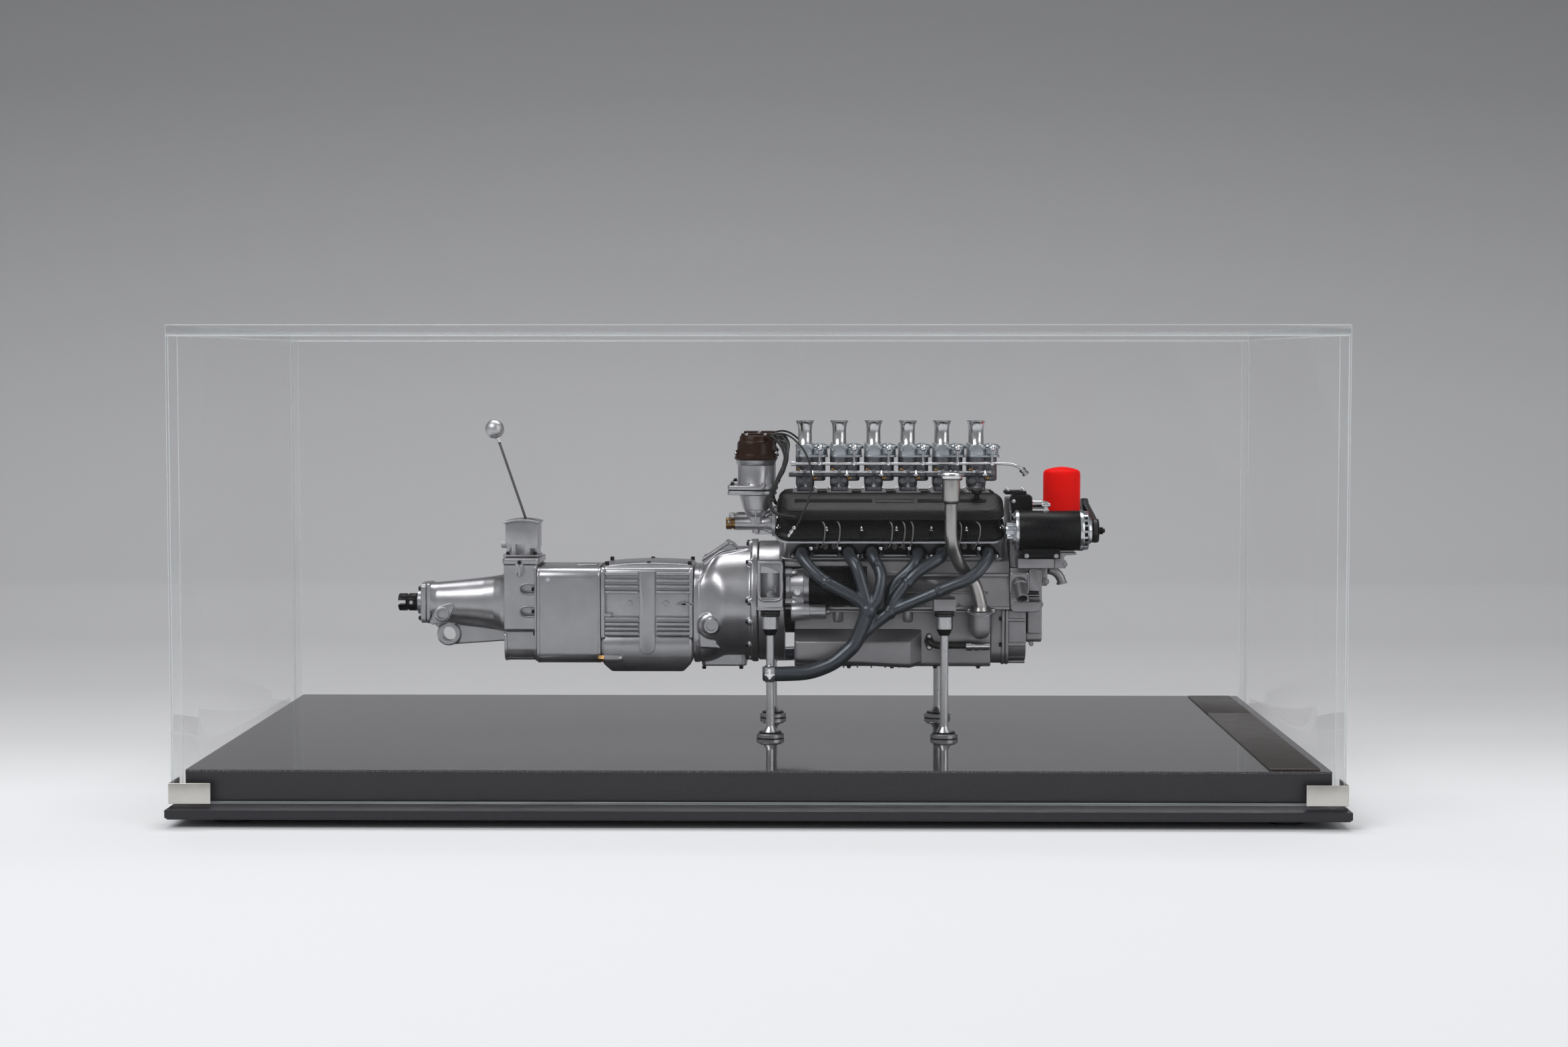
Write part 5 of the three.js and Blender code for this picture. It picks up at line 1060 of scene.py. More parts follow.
def make_fuel_rail():
    y = -18.4
    start, end = CARBURETTORS[0] - 7.6, CARBURETTORS[5] + 25
    low, high = FOOT_Z + 17.7, FOOT_Z + 27.7
    bend = [(start, y, low), (mix(start, end, 0.3), y, low), (mix(start, end, 0.7), y, low),
        (end - 7, y, low), (end - 1.5, y, low - 0.7), (end + 3.6, y, low - 3.2), (end + 6, y, low - 6)]
    pieces = [tube([at(*p) for p in bend], 0.95, 5, 12)]
    union = moved(lathe([(-3, 1.5), (-2.7, 2.1), (-0.6, 2.1), (-0.5, 1.5), (0.2, 1.5), (0.3, 2.2),
        (2, 2.2), (2.4, 1.5)], "Z", sides=6), standing(at(end + 5.6, y, low - 5.4), (0.62, 0, -0.78)))
    collar = rod(1.5, start - 1.5, start + 1.5, "X", at(0, y, low))
    for x in CARBURETTORS:
        x += 9.5
        stem = lathe([(-0.9, 1.4), (0, 1.7), (1.2, 1.5), (1.6, 0.8), (8, 0.75), (8.2, 1.3), (8.8, 1.3)],
            "Z", at(x, y, low), 20)
        ball = lathe([(-2.05, 0.5), (-1.8, 1.1), (-1.2, 1.75), (0, 2.1), (1.2, 1.75), (1.8, 1.1),
            (2.05, 0.5)], "Y", at(x, y, high), 32)
        cap = lathe([(1.2, 1.7), (2.3, 1.6), (2.7, 0.9)], "Z", at(x, y, high), 6)
        pieces += [stem, ball, cap]
    finished(joined(*pieces, union, collar), "fuel_rail_tube", "bright_plate", replaces=["fuel_rail"],
        angle=40)


def make_throttle():
    """The cross shaft turns; its links and return springs are seen on it."""
    y, z = -20.4, FOOT_Z + 12.3
    shaft = rod(0.7, CARBURETTORS[0] - 9, CARBURETTORS[5] + 9, "X", at(0, y, z))
    sleeve = rod(0.95, CARBURETTORS[0] - 4, CARBURETTORS[2] + 4, "X", at(0, y, z))
    pieces = [shaft, sleeve]
    for x in CARBURETTORS:
        arm = strap([(y, z, 1.5), (y - 2.9, z - 1.8, 1)], 20, "X", x + 4.2, x + 5.4, 0.2)
        pin = rod(0.6, x + 3.2, x + 6.2, "X", at(0, y - 2.9, z - 1.8))
        clip = rod(1.25, x - 3.4, x - 1.2, "X", at(0, y, z))
        collar = rod(1.2, x + 7.2, x + 9, "X", at(0, y, z))
        pieces += [arm, pin, clip, collar]
    finished(joined(*pieces), "throttle_cross_shaft", "bright_alloy", "throttle", ["throttle_shaft"])
    ears = [strap([(-15, z, 2), (y, z, 1.9)], 20, "X", x - 1, x + 1, 0.3) for x in CARBURETTORS]
    bored = carved(joined(*ears), rod(1.0, CARBURETTORS[0] - 20, CARBURETTORS[5] + 20, "X", at(0, y, z)))
    finished(bored, "throttle_bearings", "dark_alloy")


# Manifold


def make_inlet():
    body = soften(copy_of_node("inlet_manifold"), 0.8)
    finished(body, "inlet_manifold_casting", "cast_silver", replaces=["inlet_manifold"])
    nuts = [standing(at(x + dx, side * 16.4, 72.9)) for x in CARBURETTORS for dx in (-6.6, 6.6)
        for side in (-1, 1)]
    fastened(hex_bolt(1.0, 1.2), nuts, "manifold_bolts", "bright_plate")


# Distributors and leads

DIST_X = -18.4
FLANGE_Z = CAM_UP + 19
DIST_TOP = FLANGE_Z + 6 + 16.4
CAP_LOW = DIST_TOP + SEAM
CAP_SHARE = 0.85


def cap_height(up):
    """A height on the distributor's cap, over its seam."""
    return CAP_LOW + CAP_SHARE * up


def make_distributors():
    centre = mm(DIST_X, CAM_OUT, 0)
    drive = lathe([(-31.9, 3.6), (-31.9, 4.25), (-14, 4.25), (-13, 4.6), (-9.5, 6.2), (-8.2, 7.4),
        (-8, 8.4), (-5.9, 8.4), (-5.7, 8)], "X", mm(0, CAM_OUT, CAM_UP), 48)
    ribs = [block(mm(-21, CAM_OUT + 3.6, CAM_UP - 0.6), mm(-6.2, CAM_OUT + 6, CAM_UP + 0.2), 0.2),
        block(mm(-19, CAM_OUT - 0.6, CAM_UP - 7), mm(-6.2, CAM_OUT + 0.6, CAM_UP), 0.3)]
    drain = rod(2.4, CAM_UP - 6.3, CAM_UP - 3, "Z", centre, 24)
    column = lathe([(CAM_UP, 5.4), (CAM_UP + 4.5, 5.4), (CAM_UP + 5, 6), (CAM_UP + 7, 7.2),
        (CAM_UP + 9, 7.6), (CAM_UP + 9.4, 8.2), (FLANGE_Z - 0.6, 10.6), (FLANGE_Z, 11.6)], "Z", centre,
        64)
    fin = block(mm(DIST_X - 0.5, CAM_OUT + 3, CAM_UP + 2), mm(DIST_X + 0.5, CAM_OUT + 8.4, CAM_UP + 9.6),
        0.3)
    plate = [(DIST_X - 15.6, CAM_OUT - 7.4, 2.6), (DIST_X - 15.6, CAM_OUT + 7.4, 2.6),
        (DIST_X, CAM_OUT, 13.2), (DIST_X + 7, CAM_OUT - 8, 2.6), (DIST_X + 7, CAM_OUT + 8, 2.6)]
    outline = hull_round(plate, 40)
    lower = prism(outline, "Z", FLANGE_Z, FLANGE_Z + 2.5, edge=0.5)
    upper = prism(outline, "Z", FLANGE_Z + 3.3, FLANGE_Z + 6, edge=0.5)
    body = lathe([(FLANGE_Z + 5.6, 12.6), (FLANGE_Z + 6.4, 12.1), (FLANGE_Z + 7, 11.8),
        (DIST_TOP - 3.6, 11.8), (DIST_TOP - 3, 12.3), (DIST_TOP - 0.8, 12.9), (DIST_TOP, 13.3)], "Z",
        centre, 72)
    lugs = [rod(1.5, FLANGE_Z + 5.6, FLANGE_Z + 8, "Z", centre + mm(u, v, 0), 20)
        for u, v in ((-5.2, 10.8), (5.2, 10.8), (-5.2, -10.8), (5.2, -10.8))]
    whole = joined(column, *ribs, drain, fin, lower, upper, body, *lugs, drive)
    pair(whole, "distributor_housing", "cast_silver", side_frame, "distributor")
    gap = prism([(DIST_X + (u - DIST_X) * 0.97, CAM_OUT + (v - CAM_OUT) * 0.97) for u, v in outline], "Z",
        FLANGE_Z + 2.3, FLANGE_Z + 3.5, edge=0)
    pair(gap, "flange_gap", "dark_gap", side_frame)
    bolts = [standing(centre + mm(u, v, FLANGE_Z + 6))
        for u, v in ((-15.4, -7.4), (-15.4, 7.4), (7, 8), (7, -8))]
    pair(scattered(hex_bolt(1.2, 1.6), bolts), "flange_bolts", "blacked_steel", side_frame)
    end = [standing(mm(-8.2, CAM_OUT + 6.6 * math.cos(a), CAM_UP + 6.6 * math.sin(a)), (-1, 0, 0))
        for a in (math.radians(d) for d in (45, 135, 225, 315))]
    pair(scattered(stud_nut(0.9, 2.0), end), "drive_studs", "turned_steel", side_frame)
    tip = lathe([(-37.9, 2.6), (-37.9, 3.4), (-37.5, 3.8), (-34.2, 3.8), (-34, 3.3), (-33.3, 3.3),
        (-33.1, 3.9), (-31.9, 3.9)], "X", mm(0, CAM_OUT, CAM_UP), 40)
    slot = rod(0.9, CAM_OUT - 8, CAM_OUT + 8, "Y", mm(-35.9, 0, CAM_UP + 1.2), 16, 0)
    tip = carved(tip, slot)
    for side, name, look in ((-1, "drive_tip_near", "brass"), (1, "drive_tip_far", "cast_grey")):
        finished(copy_of(tip, side_frame(side)), name, look)
    bpy.data.objects.remove(tip)


def make_caps():
    centre = mm(DIST_X, CAM_OUT, 0)
    profile = ((0, 13.4), (0.5, 14), (1.6, 14), (2.4, 13.5), (3.4, 12.7), (4.4, 12.4), (12.2, 12.1),
        (13.4, 11.8), (14, 11.2), (14.3, 10.9), (17.4, 10.5), (18.2, 10), (18.6, 9))
    body = lathe([(cap_height(up), radius) for up, radius in profile], "Z", centre, 72)
    clips = []
    for turn in (70, -70, 180):
        angle = math.radians(turn)
        lug = moved(stacked((-1.9, -1.6), (1.9, 1.6), 1.5,
            [(0.3, cap_height(1)), (0, cap_height(2)), (0.1, cap_height(6.6)), (0.9, cap_height(7.6))]),
            Matrix.Translation(centre) @ Matrix.Rotation(angle, 4, "Z")
            @ Matrix.Translation(mm(0, 12.4, 0)))
        clips.append(lug)
    ridge = block(mm(DIST_X - 9.6, CAM_OUT - 3, cap_height(18)),
        mm(DIST_X + 11.4, CAM_OUT + 3, cap_height(20)), 0.8)
    outlets = []
    for i in range(6):
        spread = math.radians(-50 + 20 * i)
        aim = Vector((math.cos(spread), math.sin(spread), 0.06))
        base = centre + mm(0, 0, cap_height(12.5 + (i % 2) * 3.6))
        boss = moved(lathe([(9.6, 1.8), (12.9, 1.8), (13.2, 1.5)], "Z", sides=20), standing(base, aim))
        outlets.append(boss)
    pair(joined(*clips, ridge, *outlets, body), "distributor_cap", "brown_bakelite", side_frame, "cap")
    studs = [standing(centre + mm(u, v, cap_height(18.5))) for u, v in ((-6, 5), (6, 6), (1, -7))]
    studs += [standing(centre + mm(0, 0, cap_height(5)) + Matrix.Rotation(math.radians(t), 3, "Z")
        @ mm(0, 13.4, 0), Matrix.Rotation(math.radians(t), 3, "Z") @ Vector((0, 1, 0.2)))
        for t in (70, -70)]
    pair(scattered(cap_screw(1.1, 1.2), studs), "cap_clips", "bright_plate", side_frame)


LOOM = [(-2.6, 36.2, 103.8), (1.2, 39.5, 100.5), (0.4, 44.5, 92), (-4.6, 47.6, 80), (-8.4, 48, 71),
    (-8, 49.8, 63.5), (-3, 52.4, 59.4), (7, 52.2, 57.6)]


def make_leads():
    """Six leads leave the cap, gather in a loom and run down behind the cover's ledge."""
    leads = []
    for i in range(6):
        spread = math.radians(-50 + 20 * i)
        height = cap_height(12.5 + (i % 2) * 3.6)
        start = Vector((DIST_X + 12 * math.cos(spread), CAM_OUT + 12 * math.sin(spread), height + 0.8))
        away = Vector((DIST_X + 17 * math.cos(spread), CAM_OUT + 17 * math.sin(spread), height + 1.2))
        twist = TURN * i / 6
        offset = Vector((0.9 * math.cos(twist), 0.9 * math.sin(twist), 0.5 * math.sin(twist)))
        route = [start, away] + [Vector(p) + offset * (1 - 0.04 * k) for k, p in enumerate(LOOM[2:])]
        leads.append(tube([p * MM for p in route], 0.62, 4, 10))
    pair(joined(*leads), "plug_leads", "black_rubber", side_frame, "lead_loom")
    ties = []
    for index in (3, 4):
        a, b = Vector(LOOM[index]), Vector(LOOM[index + 1])
        tie = moved(lathe([(-0.8, 1.7), (-0.6, 2.1), (0.6, 2.1), (0.8, 1.7)], "Z", sides=24),
            standing(a.lerp(b, 0.3) * MM, b - a))
        ties.append(tie)
    pair(joined(*ties), "loom_ties", "black_rubber", side_frame)
    coil = [(-8, 34, 110.2), (-1, 36, 111), (8, 40, 106), (15, 45, 96), (17.6, 48.5, 84), (16, 52, 70),
        (12, 53.6, 60), (8.6, 53.4, 53), (5.6, 52.4, 49.5)]
    pair(tube([mm(*p) for p in coil], 0.66, 4, 12), "coil_lead", "black_rubber", side_frame)
    plug = moved(lathe([(-3.4, 0.7), (-3, 1.2), (-1.4, 1.2), (-1.2, 0.8), (-0.6, 0.8), (-0.4, 1.4),
        (1.6, 1.4), (1.8, 0.9), (2.8, 0.9), (3, 1.5), (4.6, 1.4), (5, 0.8)], "Z", sides=20),
        standing(mm(4.6, 52.0, 48), (0.55, 0.1, 0.82)))
    pair(plug, "lead_connector", "bright_plate", side_frame)


# Block, sump and the front of the engine


def make_block():
    body = soften(copy_of_node("crankcase"), 0.6)
    ribs = [prism([(37, 8), (37, -2.4), (38.8, -2.4), (37.4, 8)], "X", x - 0.7, x + 0.7, ENGINE, 0.25)
        for x in (12, 40, 68, 96, 124)]
    boss = lathe([(35, 4.2), (38.2, 3.9), (38.6, 3.5)], "Y", at(118.2, 0, 17), 40)
    strip = rod(0.7, 2, 132, "X", at(0, 37.1, 8.2), 16)
    step = prism([(35.6, 19.2), (37.4, 18.6), (37.4, 20.4), (35.6, 21)], "X", 64, 145, ENGINE, 0.3)
    finished(joined(both_sides(joined(*ribs, boss, strip, step)), body), "crankcase_casting", "cast_grey",
        replaces=["crankcase"])
    socket = lathe([(38, 2.6), (38.9, 2.5), (38.9, 1.7), (38.2, 1.6)], "Y", at(118.2, 0, 17), 6)
    finished(both_sides(socket), "drain_plugs", "cast_grey")
    places = [standing(at(x, side * 37.9, -0.9)) for x in range(6, 134, 12) for side in (-1, 1)]
    fastened(stud_nut(1.1, 2.2), places, "flange_nuts", "turned_steel")


def both_sides(piece):
    """A piece joined with its mirror image over the engine's middle plane."""
    there = Matrix.Translation(ENGINE) @ Matrix.Diagonal((1, -1, 1, 1)) @ Matrix.Translation(-ENGINE)
    return joined(copy_of(piece, there), piece)


CUP_X, CUP_OUT = 126.7, -44


def make_sump():
    """A deep tray with a pod on each side, bosses under its flange and a filler's cup on the near side."""
    body = across(34, -40.4, -3.2, [3, 3, 0, 0], 6.6, 133.9, 0.8)
    rim = block(at(6.6, -37, -4.8), at(133.9, 37, -3.2), 0.4)
    rings = [[at(x, y, z) for y, z in ((30, -15.4), (34, -15.6), (out - 0.8, top + 0.9), (out, top),
        (out, low + 2.4), (out - 2.4, low), (30, low))] for x, out, top, low in ((6.6, 42.6, -22.6, -36),
        (8.2, 44, -23.9, -37), (81.3, 44, -23.9, -40.4), (89.1, 35, -17.6, -39))]
    pod = soften(skin(rings), 1.3, 4, 20)
    bosses = [lathe([(-11.6, 1.2), (-11.2, 2.6), (-10, 3.3), (-4, 3.4)], "Z", at(x, 34, 0), 32)
        for x in (34.8, 80.2)]
    fins = [block(at(20 + i * 9, -36, -41), at(21.1 + i * 9, 36, -39.6), 0.2) for i in range(7)]
    cup = lathe([(-21.4, 1.4), (-20.8, 3.4), (-19.4, 5), (-17, 6.2), (-14, 6.6), (-4.4, 6.8), (-3.6, 7)],
        "Z", at(CUP_X, CUP_OUT, 0), 56)
    neck = block(at(122, -44, -16), at(131.4, -33, -4), 2, 4)
    finished(joined(both_sides(joined(*bosses, pod)), rim, *fins, neck, cup, body), "sump_casting",
        "cast_grey", replaces=["sump"])
    web = [block(at(0.4, -22, -19.4), at(7.2, 22, -2.9), 0.6)]
    web += [block(at(0.8, -23.4, z - 0.7), at(7, 23.4, z + 0.7), 0.25) for z in (-6, -10.2, -14.4, -18.4)]
    finished(joined(*web), "rear_web", "black_enamel")
    plate = prism(hull_round([(0, 0, 6.4), (-8, 0.4, 1.9), (8, 0.4, 1.9)], 32), "Z", -0.7, 0.7, edge=0.3)
    ears = scattered(hex_bolt(1.1, 1.4), [standing(mm(x, 0.4, 0.6)) for x in (-8, 8)])
    tilt = Matrix.Translation(at(CUP_X, CUP_OUT - 0.8, -3.4)) @ Matrix.Rotation(math.radians(32), 4, "X")
    for piece, name, look in ((plate, "filler_flange", "cast_grey"),
            (ears, "filler_flange_bolts", "turned_steel")):
        piece.data.transform(tilt)
        finished(piece, name, look)
    edge = tube([tilt @ (mm(7 * math.cos(a), 6.9 * math.sin(a), 1))
        for a in (TURN * i / 12 for i in range(12))], 0.35, 3, 6, True)
    finished(edge, "filler_flange_rim", "lip_silver")
    bolts = [standing(at(x, side * 31, -40.3), (0, 0, -1)) for x in (14, 42, 70, 98, 126)
        for side in (-1, 1)]
    fastened(hex_bolt(1.4, 1.5), bolts, "pan_bolts", "blacked_steel")
    seat = strap([(94, -20.4, 1.9), (94.2, -27.6, 1.9), (94, -24, 3.2)], 24, "Y", -35.6, -33.6, 0.3)
    hose = tube([at(*p) for p in ((93.8, -34, -22.6), (94.4, -37, -24.2), (98, -38, -25.9),
        (108, -38.2, -26), (119.4, -38, -26))], 2.2, 6, 12)
    finished(joined(seat, hose), "oil_hose", "black_rubber")
    union = lathe([(117.6, 1.8), (117.7, 3.2), (121.4, 3.2), (121.5, 2.5), (122.6, 2.5), (122.7, 3),
        (126.4, 3), (126.5, 2.4), (127.4, 2.4), (127.5, 2.9), (133, 2.7)], "X", at(0, -38.6, -26.4), 12)
    finished(union, "hose_unions", "bright_plate")
    screws = [standing(at(94.1, -35.6, z), (0, -1, 0)) for z in (-20.4, -27.6)]
    fastened(hex_bolt(1.0, 1.2), screws, "hose_screws", "turned_steel")


def make_filler():
    f_x, f_out, top = 106.7, 59, 82.9
    shares = [(0, 0, 0.28), (0.02, 0.1, 0.45), (0.16, 0.42, 0.57), (0.42, 0.78, 0.69), (0.82, 0.98, 0.81)]
    start, foot = Vector((f_x, -f_out, top)), Vector((CUP_X, CUP_OUT, -2.7))
    route = [start + Vector((0, 0, -14.9 / 2)), *between(start, foot, shares), foot + Vector((0, 0, 4.2)),
        foot]
    pipe = tube([at(*p) for p in sampled(route, 24)], 4.2, 6, 12)
    neck = lathe(shifted(top, [(-16.2, 4.25), (-15.4, 4.8), (-14.4, 5.6), (-13.8, 5.8), (-0.8, 5.8),
        (-0.3, 6.4), (0, 6.4), (0, 4.6), (-1.9, 4.4)]), "Z", at(f_x, -f_out, 0), 64)
    socket = lathe([(-3, 5.4), (-2.4, 5.2), (-0.6, 4.6)], "Z", at(CUP_X, CUP_OUT, 0), 48)
    finished(joined(pipe, socket, neck), "filler_pipe", "filler_steel", replaces=["filler_tube"],
        angle=50)
    low = top + SEAM
    lid = lathe(shifted(low, [(0, 6.6), (0, 7.2), (1.5, 7.3), (1.6, 8.3), (2, 8.8), (2.6, 8.8),
        (3.2, 8.2), (3.8, 7.2), (4.3, 5), (4.6, 2)]), "Z", at(f_x, -f_out, 0), 64)
    finished(lid, "filler_lid_pressing", "bright_plate", "filler_lid", ["filler_cap"], 50)


def make_timing_cover():
    """The front case: a tower between the cam covers, a stepped front, a ribbed barrel and a shelf."""
    upper = [(36, -3), (36, 8), (34, 24), (26, 24), (26, 60), (18, 68)]
    tower = prism(upper + [(-y, z) for y, z in upper[::-1]], "X", 146.1, 158.7, ENGINE, 0.8)
    plates = [across(34.4, -39.6, -3.2, [9, 9, 1, 1], x, x + 2, 0.4) for x in (141, 143.5)]
    strip = across(32.6, -38.8, -3.2, [8, 8, 0, 0], 134.2, 141.4, 0.4)
    barrel = across(33, -38, -3.4, [12, 12, 1, 1], 145.4, 156.9, 0.8)
    ribs = [across(34.2, low, high, 0.8, 145.4, 156.4, 0.4)
        for low, high in ((-11, -8.8), (-27.2, -24.4))]
    ribs += [across(29.6, low, high, 0.8, 145.4, 156.4, 0.4)
        for low, high in ((-35.2, -33.4), (-38.6, -36.6))]
    box = across(28, -24.4, 24, [3, 3, 2, 2], 158.2, 167.6, 0.8)
    chin = across(29.4, -24.8, -18.4, 2.6, 157, 167.2, 0.8)
    pillar = slab((158.2, 8.8), (165.4, 24), [0.6, 0.6, 2, 2], "Y", -36.4, -24, 0.7)
    # A black bar painted into the slot under the pillar, as its shade
    slot = block(at(158, -38, 7.4), at(164.6, -30, 8.8), 0)
    ledges = [block(at(146, -37.4, z), at(165.6, -26, z + 1), 0.35) for z in (4.2, 6)]
    tab = strap([(150, -1.2, 3.4), (162.6, -1.2, 3.4)], 32, "Y", -36.8, -26, 0.5)
    lug = rod(2.2, -34.4, -26, "Y", at(165.8, 0, 0.4), 32)
    plate = slab((145.9, 7.6), (158.4, 21.6), 2, "Y", -38, -35, 0.4)
    hollow = slab((147, 8.7), (157.3, 20.5), 1.4, "Y", -40, -37.3, 0)
    plate = soften(carved(plate, hollow), 0.25, 2)
    stub = moved(lathe([(-2, 4.9), (0.6, 4.9), (1.2, 4.2), (11.6, 4), (12, 3.6), (12, 2.9), (9, 2.7)],
        "Z", sides=48), standing(at(152.3, -36.6, 13.4), (0.11, -0.7, -0.7)))
    ledge_low, ledge_high = (150.2, -50, 24.8), (173.6, -24, 31)
    shelf = block(at(*ledge_low), at(*ledge_high), 0.5)
    horn = prism([(173.9, 24.8), (181.2, 24.8), (181.4, 29.6), (180, 29.8), (180, 32), (181.2, 33.2),
        (188, 33.6), (188, 34.8), (176.6, 34.8), (176.2, 31.4), (173.9, 31)], "Y", -48, -30, ENGINE, 0.35)
    lump = block(at(167.4, -22, 11.4), at(171.6, -5, 23.4), 0.8)
    knob = rod(2.2, -24.4, -20, "Y", at(170.4, 0, 14.4), 32)
    front = joined(plates[0], plates[1], strip, barrel, *ribs, box, chin, pillar, *ledges, tab, lug,
        plate, stub, shelf, horn, lump, knob, tower)
    finished(front, "timing_casting", "cast_grey", replaces=["timing_cover"])
    finished(slot, "case_slot_shade", "dark_gap")
    # A black disc painted inside the stub's bore as its shade
    mouth = moved(rod(2.7, 9, 11, "Z", sides=32), standing(at(152.3, -36.6, 13.4), (0.11, -0.7, -0.7)))
    finished(mouth, "stub_mouth_shade", "dark_gap")
    pins = [standing(at(x, -37.9, z), (0, -1, 0)) for x, z in ((146.9, 20.6), (157.4, 20.6),
        (157.4, 8.6))]
    fastened(cap_screw(0.5, 0.5), pins, "plate_pins", "bright_plate")
    grey = [standing(at(*place), (0, -1, 0)) for place in ((165.8, -34.4, 0.4), (160.6, -29.4, -25.8),
        (180.6, -48, 27.4), (170.4, -24.4, 14.4))]
    fastened(hex_bolt(1.3, 1.3), grey, "timing_bolts", "cast_grey")
    dark = [standing(at(x, y, z), aim) for x, y, z, aim in ((141, -34, -9, (-1, 0, 0)),
        (141, -34, -26, (-1, 0, 0)), (171.6, -20, 21.6, (1, 0, 0)), (141, 34, -9, (-1, 0, 0)),
        (141, 34, -26, (-1, 0, 0)), (160.6, -20, -24.8, (0, 0, -1)), (160.6, 20, -24.8, (0, 0, -1)))]
    fastened(hex_bolt(1.3, 1.6), dark, "timing_dark_bolts", "blacked_steel")
    chest = slab((147.6, 52), (161.2, 71), 2.5, "Y", -27, -10, 1.0)
    lid = slab((143.4, 71.2), (157.4, 73.6), 0.8, "Y", -26, -8, 0.4)
    finished(joined(lid, chest), "chain_box", "black_enamel")
    bolts = [standing(at(x, y, 73.5)) for x in (145.4, 155.6) for y in (-24, -10)]
    bolts += [standing(at(149, -27, z), (0, -1, 0)) for z in (58, 67)]
    fastened(acorn_nut(1.0, 1.9), bolts, "chain_box_nuts", "bright_plate")
    feed = [rod(3.0, 160, 171, "X", at(0, -8, 63.8), 40), rod(3.7, 161, 162.8, "X", at(0, -8, 63.8), 40)]
    finished(joined(*feed), "filter_feed", "bright_plate")
    outlet = tube([at(x, -16, z) for x, z in ((166.4, 21.3), (172, 21.6), (177.2, 20), (180.6, 16),
        (181.6, 12.6))], 3.0, 8, 12)
    rim = moved(lathe([(-1.6, 3.1), (-1.3, 3.5), (-0.2, 3.5), (0, 3.1)], "Z", sides=40),
        standing(at(181.6, -16, 12.2), (0.2, 0, -1)))
    finished(joined(rim, outlet), "water_outlet", "cast_grey")


DYNAMO_REAR = COVER_ENDS[1] + SEAM
DYNAMO_FRONT = DYNAMO_REAR + 5.8 + 2.4 + 39.3
# The two pulleys' spindles, across and up
DYNAMO_SPINDLE, MAIN_SPINDLE = (-40, 48.6), (CAM_OUT, CAM_UP)


def make_dynamo():
    centre = at(0, *DYNAMO_SPINDLE)
    r = DYNAMO_REAR
    boss = lathe(shifted(r, [(0, 5.3), (0.4, 5.5), (5.4, 5.5), (5.8, 6)]), "X", centre, 40)
    ears = [block(at(r + 0.6, -46.5, z - 1), at(r + 6, -33.5, z + 1), 0.4) for z in (44.6, 48.6, 52.6)]
    rear_ring = lathe(shifted(r, [(5.6, 11.6), (6.2, 13), (7, 13.4), (8.2, 13.4), (8.2, 12.6)]), "X",
        centre, 72)
    front = DYNAMO_FRONT
    front_ring = lathe(shifted(front, [(0, 12.6), (0, 13.4), (1.9, 13.4), (2.4, 13.1), (2.4, 9)]), "X",
        centre, 72)
    lip = lathe(shifted(front, [(4.6, 9), (4.7, 12.2), (5.3, 12.6), (5.5, 12.2), (5.5, 9)]), "X", centre,
        72)
    hub = lathe(shifted(front, [(5, 9.4), (6.6, 8.8), (7.6, 8.2), (7.6, 4)]), "X", centre, 64)
    webs = []
    for i in range(20):
        web = moved(block(mm(front + 2.2, 9.6, -0.75), mm(front + 4.8, 12.5, 0.75), 0.15, 1),
            Matrix.Translation(centre) @ Matrix.Rotation(TURN * i / 20, 4, "X"))
        webs.append(web)
    finished(joined(boss, *ears, rear_ring, front_ring, lip, *webs, hub), "dynamo_ends", "bright_alloy",
        replaces=["dynamo"])
    body = lathe([(r + 7.8, 12.7), (r + 8.2, 13), (front + 0.2, 13), (front + 0.5, 12.7)], "X", centre,
        96)
    core = rod(9.6, front + 2, front + 5, "X", centre, 40)
    saddle = block(at(r + 8.2 + 2.4, -49.6, 30.9), at(r + 8.2 + 26.4, -30.4, 37.4), 0.7)
    foot = block(at(r + 8.2 + 3.4, -50.6, 31.6), at(r + 8.2 + 25.4, -29.4, 34.4), 0.6)
    finished(joined(body, core, foot, saddle), "dynamo_body", "black_enamel", angle=50)
    pins = [standing(at(x, -50.4, 32.9), (0, -1, 0)) for x in (r + 13, r + 32)]
    pins += [Matrix.Translation(centre) @ Matrix.Rotation(a, 4, "X")
        @ standing(mm(r + 5.9, 0, 10.2), (-1, 0, 0)) for a in (0.5, 2.1, 3.7, 5.2)]
    fastened(hex_bolt(1.2, 1.4), pins, "dynamo_bolts", "turned_steel")
    terminal = [lathe([(12.9, 2.2), (14, 2.2), (14.2, 1.3), (17.6, 1.3), (17.8, 1.9), (18.8, 1.9),
        (19.2, 1.2)], "Z", at(r + 26, *DYNAMO_SPINDLE), 6),
        rod(1.3, -2.8, 2.8, "X", at(r + 26, -40, 48.6 + 16.4), 20)]
    finished(joined(*terminal), "dynamo_terminal", "bright_plate")


PULLEY_REAR = DYNAMO_FRONT + 2.4 + 2.9 + 2.3 + SEAM
SMALL_GROOVE, LARGE_GROOVE = 5.2, 11.1


def sheave(radius, groove, hub, rear):
    p = PULLEY_REAR
    return [(rear, 1.6), (p - 0.15, 1.6), (p - 0.15, hub), (p, hub), (p, radius - 0.3), (p + 0.2, radius),
        (p + 0.6, radius), (p + 1.5, groove), (p + 2.9, groove), (p + 3.8, radius), (p + 4.2, radius),
        (p + 4.4, radius - 0.3), (p + 4.4, radius * 0.72), (p + 3.6, radius * 0.66), (p + 3.6, 3.6),
        (p + 4.6, 3.2)]


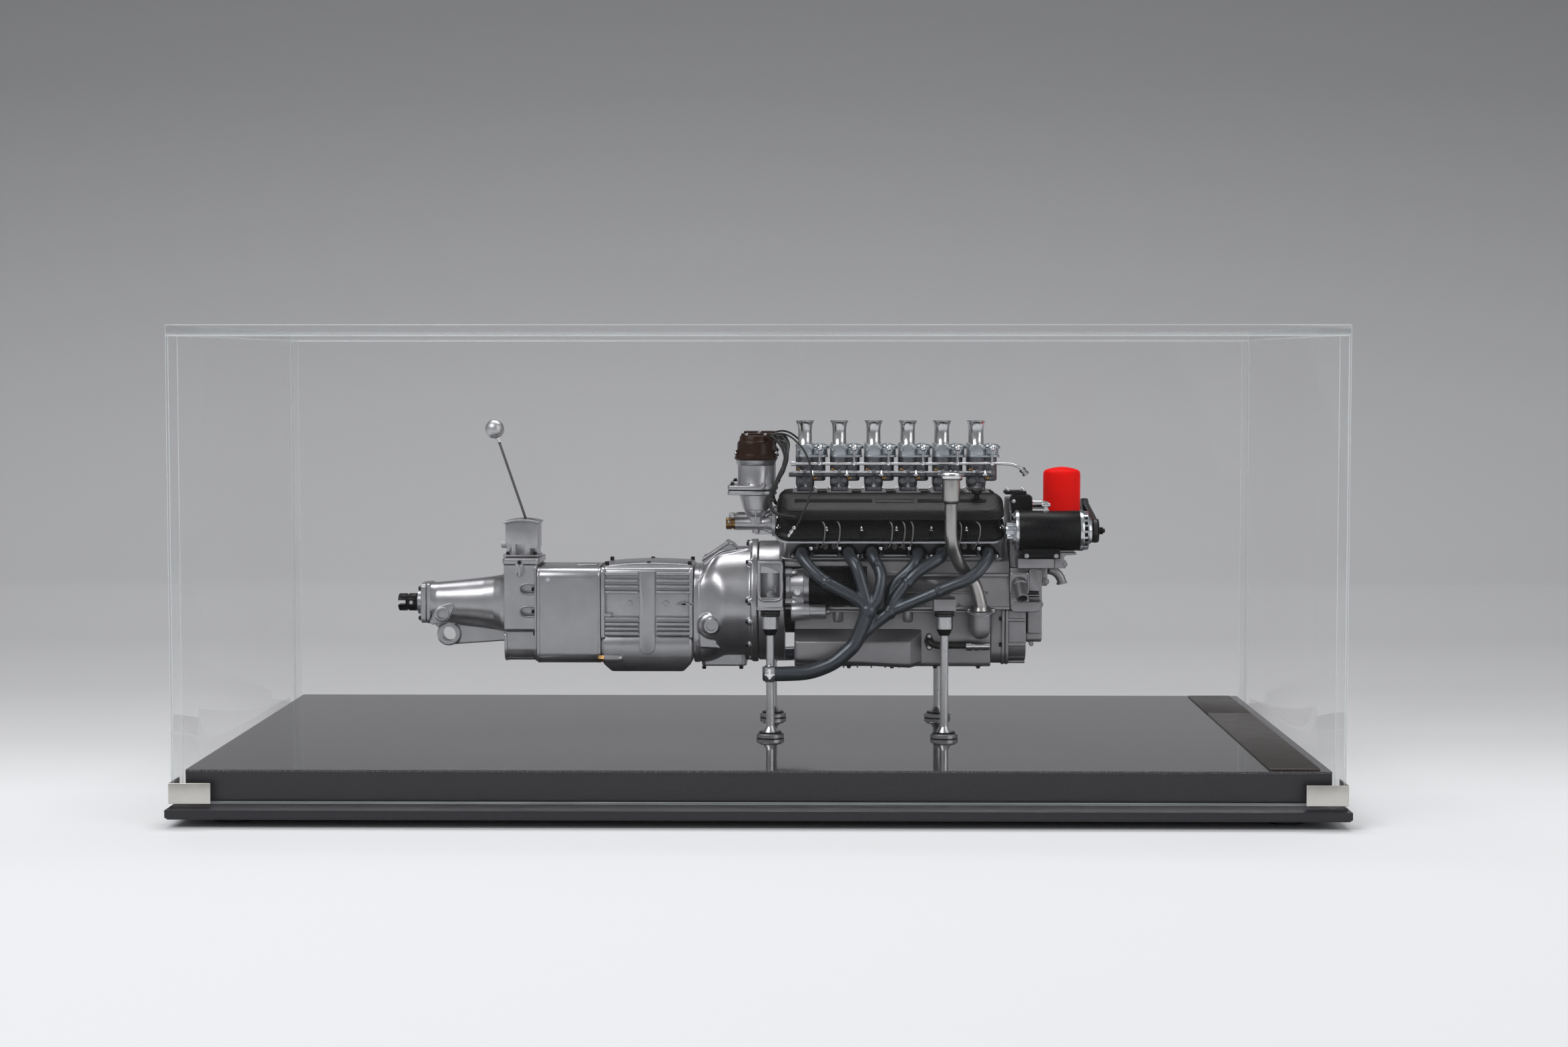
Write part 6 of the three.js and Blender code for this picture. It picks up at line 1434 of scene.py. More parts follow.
def make_pulleys():
    near, far = at(0, *DYNAMO_SPINDLE), at(0, *MAIN_SPINDLE)
    small = lathe(sheave(7.6, SMALL_GROOVE, 6, PULLEY_REAR - 5), "X", near, 64)
    finished(small, "dynamo_sheave", "black_enamel", "dynamo_drive", ["dynamo_pulley"])
    big = lathe(sheave(13.5, LARGE_GROOVE, 6, 194), "X", far, 80)
    holes = [rod(2.0, PULLEY_REAR - 2, PULLEY_REAR + 8, "X",
        far + mm(0, 7 * math.cos(a), 7 * math.sin(a)), 24) for a in (TURN * i / 5 for i in range(5))]
    finished(carved(big, *holes), "main_sheave", "black_enamel", "main_drive", ["main_pulley"])
    for body, centre in (("dynamo_drive", near), ("main_drive", far)):
        nut = lathe(shifted(PULLEY_REAR, [(4.4, 3.4), (4.9, 3.4), (4.9, 2.6), (7.2, 2.6), (7.4, 2.2)]),
            "X", centre, 6)
        end = rod(1.4, PULLEY_REAR + 7, PULLEY_REAR + 8.6, "X", centre, 20)
        finished(joined(nut, end), f"{body}_nut", "blacked_steel", body)
    outer, inner = [hull_round([(*DYNAMO_SPINDLE, SMALL_GROOVE + SEAM + grow), (*MAIN_SPINDLE,
        LARGE_GROOVE + SEAM + grow)], 72) for grow in (2.3, 0)]
    middle = PULLEY_REAR + 2.2
    band = prism(outer, "X", middle - 1.3, middle + 1.3, ENGINE, 0)
    hole = prism(inner, "X", middle - 4, middle + 4, ENGINE, 0)
    belt = soften(carved(band, hole), 0.35, 2)
    finished(belt, "vee_belt", "black_rubber", replaces=["drive_belt"], angle=60)


def make_filter():
    low = 50 + 5.5 + SEAM
    top = low + 32.7
    centre = at(182.1, -4, 0)
    can = lathe([(low + 0.6, 11.4), (low + 0.9, 12.2), (low + 1.6, 12.35), (low + 2.4, 12.2),
        (low + 24, 12.2), (top - 4.6, 12.15), (top - 3.4, 11.9), (top - 2.5, 11.3), (top - 1.9, 10.3),
        (top - 1.2, 8.2), (top - 0.5, 5.2), (top - 0.1, 2.2), (top, 0.4)], "Z", centre, 96)
    finished(can, "filter_canister", "filter_red", replaces=["oil_filter"], angle=60)
    seat = lathe([(low, 7), (low + 0.2, 10.6), (low + 0.8, 10.6)], "Z", centre, 64)
    finished(seat, "filter_gasket", "black_rubber")
    base = lathe([(50 - 2, 9), (50 - 1.4, 10.2), (50 + 4.8, 10.8), (50 + 5.4, 10.4)], "Z", centre, 64)
    finished(base, "filter_base", "cast_grey")


def make_starter():
    s = 0.6
    nose_end = s + 15.4
    y, z = -37.5, 12.5
    nose = lathe([(s, 10.6), (s + 0.6, 11.4), (s + 3, 11.5), (s + 3.6, 10.6), (s + 9, 11.2),
        (s + 11.6, 11.6), (s + 12, 12.6), (nose_end, 12.6)], "X", at(0, y, z), 64)
    ears = [rod(2.4, s, s + 4.4, "X", at(0, y + dy, z + dz), 28) for dy, dz in ((-8.6, 9.6), (-9, -9.4))]
    collar = lathe([(s + 4, 6), (s + 4.4, 6.2), (s + 12, 6.2)], "X", at(0, -45.6, -3.5), 40)
    yoke = block(at(s + 3.8, -46.5, -5), at(s + 12.6, -36, 7), 1.6)
    solenoid = lathe(shifted(s, [(12, 5.5), (15.8, 5.5), (16, 4.8), (26, 4.8), (26.6, 4.2), (26.8, 1.6),
        (28.6, 1.6)]), "X", at(0, -45.6, -3.5), 48)
    finished(joined(nose, *ears, collar, yoke, solenoid), "starter_nose", "cast_silver",
        replaces=["starter_motor"], angle=40)
    body = lathe([(nose_end - 0.2, 12.4), (nose_end, 13), (s + 50.6, 13), (s + 51.4, 12.4),
        (s + 52.6, 10.4), (s + 52.6, 4)], "X", at(0, y, z), 72)
    band = lathe(shifted(s, [(44, 13), (44.1, 13.3), (49.9, 13.3), (50, 13)]), "X", at(0, y, z), 72)
    finished(joined(band, body), "starter_body", "black_enamel", angle=40)
    bolts = [standing(at(s + 4.4, y + dy, z + dz), (1, 0, 0)) for dy, dz in ((-8.6, 9.6), (-9, -9.4))]
    bolts += [standing(at(s + 8, y - 11.6, z - 3), (0, -1, 0))]
    fastened(stud_nut(1.6, 3.2), bolts, "starter_bolts", "bright_plate")


# Transmission

BELL_FRONT, BELL_REAR = -17 - SEAM - 4.5, -17 - SEAM - 4.5 - 37.5
BOX_LENGTH, MID_LENGTH, TOWER_LENGTH = 60, 41.6, 22
BOX_REAR = BELL_REAR - SEAM - BOX_LENGTH
MID_REAR = BOX_REAR - SEAM - MID_LENGTH
TOWER_REAR = MID_REAR - SEAM - TOWER_LENGTH
TAIL_REAR = TOWER_REAR - 52.2
PLATE_REAR = TAIL_REAR - SEAM - 3.4
# The output shaft's height, and the lever's pivot along the engine
SHAFT_UP, LEVER_X = -1.5, -169.9
# Where the bell's flange screws stand, in degrees round from the far side
FLANGE_BOLTS = (4, 44.3, 77.5, 102.5, 135.7, 176, 196.2, 223, 250, 290, 317, 343.8)


def make_clutch():
    """The ring-shaped housing, with a mount each side that is open in front over its post."""
    disc = lathe([(-17, 38.4), (-16.6, 39.4), (-0.6, 39.6), (0, 39)], "X", at(0, 0, 0), 144)
    arm = prism([(-16.9, 0), (-0.6, 0), (-0.6, 27), (-1.6, 30), (-16.9, 30)], "Y", -57.4, -26, ENGINE,
        0.7)
    window = prism([(-14.9, 6.6), (-2.7, 6.6), (-2.7, 22.4), (-14.9, 28.2)], "Y", -60, -53, ENGINE, 0)
    hollow = rod(6.05, 6.6, 22, "Z", at(-8.8, -52.4, 0), 40, 0)
    arm = soften(carved(arm, window, hollow), 0.4, 2)
    ledge = block(at(-17.3, -57.8, -1.9), at(-0.2, -40, 0.4), 0.5)
    rim = tube([at(x, -57.5, z) for x, z in ((-16, 28.4), (-16, 18), (-16, 9.2), (-15.1, 5.8),
        (-12.5, 4.7), (-8.8, 4.6), (-5.1, 4.7), (-2.5, 5.8), (-1.6, 9.2), (-1.6, 22))], 1.0)
    brow = [tube([at(-15.6, -57.3, 28.6), at(-1.8, -57.3, 28.6)], 0.8),
        tube([at(-15.6, -57.3, 27.6), at(-8, -57.3, 26.4), at(-1.8, -57.3, 22.6)], 0.7)]
    finished(joined(both_sides(joined(ledge, rim, *brow, arm)), disc), "clutch_casting", "cast_silver",
        replaces=["clutch_housing"])
    washer = rod(3.2, 6.6, 7.6, "Z", at(-9.1, -51, 0), 32)
    nut = lathe([(7.6, 2.3), (9.6, 2.3), (9.8, 1.9), (9.8, 1), (10.8, 1)], "Z", at(-9.1, -51, 0), 6)
    finished(both_sides(joined(washer, nut)), "mount_nuts", "turned_steel")


def bell_shape(x):
    """The bell's section at x: its middle height, half width, half height and roundness."""
    share = min(1, max(0, (x + 56) / 18))
    girth = share * share * (3 - 2 * share)
    return mix(-8.1, -1.2, girth), mix(31, 38.2, girth), mix(31.4, 37, girth), mix(4, 2, girth)


def bell_flank(x, z):
    """The place on the bell's far flank at a height."""
    middle, half_width, half_height, roundness = bell_shape(x)
    rise = min(0.999, abs(z - middle) / half_height)
    return at(x, half_width * (1 - rise ** roundness) ** (1 / roundness), z)


def make_bell():
    """A dome that swells from a squarish collar to the round flange."""
    stations = [BELL_REAR, BELL_REAR + 1.5] + [BELL_REAR + 3 + 1.5 * i
        for i in range(24)] + [BELL_FRONT + 1]
    rings = []
    for x in stations:
        middle, half_width, half_height, roundness = bell_shape(x)
        rings.append(section(x, 0, middle, half_width, half_height, roundness, 96))
    shell = skin(rings)
    collar = skin([section(x, 0, -8.1, 31.6 - cut, 32 - cut, 4, 96)
        for x, cut in ((BELL_REAR, 0.5), (BELL_REAR + 0.5, 0), (BELL_REAR + 3.4, 0),
        (BELL_REAR + 4.4, 0.9))])
    f = BELL_FRONT
    flange = lathe(shifted(f, [(0, 39.4), (0.4, 40.4), (0.8, 40.65), (2, 40.65), (2.1, 40.1), (2.4, 40.1),
        (2.5, 40.65), (4.2, 40.65), (4.5, 40.2)]), "X", at(0, 0, 0), 144)
    pan = slab((-54.4, -18), (-24.8, 18), 4, "Z", -42, -30, 0.8)
    seat = prism([(-54.6, 26.2), (-54.2, 27), (-36.9, 38.6), (-34.8, 38.6), (-31.4, 35.4), (-36, 30),
        (-50, 20)], "Y", -12.6, 12.6, ENGINE, 0.5)
    boss = lathe([(27, 10), (31.6, 9.6), (34, 8), (35.4, 5.4), (35.6, 3)], "Y", at(-47.4, 0, -13.8), 56)
    nose = lathe([(33, 6.7), (35.6, 6.3), (37, 5), (37.9, 4.5), (37.9, 3.2), (35.9, 3)], "Y",
        at(-47.4, 0, -13.8), 56)
    ridge = tube([bell_flank(x, z) for x, z in ((-57.4, 11.4), (-54.4, 16.6), (-51.3, 21.2),
        (-48.6, 25.6), (-45.9, 29), (-41.5, 31.6), (-36, 32.7), (-28, 33.9), (-21.8, 34.8))], 0.85, 4, 8)
    corner = prism([(-55.2, -19.6), (-54.8, -28.2), (-41, -29), (-47, -22.4)], "Y", 28, 32.8, ENGINE, 0.5)
    pads = []
    for degrees in FLANGE_BOLTS:
        a = math.radians(degrees)
        pads.append(lathe([(f - 2, 2), (f + 0.5, 2.4)], "X",
            at(0, 38.6 * math.cos(a), 38.6 * math.sin(a)), 20))
    whole = joined(both_sides(joined(boss, ridge, corner)), collar, flange, pan, seat, *pads, shell)
    whole = welded(whole, 0.5, 4, 0.5)
    plate = prism([(-54.6, 26.9), (-54.3, 28), (-37, 39.7), (-36.2, 38.6)], "Y", -13.8, 13.8, ENGINE,
        0.25)
    finished(joined(both_sides(nose), plate, whole), "bell_casting", "cast_silver",
        replaces=["bell_housing"], angle=50)
    bolts = [standing(at(f - 1.4, 38.9 * math.cos(math.radians(d)), 38.9 * math.sin(math.radians(d))),
        (-1, 0, 0)) for d in FLANGE_BOLTS]
    bolts += [standing(at(x, side * 16, -42), (0, 0, -1)) for x in (-52.9, -28.5) for side in (-1, 1)]
    fastened(cap_screw(1.35, 2), bolts, "bell_bolts", "blacked_steel")
    aim = Vector((-11.9, 0, 17.7)).normalized()
    screws = [standing(at(-54.3 + 17.3 * k, y, 28 + 11.7 * k), aim) for k in (0.08, 0.92)
        for y in (-11.6, 11.6)]
    fastened(cap_screw(0.9, 0.7), screws, "hatch_screws", "cast_silver")


def make_gearbox():
    """A case with two ribbed panels each side of a plain band, an arched lid and a deep pan."""
    front = BOX_REAR + BOX_LENGTH
    case = across(27.2, -23.4, 23.7, [2, 2, 4, 4], BOX_REAR, front, 0.7)
    ends = [across(30.4, -23.4, 23.7, [2, 2, 4, 4], x, x + 2.6, 0.6) for x in (BOX_REAR, front - 2.6)]
    relief = [slab((-94.5, -32.8), (-84.2, 21.6), [4.8, 4.8, 0.6, 0.6], "Y", 25, 31, 0.5)]
    for low, high in ((-117, -95), (-83.6, -61)):
        for z in (19.7, 15.2, 11.3, 7.6, -9.7, -13.3, -16.3, -19.2):
            relief.append(slab((low, z - 0.95), (high, z + 0.95), 0.9, "Y", 26, 31.2, 0.75, 3))
    for x in (-101.1, -77.2):
        relief.append(lathe([(26, 2), (29.4, 1.8), (29.4, 1.15), (28.6, 1.1)], "Y", at(x, 0, 0), 32))
    nails = ([(-69.8, -0.3, 0.35), (-66, -0.3, 0.8)], [(-65.7, -0.3, 1.7), (-65.5, -0.3, 1.7)],
        [(-65.6, -0.3, 0.9), (-60, -0.3, 0.8)], [(-113.6, -7.3, 1.3), (-116.8, -7.3, 1.1)])
    for discs in nails:
        relief.append(strap(discs, 20, "Y", 26, 30.4, 0.3))
    boss = lathe([(-117.6, 2.9), (-117.2, 3.2), (-108, 3), (-106, 2.2), (-105.2, 1)], "X",
        at(0, 29.4, -35.6), 32)
    cover = slab((BOX_REAR + 0.8, -25), (front - 0.6, 25), 4, "Z", 23, 24.4, 0.4)
    crown = prism([(-118.4, 23), (-116.6, 24.6), (-108, 25.5), (-98, 26.1), (-88, 26.4), (-76, 26.1),
        (-66, 25.6), (-61, 25.2), (-60.2, 23)], "Y", -23.6, 23.6, ENGINE, 0.8)
    pan = moved(stacked((BOX_REAR + 0.2, -28.8), (front - 0.2, 28.8), 3,
        [(7.4, -45.1), (6, -44.6), (1.6, -40), (0, -37.2), (-0.8, -34), (-1.2, -28), (-1.2, -25.6),
        (-0.4, -22.8), (0.6, -21)]), Matrix.Translation(ENGINE))
    whole = joined(both_sides(joined(*relief, boss)), *ends, cover, crown, pan, case)
    finished(whole, "gearbox_casting", "cast_silver", replaces=["gearbox_case"])
    bolts = [standing(at(x, side * 22, 24.6)) for x in (-116, -88.6, -62) for side in (-1, 1)]
    fastened(cap_screw(1.35, 2.6), bolts, "gearbox_bolts", "blacked_steel")
    plug = lathe([(-121.4, 1.6), (-121.3, 2.4), (-118.2, 2.4), (-117.4, 2.6)], "X", at(0, 31.8, -35.6), 6)
    finished(both_sides(plug), "drain_plug", "brass")


def make_middle_case():
    front = MID_REAR + MID_LENGTH
    case = across(28.6, -39.3, 23.3, 7, MID_REAR, front, 0.5, 8)
    rims = [across(29.2, -39.3, 23.3, 7, x, x + 1.8, 0.5, 8) for x in (MID_REAR, front - 1.8)]
    strip = block(at(-136.8, -9, 23), at(-123.6, 9, 24.2), 0.4)
    finished(joined(*rims, strip, case), "middle_casting", "cast_silver", replaces=["middle_case"])
    screws = [standing(at(-154.1, side * 28.4, 15.5), (0, side, 0)) for side in (-1, 1)]
    fastened(cap_screw(1.6, 1.4), screws, "middle_screws", "bright_alloy")


def make_tail():
    """The tower behind the middle case, the tapering tail and the web with its eye."""
    front = TOWER_REAR + TOWER_LENGTH
    column = across(22, -19, 26, [2, 2, 1, 1], TOWER_REAR, front, 0.8)
    top = slab((TOWER_REAR - 1, -23), (front + 1.4, 23), 3, "Z", 25, 28.9, 0.5)
    lobe = across(16.4, -39.1, -18, [9, 9, 1, 1], TOWER_REAR, front, 0.4, 10)
    toe = across(17.4, -39.4, -20, [9, 9, 3, 3], TOWER_REAR - 0.4, TOWER_REAR + 1.6, 0.4, 10)
    rim = across(24, -39.1, 25, [9, 9, 3, 3], front - 1.8, front, 0.5)
    clip = slab((-176, 17), (-170.6, 25.4), [2.5, 2.5, 0.3, 0.3], "Y", 21, 24.2, 0.5)
    ears = [rod(0.6, 18, 25, "Z", at(x, 24.1, 0), 16) for x in (-174.5, -172.1)]
    rings = [section(mix(TAIL_REAR, TOWER_REAR + 1, share), 0, SHAFT_UP, half_w, half_h, roundness)
        for share, half_w, half_h, roundness in ((0, 13, 13.2, 3), (0.03, 13, 13.2, 2.8),
        (0.12, 13, 13.2, 2.2), (0.3, 13.9, 14.1, 2.15), (0.5, 15, 15.2, 2.15), (0.7, 16.4, 16.4, 2.2),
        (0.84, 18, 17.4, 2.4), (0.93, 19.8, 18.4, 2.8), (1, 21.9, 19.8, 3.6))]
    cone = skin(rings)
    flange = section_plate(TAIL_REAR, TAIL_REAR + 2.4, 13.3, 13.5, 8)
    eye_x, eye_z = TAIL_REAR + 13.6, -22.3
    web = prism([(TAIL_REAR + 1, -13), (eye_x - 7, -19), (eye_x - 7.2, -22.3), (eye_x - 4, -28.4),
        (eye_x + 3, -29.6), (TOWER_REAR + 1, -27), (TOWER_REAR + 1, 0), (TAIL_REAR + 1, 0)], "Y", -2.2,
        2.2, ENGINE, 0.6)
    eye = lathe([(-6, 7.4), (-5.6, 7.75), (5.6, 7.75), (6, 7.4)], "Y", at(eye_x, 0, eye_z), 48)
    boss_x = TAIL_REAR + 10.6
    boss = lathe([(-9, 4.6), (-14.6, 4.4), (-15.2, 5), (-17.2, 5), (-17.6, 4.6), (-17.6, 3.1),
        (-13.4, 2.9)], "Y", at(boss_x, 0, -8.2), 40)
    boss_flange = strap([(boss_x, -8.2, 5.6), (boss_x + 5.8, -3.2, 2.2), (boss_x - 6, -13.2, 2)], 24, "Y",
        -15, -12.4, 0.4)
    whole = welded(joined(column, top, lobe, cone, web, eye), 0.45, 4, 0.5)
    pockets = [prism(rounded((-173, z - 2.9), (front - 1.6, z + 2.9), [2.8, 0.4, 0.4, 2.8]), "Y", *reach,
        ENGINE, 0) for z in (-6, 8.8) for reach in ((-24, -15), (15, 24))]
    drills = [rod(4.75, -9, 9, "Y", at(eye_x, 0, eye_z), 48),
        rod(3.9, TAIL_REAR - 3, TAIL_REAR + 34, "X", at(0, 0, SHAFT_UP), 40)]
    carved(whole, *pockets, *drills)
    carved(flange, rod(3.9, TAIL_REAR - 3, TAIL_REAR + 8, "X", at(0, 0, SHAFT_UP), 40))
    lips = [tube([at(x, 22.05, u) for x, u in ((front - 2, z - 3.2), (-170.4, z - 3.2), (-172.6, z - 2.2),
        (-173.5, z), (-172.6, z + 2.2), (-170.4, z + 3.2), (front - 2, z + 3.2))], 0.55, 3, 6)
        for z in (-6, 8.8)]
    whole = joined(both_sides(joined(clip, *ears, *lips)), rim, toe, boss, boss_flange, flange, whole)
    finished(whole, "tail_casting", "cast_silver", replaces=["tail_casing"], angle=50)
    # A black disc painted at the bottom of the boss's hole as its shade
    mouth = rod(2.7, -14.2, -13.2, "Y", at(boss_x, 0, -8.2), 32)
    finished(mouth, "tail_boss_mouth_shade", "dark_gap")
    bolts = [standing(at(front - 3.8, side * 21, z), (1, 0, 0)) for side in (-1, 1) for z in (-6, 8.8)]
    bolts += [standing(at(-173.3, side * 23.4, 26.6), (0, side, 0)) for side in (-1, 1)]
    bolts += [standing(at(front - 3.2, side * y, z), (1, 0, 0)) for side in (-1, 1)
        for y, z in ((17.6, -20.8), (13, -37))]
    fastened(cap_screw(1.2, 2), bolts, "tower_screws", "blacked_steel")
    back = section_plate(PLATE_REAR, PLATE_REAR + 3.4, 13, 13.2, 8)
    seal = lathe(shifted(PLATE_REAR, [(-3.4, 5.4), (-3.4, 7), (-3, 7.9), (0.4, 7.9)]), "X",
        at(0, 0, SHAFT_UP), 48)
    bored = [carved(piece, rod(3.9, PLATE_REAR - 8, PLATE_REAR + 8, "X", at(0, 0, SHAFT_UP), 40))
        for piece in (seal, back)]
    finished(joined(*bored), "rear_plate_casting", "cast_silver", replaces=["rear_plate"])
    corner = [standing(at(PLATE_REAR, y, SHAFT_UP + z), (-1, 0, 0)) for y in (-9.6, 9.6)
        for z in (-9.8, 9.8)]
    fastened(hex_bolt(1.5, 1.8), corner, "rear_plate_bolts", "blacked_steel")


def section_plate(rear, front, half_width, half_height, roundness=3.4):
    plate = skin([section(rear, 0, SHAFT_UP, half_width - 0.5, half_height - 0.5, roundness),
        section(rear + 0.4, 0, SHAFT_UP, half_width, half_height, roundness),
        section(front - 0.4, 0, SHAFT_UP, half_width, half_height, roundness),
        section(front, 0, SHAFT_UP, half_width - 0.3, half_height - 0.3, roundness)])
    return plate


def make_output():
    front = PLATE_REAR - 3.4 - SEAM
    rear = front - 12.5
    yoke = lathe([(rear, 5), (rear + 0.5, 5.8), (rear + 5.4, 5.8), (rear + 5.8, 5.2), (rear + 6.6, 5.2),
        (rear + 7, 5.8), (front - 0.6, 5.8), (front, 5.2), (front + 0.1, 3.6), (TAIL_REAR + 33.5, 3.6)],
        "X", at(0, 0, SHAFT_UP), 48)
    slots = [block(at(rear - 3, -9, -3), at(rear + 5, 9, 0), 0),
        block(at(rear - 3, -1.5, -10), at(rear + 5, 1.5, 7), 0)]
    finished(soften(carved(yoke, *slots), 0.2, 2), "output_yoke", "black_enamel", "output",
        ["output_shaft"])
    pin = rod(1.3, -6.3, 6.3, "Y", at(rear + 8.8, 0, SHAFT_UP), 20)
    finished(pin, "yoke_pin", "turned_steel", "output")


def arch(low_x, high_x, rise, edge, steps=12):
    """Points of a shallow arch from right to left."""
    middle, half = (low_x + high_x) / 2, (high_x - low_x) / 2
    shares = [1 - 2 * i / steps for i in range(steps + 1)]
    return [(middle + half * s, edge + rise * (1 - s * s)) for s in shares]


def make_turret():
    """A plain block with a shallow arched lid, recessed at its foot for the screws."""
    front, low = MID_REAR - SEAM, 29 + SEAM
    rear = front - 22.4
    body = prism([(rear + 0.4, low + 1), *arch(rear + 0.4, front - 0.4, 1.5, 51.4)[::-1],
        (front - 0.4, low + 1)], "Y", -11, 11, ENGINE, 0.6)
    cuts = [block(at(x0, y0, z0), at(x1, y1, z1), 0) for y0, y1 in ((-12, -5), (5, 12))
        for x0, x1, z0, z1 in ((rear - 1, rear + 4.4, 28, 37), (front - 5.8, front + 1, 28, 34.8))]
    cuts += [block(at(rear + 7.2, y0, 28), at(rear + 13.2, y1, 37.4), 0)
        for y0, y1 in ((-12, -7), (7, 12))]
    lid = prism(arch(rear - 0.6, front + 0.6, 1.6, 52.4) + arch(rear - 0.6, front + 0.6, 1.6, 51)[::-1],
        "Y", -12.3, 12.3, ENGINE, 0.4)
    body = soften(carved(body, *cuts), 0.35, 2)
    dome = joined(*[carved(piece, rod(4.9, 43.9, 60, "Z", at(LEVER_X, 0, 0), 48))
        for piece in (lid, body)])
    seats = [slab((rear - 1.3, -12.4), (front + 0.2, 12.4), 2, "Z", low, low + 1.3, 0.3)]
    boss = lathe(shifted(rear, [(-3.5, 1.8), (-3.3, 2.2), (0.8, 2.2), (1, 1.8)]), "X",
        at(0, 0, low + 7.3), 28)
    finished(joined(*seats, boss, dome), "turret_casting", "cast_silver", replaces=["selector_turret"])
    bolts = [standing(at(x, side * 10.2, low + 1.2)) for side in (-1, 1)
        for x in (rear + 1.9, front - 2.7)]
    fastened(cap_screw(1.15, 2.2), bolts, "turret_screws", "blacked_steel")


def make_lever():
    lean = math.radians(18.8)
    place = Matrix.Translation(at(LEVER_X, 0, 49)) @ Matrix.Rotation(-lean, 4, "Y")
    stick = rod(0.85, 0, 58.6, "Z", Vector((0, 0, 0)), 24)
    pin = rod(1.3, -3.4, 3.4, "Y", sides=24)
    knob = lathe([(61.8, 2.2), (62.1, 3.2), (63.1, 4.6), (64.8, 5.7), (66.6, 6.15), (68.6, 6.15),
        (70.4, 5.7), (72.1, 4.5), (73.3, 2.9), (73.9, 1.5), (74.1, 0.5)], "Z", sides=64)
    nut = lathe([(58.4, 1.2), (58.5, 1.9), (60.6, 1.9), (60.7, 2.4), (61.6, 2.4), (61.9, 1.7)], "Z",
        sides=6)
    for piece, name, look, replaced in ((joined(pin, stick), "lever_stick", "wire_grey", ["gear_lever"]),
            (joined(nut, knob), "lever_knob", "knob_silver", [])):
        piece.data.transform(place)
        finished(piece, name, look, "lever", replaced, 50)
    dress_node("lever_ball", "turned_steel")


# Settings


class ReplicaSizes(bpy.types.PropertyGroup):
    """The sizes that set the view and the light."""

    camera_x: bpy.props.FloatProperty(name="Camera across",
        description="How far right of the middle the camera stands", default=0.037, unit="LENGTH")
    camera_distance: bpy.props.FloatProperty(name="Camera distance",
        description="From the middle of the plinth to the camera", default=1.756, unit="LENGTH")
    camera_height: bpy.props.FloatProperty(name="Camera height",
        description="Height of the camera above the table", default=0.2731, unit="LENGTH")
    camera_pitch: bpy.props.FloatProperty(name="Camera pitch",
        description="How far the camera looks down", default=math.radians(3.38), subtype="ANGLE")
    camera_yaw: bpy.props.FloatProperty(name="Camera yaw",
        description="How far the camera turns to the left", default=math.radians(0.77), subtype="ANGLE")
    camera_lens: bpy.props.FloatProperty(name="Lens",
        description="Focal length on a 36 mm sensor, in millimetres", default=61.5)
    key_power: bpy.props.FloatProperty(name="Key light", description="Power of the largest lamp",
        default=26.0, unit="POWER")
    world_strength: bpy.props.FloatProperty(name="Room light",
        description="Strength of the light from all round", default=0.55)


COLOUR_SETTINGS = {
    # finish: (name, description)
    "cast_silver": ("Bright castings", "Heads, clutch housing and gearbox"),
    "cast_grey": ("Dark castings", "Block, sump and timing cover"),
    "crackle_black": ("Cam covers", "Crackle paint of the cam covers"),
    "exhaust_coating": ("Exhausts", "Coating of the exhaust pipes"),
    "filter_red": ("Oil filter", "Paint of the filter canister"),
    "brown_bakelite": ("Distributor caps", "Moulding of the distributor caps"),
    "woven_deck": ("Deck", "Cloth of the deck, before its light and dark threads"),
    "satin_black": ("Plinth", "Paint of the plinth and its base"),
}


class ReplicaColours(bpy.types.PropertyGroup):
    """The colours of the main finishes."""

    __annotations__ = {look: bpy.props.FloatVectorProperty(name=label, description=about,
        default=linear(RECIPES[look][1])[:3], subtype="COLOR", min=0, max=1)
        for look, (label, about) in COLOUR_SETTINGS.items()}


def running(*makers):
    """The execute method of an operator that calls these makers in order."""
    def execute(self, context):
        for make in makers:
            make()
        return {"FINISHED"}
    return execute


class REPLICA_OT_stage(bpy.types.Operator):
    """Set up the camera, the paper sweep and the soft lamps"""

    bl_idname = "replica.stage"
    bl_label = "Stage"

    def execute(self, context):
        make_stage(context.scene.replica_sizes)
        return {"FINISHED"}


class REPLICA_OT_stand(bpy.types.Operator):
    """Finish the base plate, plinth, deck and plaques"""

    bl_idname = "replica.stand"
    bl_label = "Plinth"
    execute = running(make_stand)


class REPLICA_OT_cover(bpy.types.Operator):
    """Model the acrylic cover and its steel corners"""

    bl_idname = "replica.cover"
    bl_label = "Cover"
    execute = running(make_cover)


class REPLICA_OT_posts(bpy.types.Operator):
    """Turn the four posts and their isolators"""

    bl_idname = "replica.posts"
    bl_label = "Posts"
    execute = running(make_posts)


class REPLICA_OT_heads(bpy.types.Operator):
    """Cast the two heads with their lips and plug recesses"""

    bl_idname = "replica.heads"
    bl_label = "Cylinder heads"
    execute = running(make_heads)


class REPLICA_OT_cam_covers(bpy.types.Operator):
    """Model the cam covers, their studs, nuts and wires"""

    bl_idname = "replica.cam_covers"
    bl_label = "Cam covers"
    execute = running(make_cam_covers)


class REPLICA_OT_exhausts(bpy.types.Operator):
    """Bend the exhaust pipes and model their flanges and clamps"""

    bl_idname = "replica.exhausts"
    bl_label = "Exhausts"
    execute = running(make_exhausts)


class REPLICA_OT_carburettors(bpy.types.Operator):
    """Model one carburettor and copy it along the manifold"""

    bl_idname = "replica.carburettors"
    bl_label = "Carburettors"
    execute = running(make_carburettors)


class REPLICA_OT_linkage(bpy.types.Operator):
    """Bend the fuel rail and build the throttle linkage"""

    bl_idname = "replica.linkage"
    bl_label = "Rail and linkage"
    execute = running(make_fuel_rail, make_throttle)


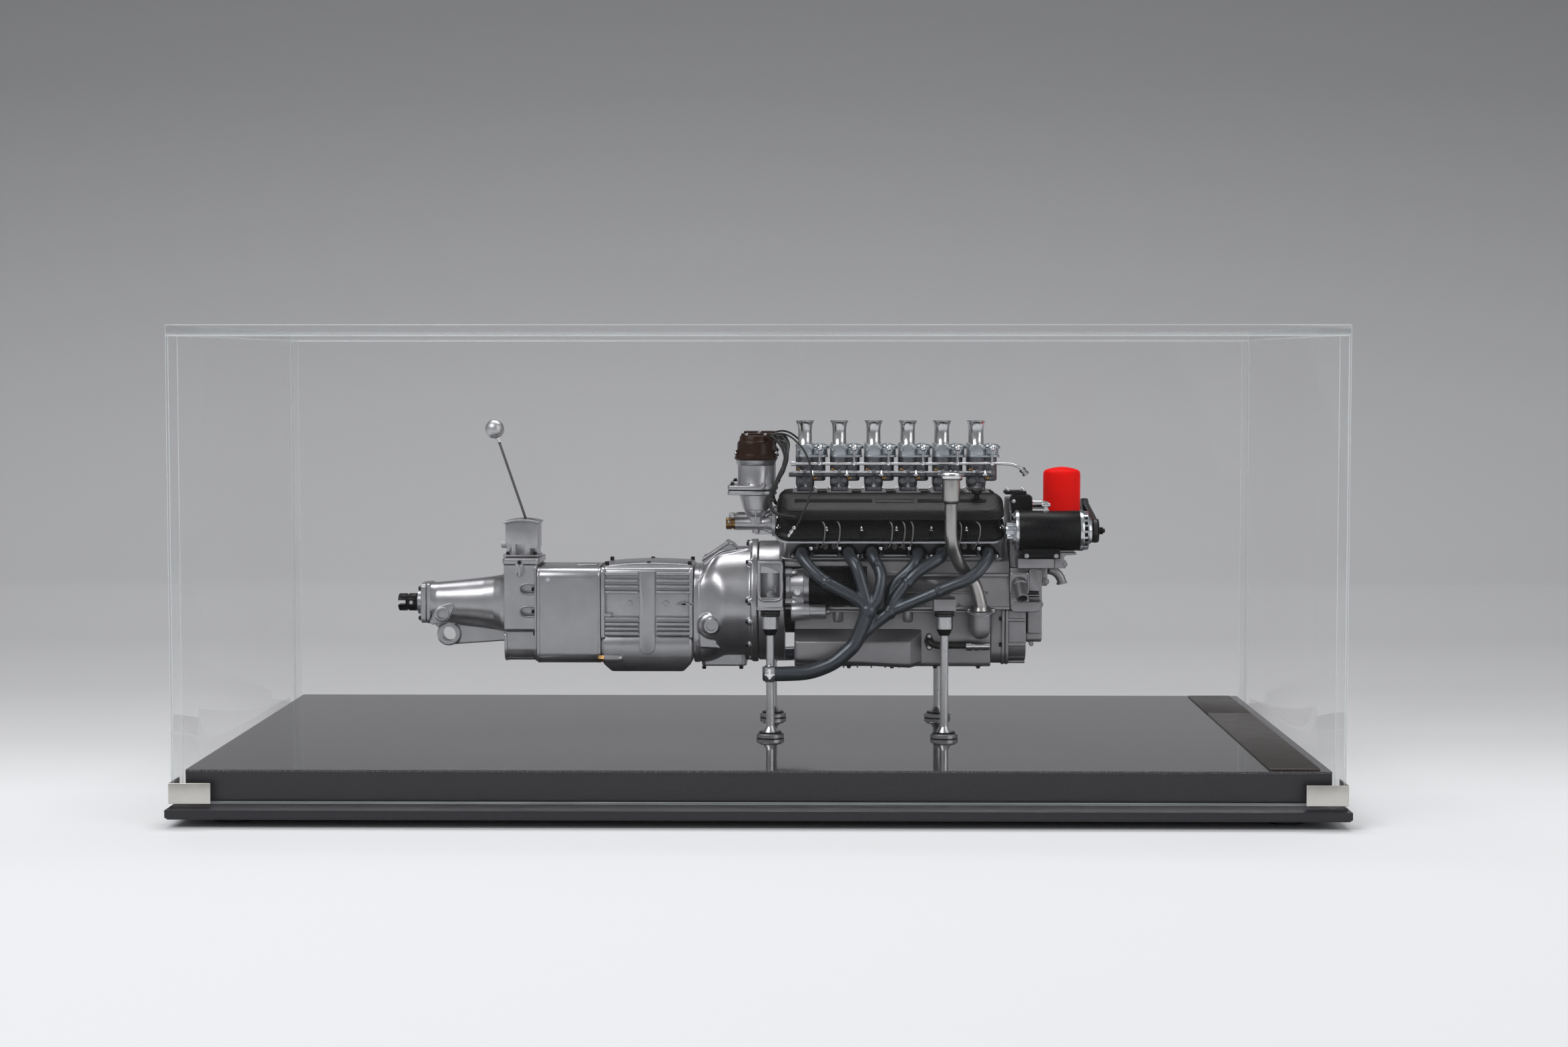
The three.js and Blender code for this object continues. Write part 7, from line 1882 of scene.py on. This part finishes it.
class REPLICA_OT_inlet(bpy.types.Operator):
    """Round the manifold casting and bolt it down"""

    bl_idname = "replica.inlet"
    bl_label = "Inlet manifold"
    execute = running(make_inlet)


class REPLICA_OT_distributors(bpy.types.Operator):
    """Model the distributor housings and caps"""

    bl_idname = "replica.distributors"
    bl_label = "Distributors"
    execute = running(make_distributors, make_caps)


class REPLICA_OT_leads(bpy.types.Operator):
    """Run the plug leads from the caps to the cover ledges"""

    bl_idname = "replica.leads"
    bl_label = "Plug leads"
    execute = running(make_leads)


class REPLICA_OT_block(bpy.types.Operator):
    """Finish the block and the sump castings"""

    bl_idname = "replica.block"
    bl_label = "Cylinder block"
    execute = running(make_block, make_sump)


class REPLICA_OT_filler(bpy.types.Operator):
    """Bend the oil filler pipe and press its lid"""

    bl_idname = "replica.filler"
    bl_label = "Oil filler"
    execute = running(make_filler)


class REPLICA_OT_timing(bpy.types.Operator):
    """Finish the timing casting, chain box and water outlet"""

    bl_idname = "replica.timing"
    bl_label = "Timing cover"
    execute = running(make_timing_cover)


class REPLICA_OT_dynamo(bpy.types.Operator):
    """Model the dynamo, the two pulleys and the belt"""

    bl_idname = "replica.dynamo"
    bl_label = "Dynamo"
    execute = running(make_dynamo, make_pulleys)


class REPLICA_OT_filter(bpy.types.Operator):
    """Press the filter canister on its base"""

    bl_idname = "replica.filter"
    bl_label = "Oil filter"
    execute = running(make_filter)


class REPLICA_OT_starter(bpy.types.Operator):
    """Model the starter motor and its solenoid"""

    bl_idname = "replica.starter"
    bl_label = "Starter motor"
    execute = running(make_starter)


class REPLICA_OT_clutch(bpy.types.Operator):
    """Finish the clutch housing and its mounts"""

    bl_idname = "replica.clutch"
    bl_label = "Clutch housing"
    execute = running(make_clutch)


class REPLICA_OT_bell(bpy.types.Operator):
    """Loft the bell housing with its hatch and bosses"""

    bl_idname = "replica.bell"
    bl_label = "Bell housing"
    execute = running(make_bell)


class REPLICA_OT_gearbox(bpy.types.Operator):
    """Model the ribbed gearbox and the middle case"""

    bl_idname = "replica.gearbox"
    bl_label = "Gearbox"
    execute = running(make_gearbox, make_middle_case)


class REPLICA_OT_tail(bpy.types.Operator):
    """Model the tail casing, rear plate and output yoke"""

    bl_idname = "replica.tail"
    bl_label = "Tail casing"
    execute = running(make_tail, make_output)


class REPLICA_OT_lever(bpy.types.Operator):
    """Model the selector turret and the gear lever"""

    bl_idname = "replica.lever"
    bl_label = "Gear lever"
    execute = running(make_turret, make_lever)


OPERATORS = (REPLICA_OT_stage, REPLICA_OT_stand, REPLICA_OT_cover, REPLICA_OT_posts, REPLICA_OT_heads,
    REPLICA_OT_cam_covers, REPLICA_OT_exhausts, REPLICA_OT_carburettors, REPLICA_OT_linkage,
    REPLICA_OT_inlet, REPLICA_OT_distributors, REPLICA_OT_leads, REPLICA_OT_block, REPLICA_OT_filler,
    REPLICA_OT_timing, REPLICA_OT_dynamo, REPLICA_OT_filter, REPLICA_OT_starter, REPLICA_OT_clutch,
    REPLICA_OT_bell, REPLICA_OT_gearbox, REPLICA_OT_tail, REPLICA_OT_lever,)


class REPLICA_PT_panel(bpy.types.Panel):
    """Lists the operators in the sidebar"""

    bl_label = "Engine Replica"
    bl_idname = "REPLICA_PT_panel"
    bl_space_type = "VIEW_3D"
    bl_region_type = "UI"
    bl_category = "Replica"

    def draw(self, context):
        for operator in OPERATORS:
            self.layout.operator(operator.bl_idname)


CLASSES = (ReplicaSizes, ReplicaColours, *OPERATORS, REPLICA_PT_panel)


def register():
    for cls in CLASSES:
        bpy.utils.register_class(cls)
    bpy.types.Scene.replica_sizes = bpy.props.PointerProperty(type=ReplicaSizes)
    bpy.types.Scene.replica_colours = bpy.props.PointerProperty(type=ReplicaColours)


def unregister():
    del bpy.types.Scene.replica_colours
    del bpy.types.Scene.replica_sizes
    for cls in reversed(CLASSES):
        bpy.utils.unregister_class(cls)


def main():
    register()
    deselect()
    bpy.ops.replica.stage()
    bpy.ops.replica.stand()
    bpy.ops.replica.cover()
    bpy.ops.replica.posts()
    bpy.ops.replica.heads()
    bpy.ops.replica.cam_covers()
    bpy.ops.replica.exhausts()
    bpy.ops.replica.carburettors()
    bpy.ops.replica.linkage()
    bpy.ops.replica.inlet()
    bpy.ops.replica.distributors()
    bpy.ops.replica.leads()
    bpy.ops.replica.block()
    bpy.ops.replica.filler()
    bpy.ops.replica.timing()
    bpy.ops.replica.dynamo()
    bpy.ops.replica.filter()
    bpy.ops.replica.starter()
    bpy.ops.replica.clutch()
    bpy.ops.replica.bell()
    bpy.ops.replica.gearbox()
    bpy.ops.replica.tail()
    bpy.ops.replica.lever()


if __name__ == "__main__":
    main()
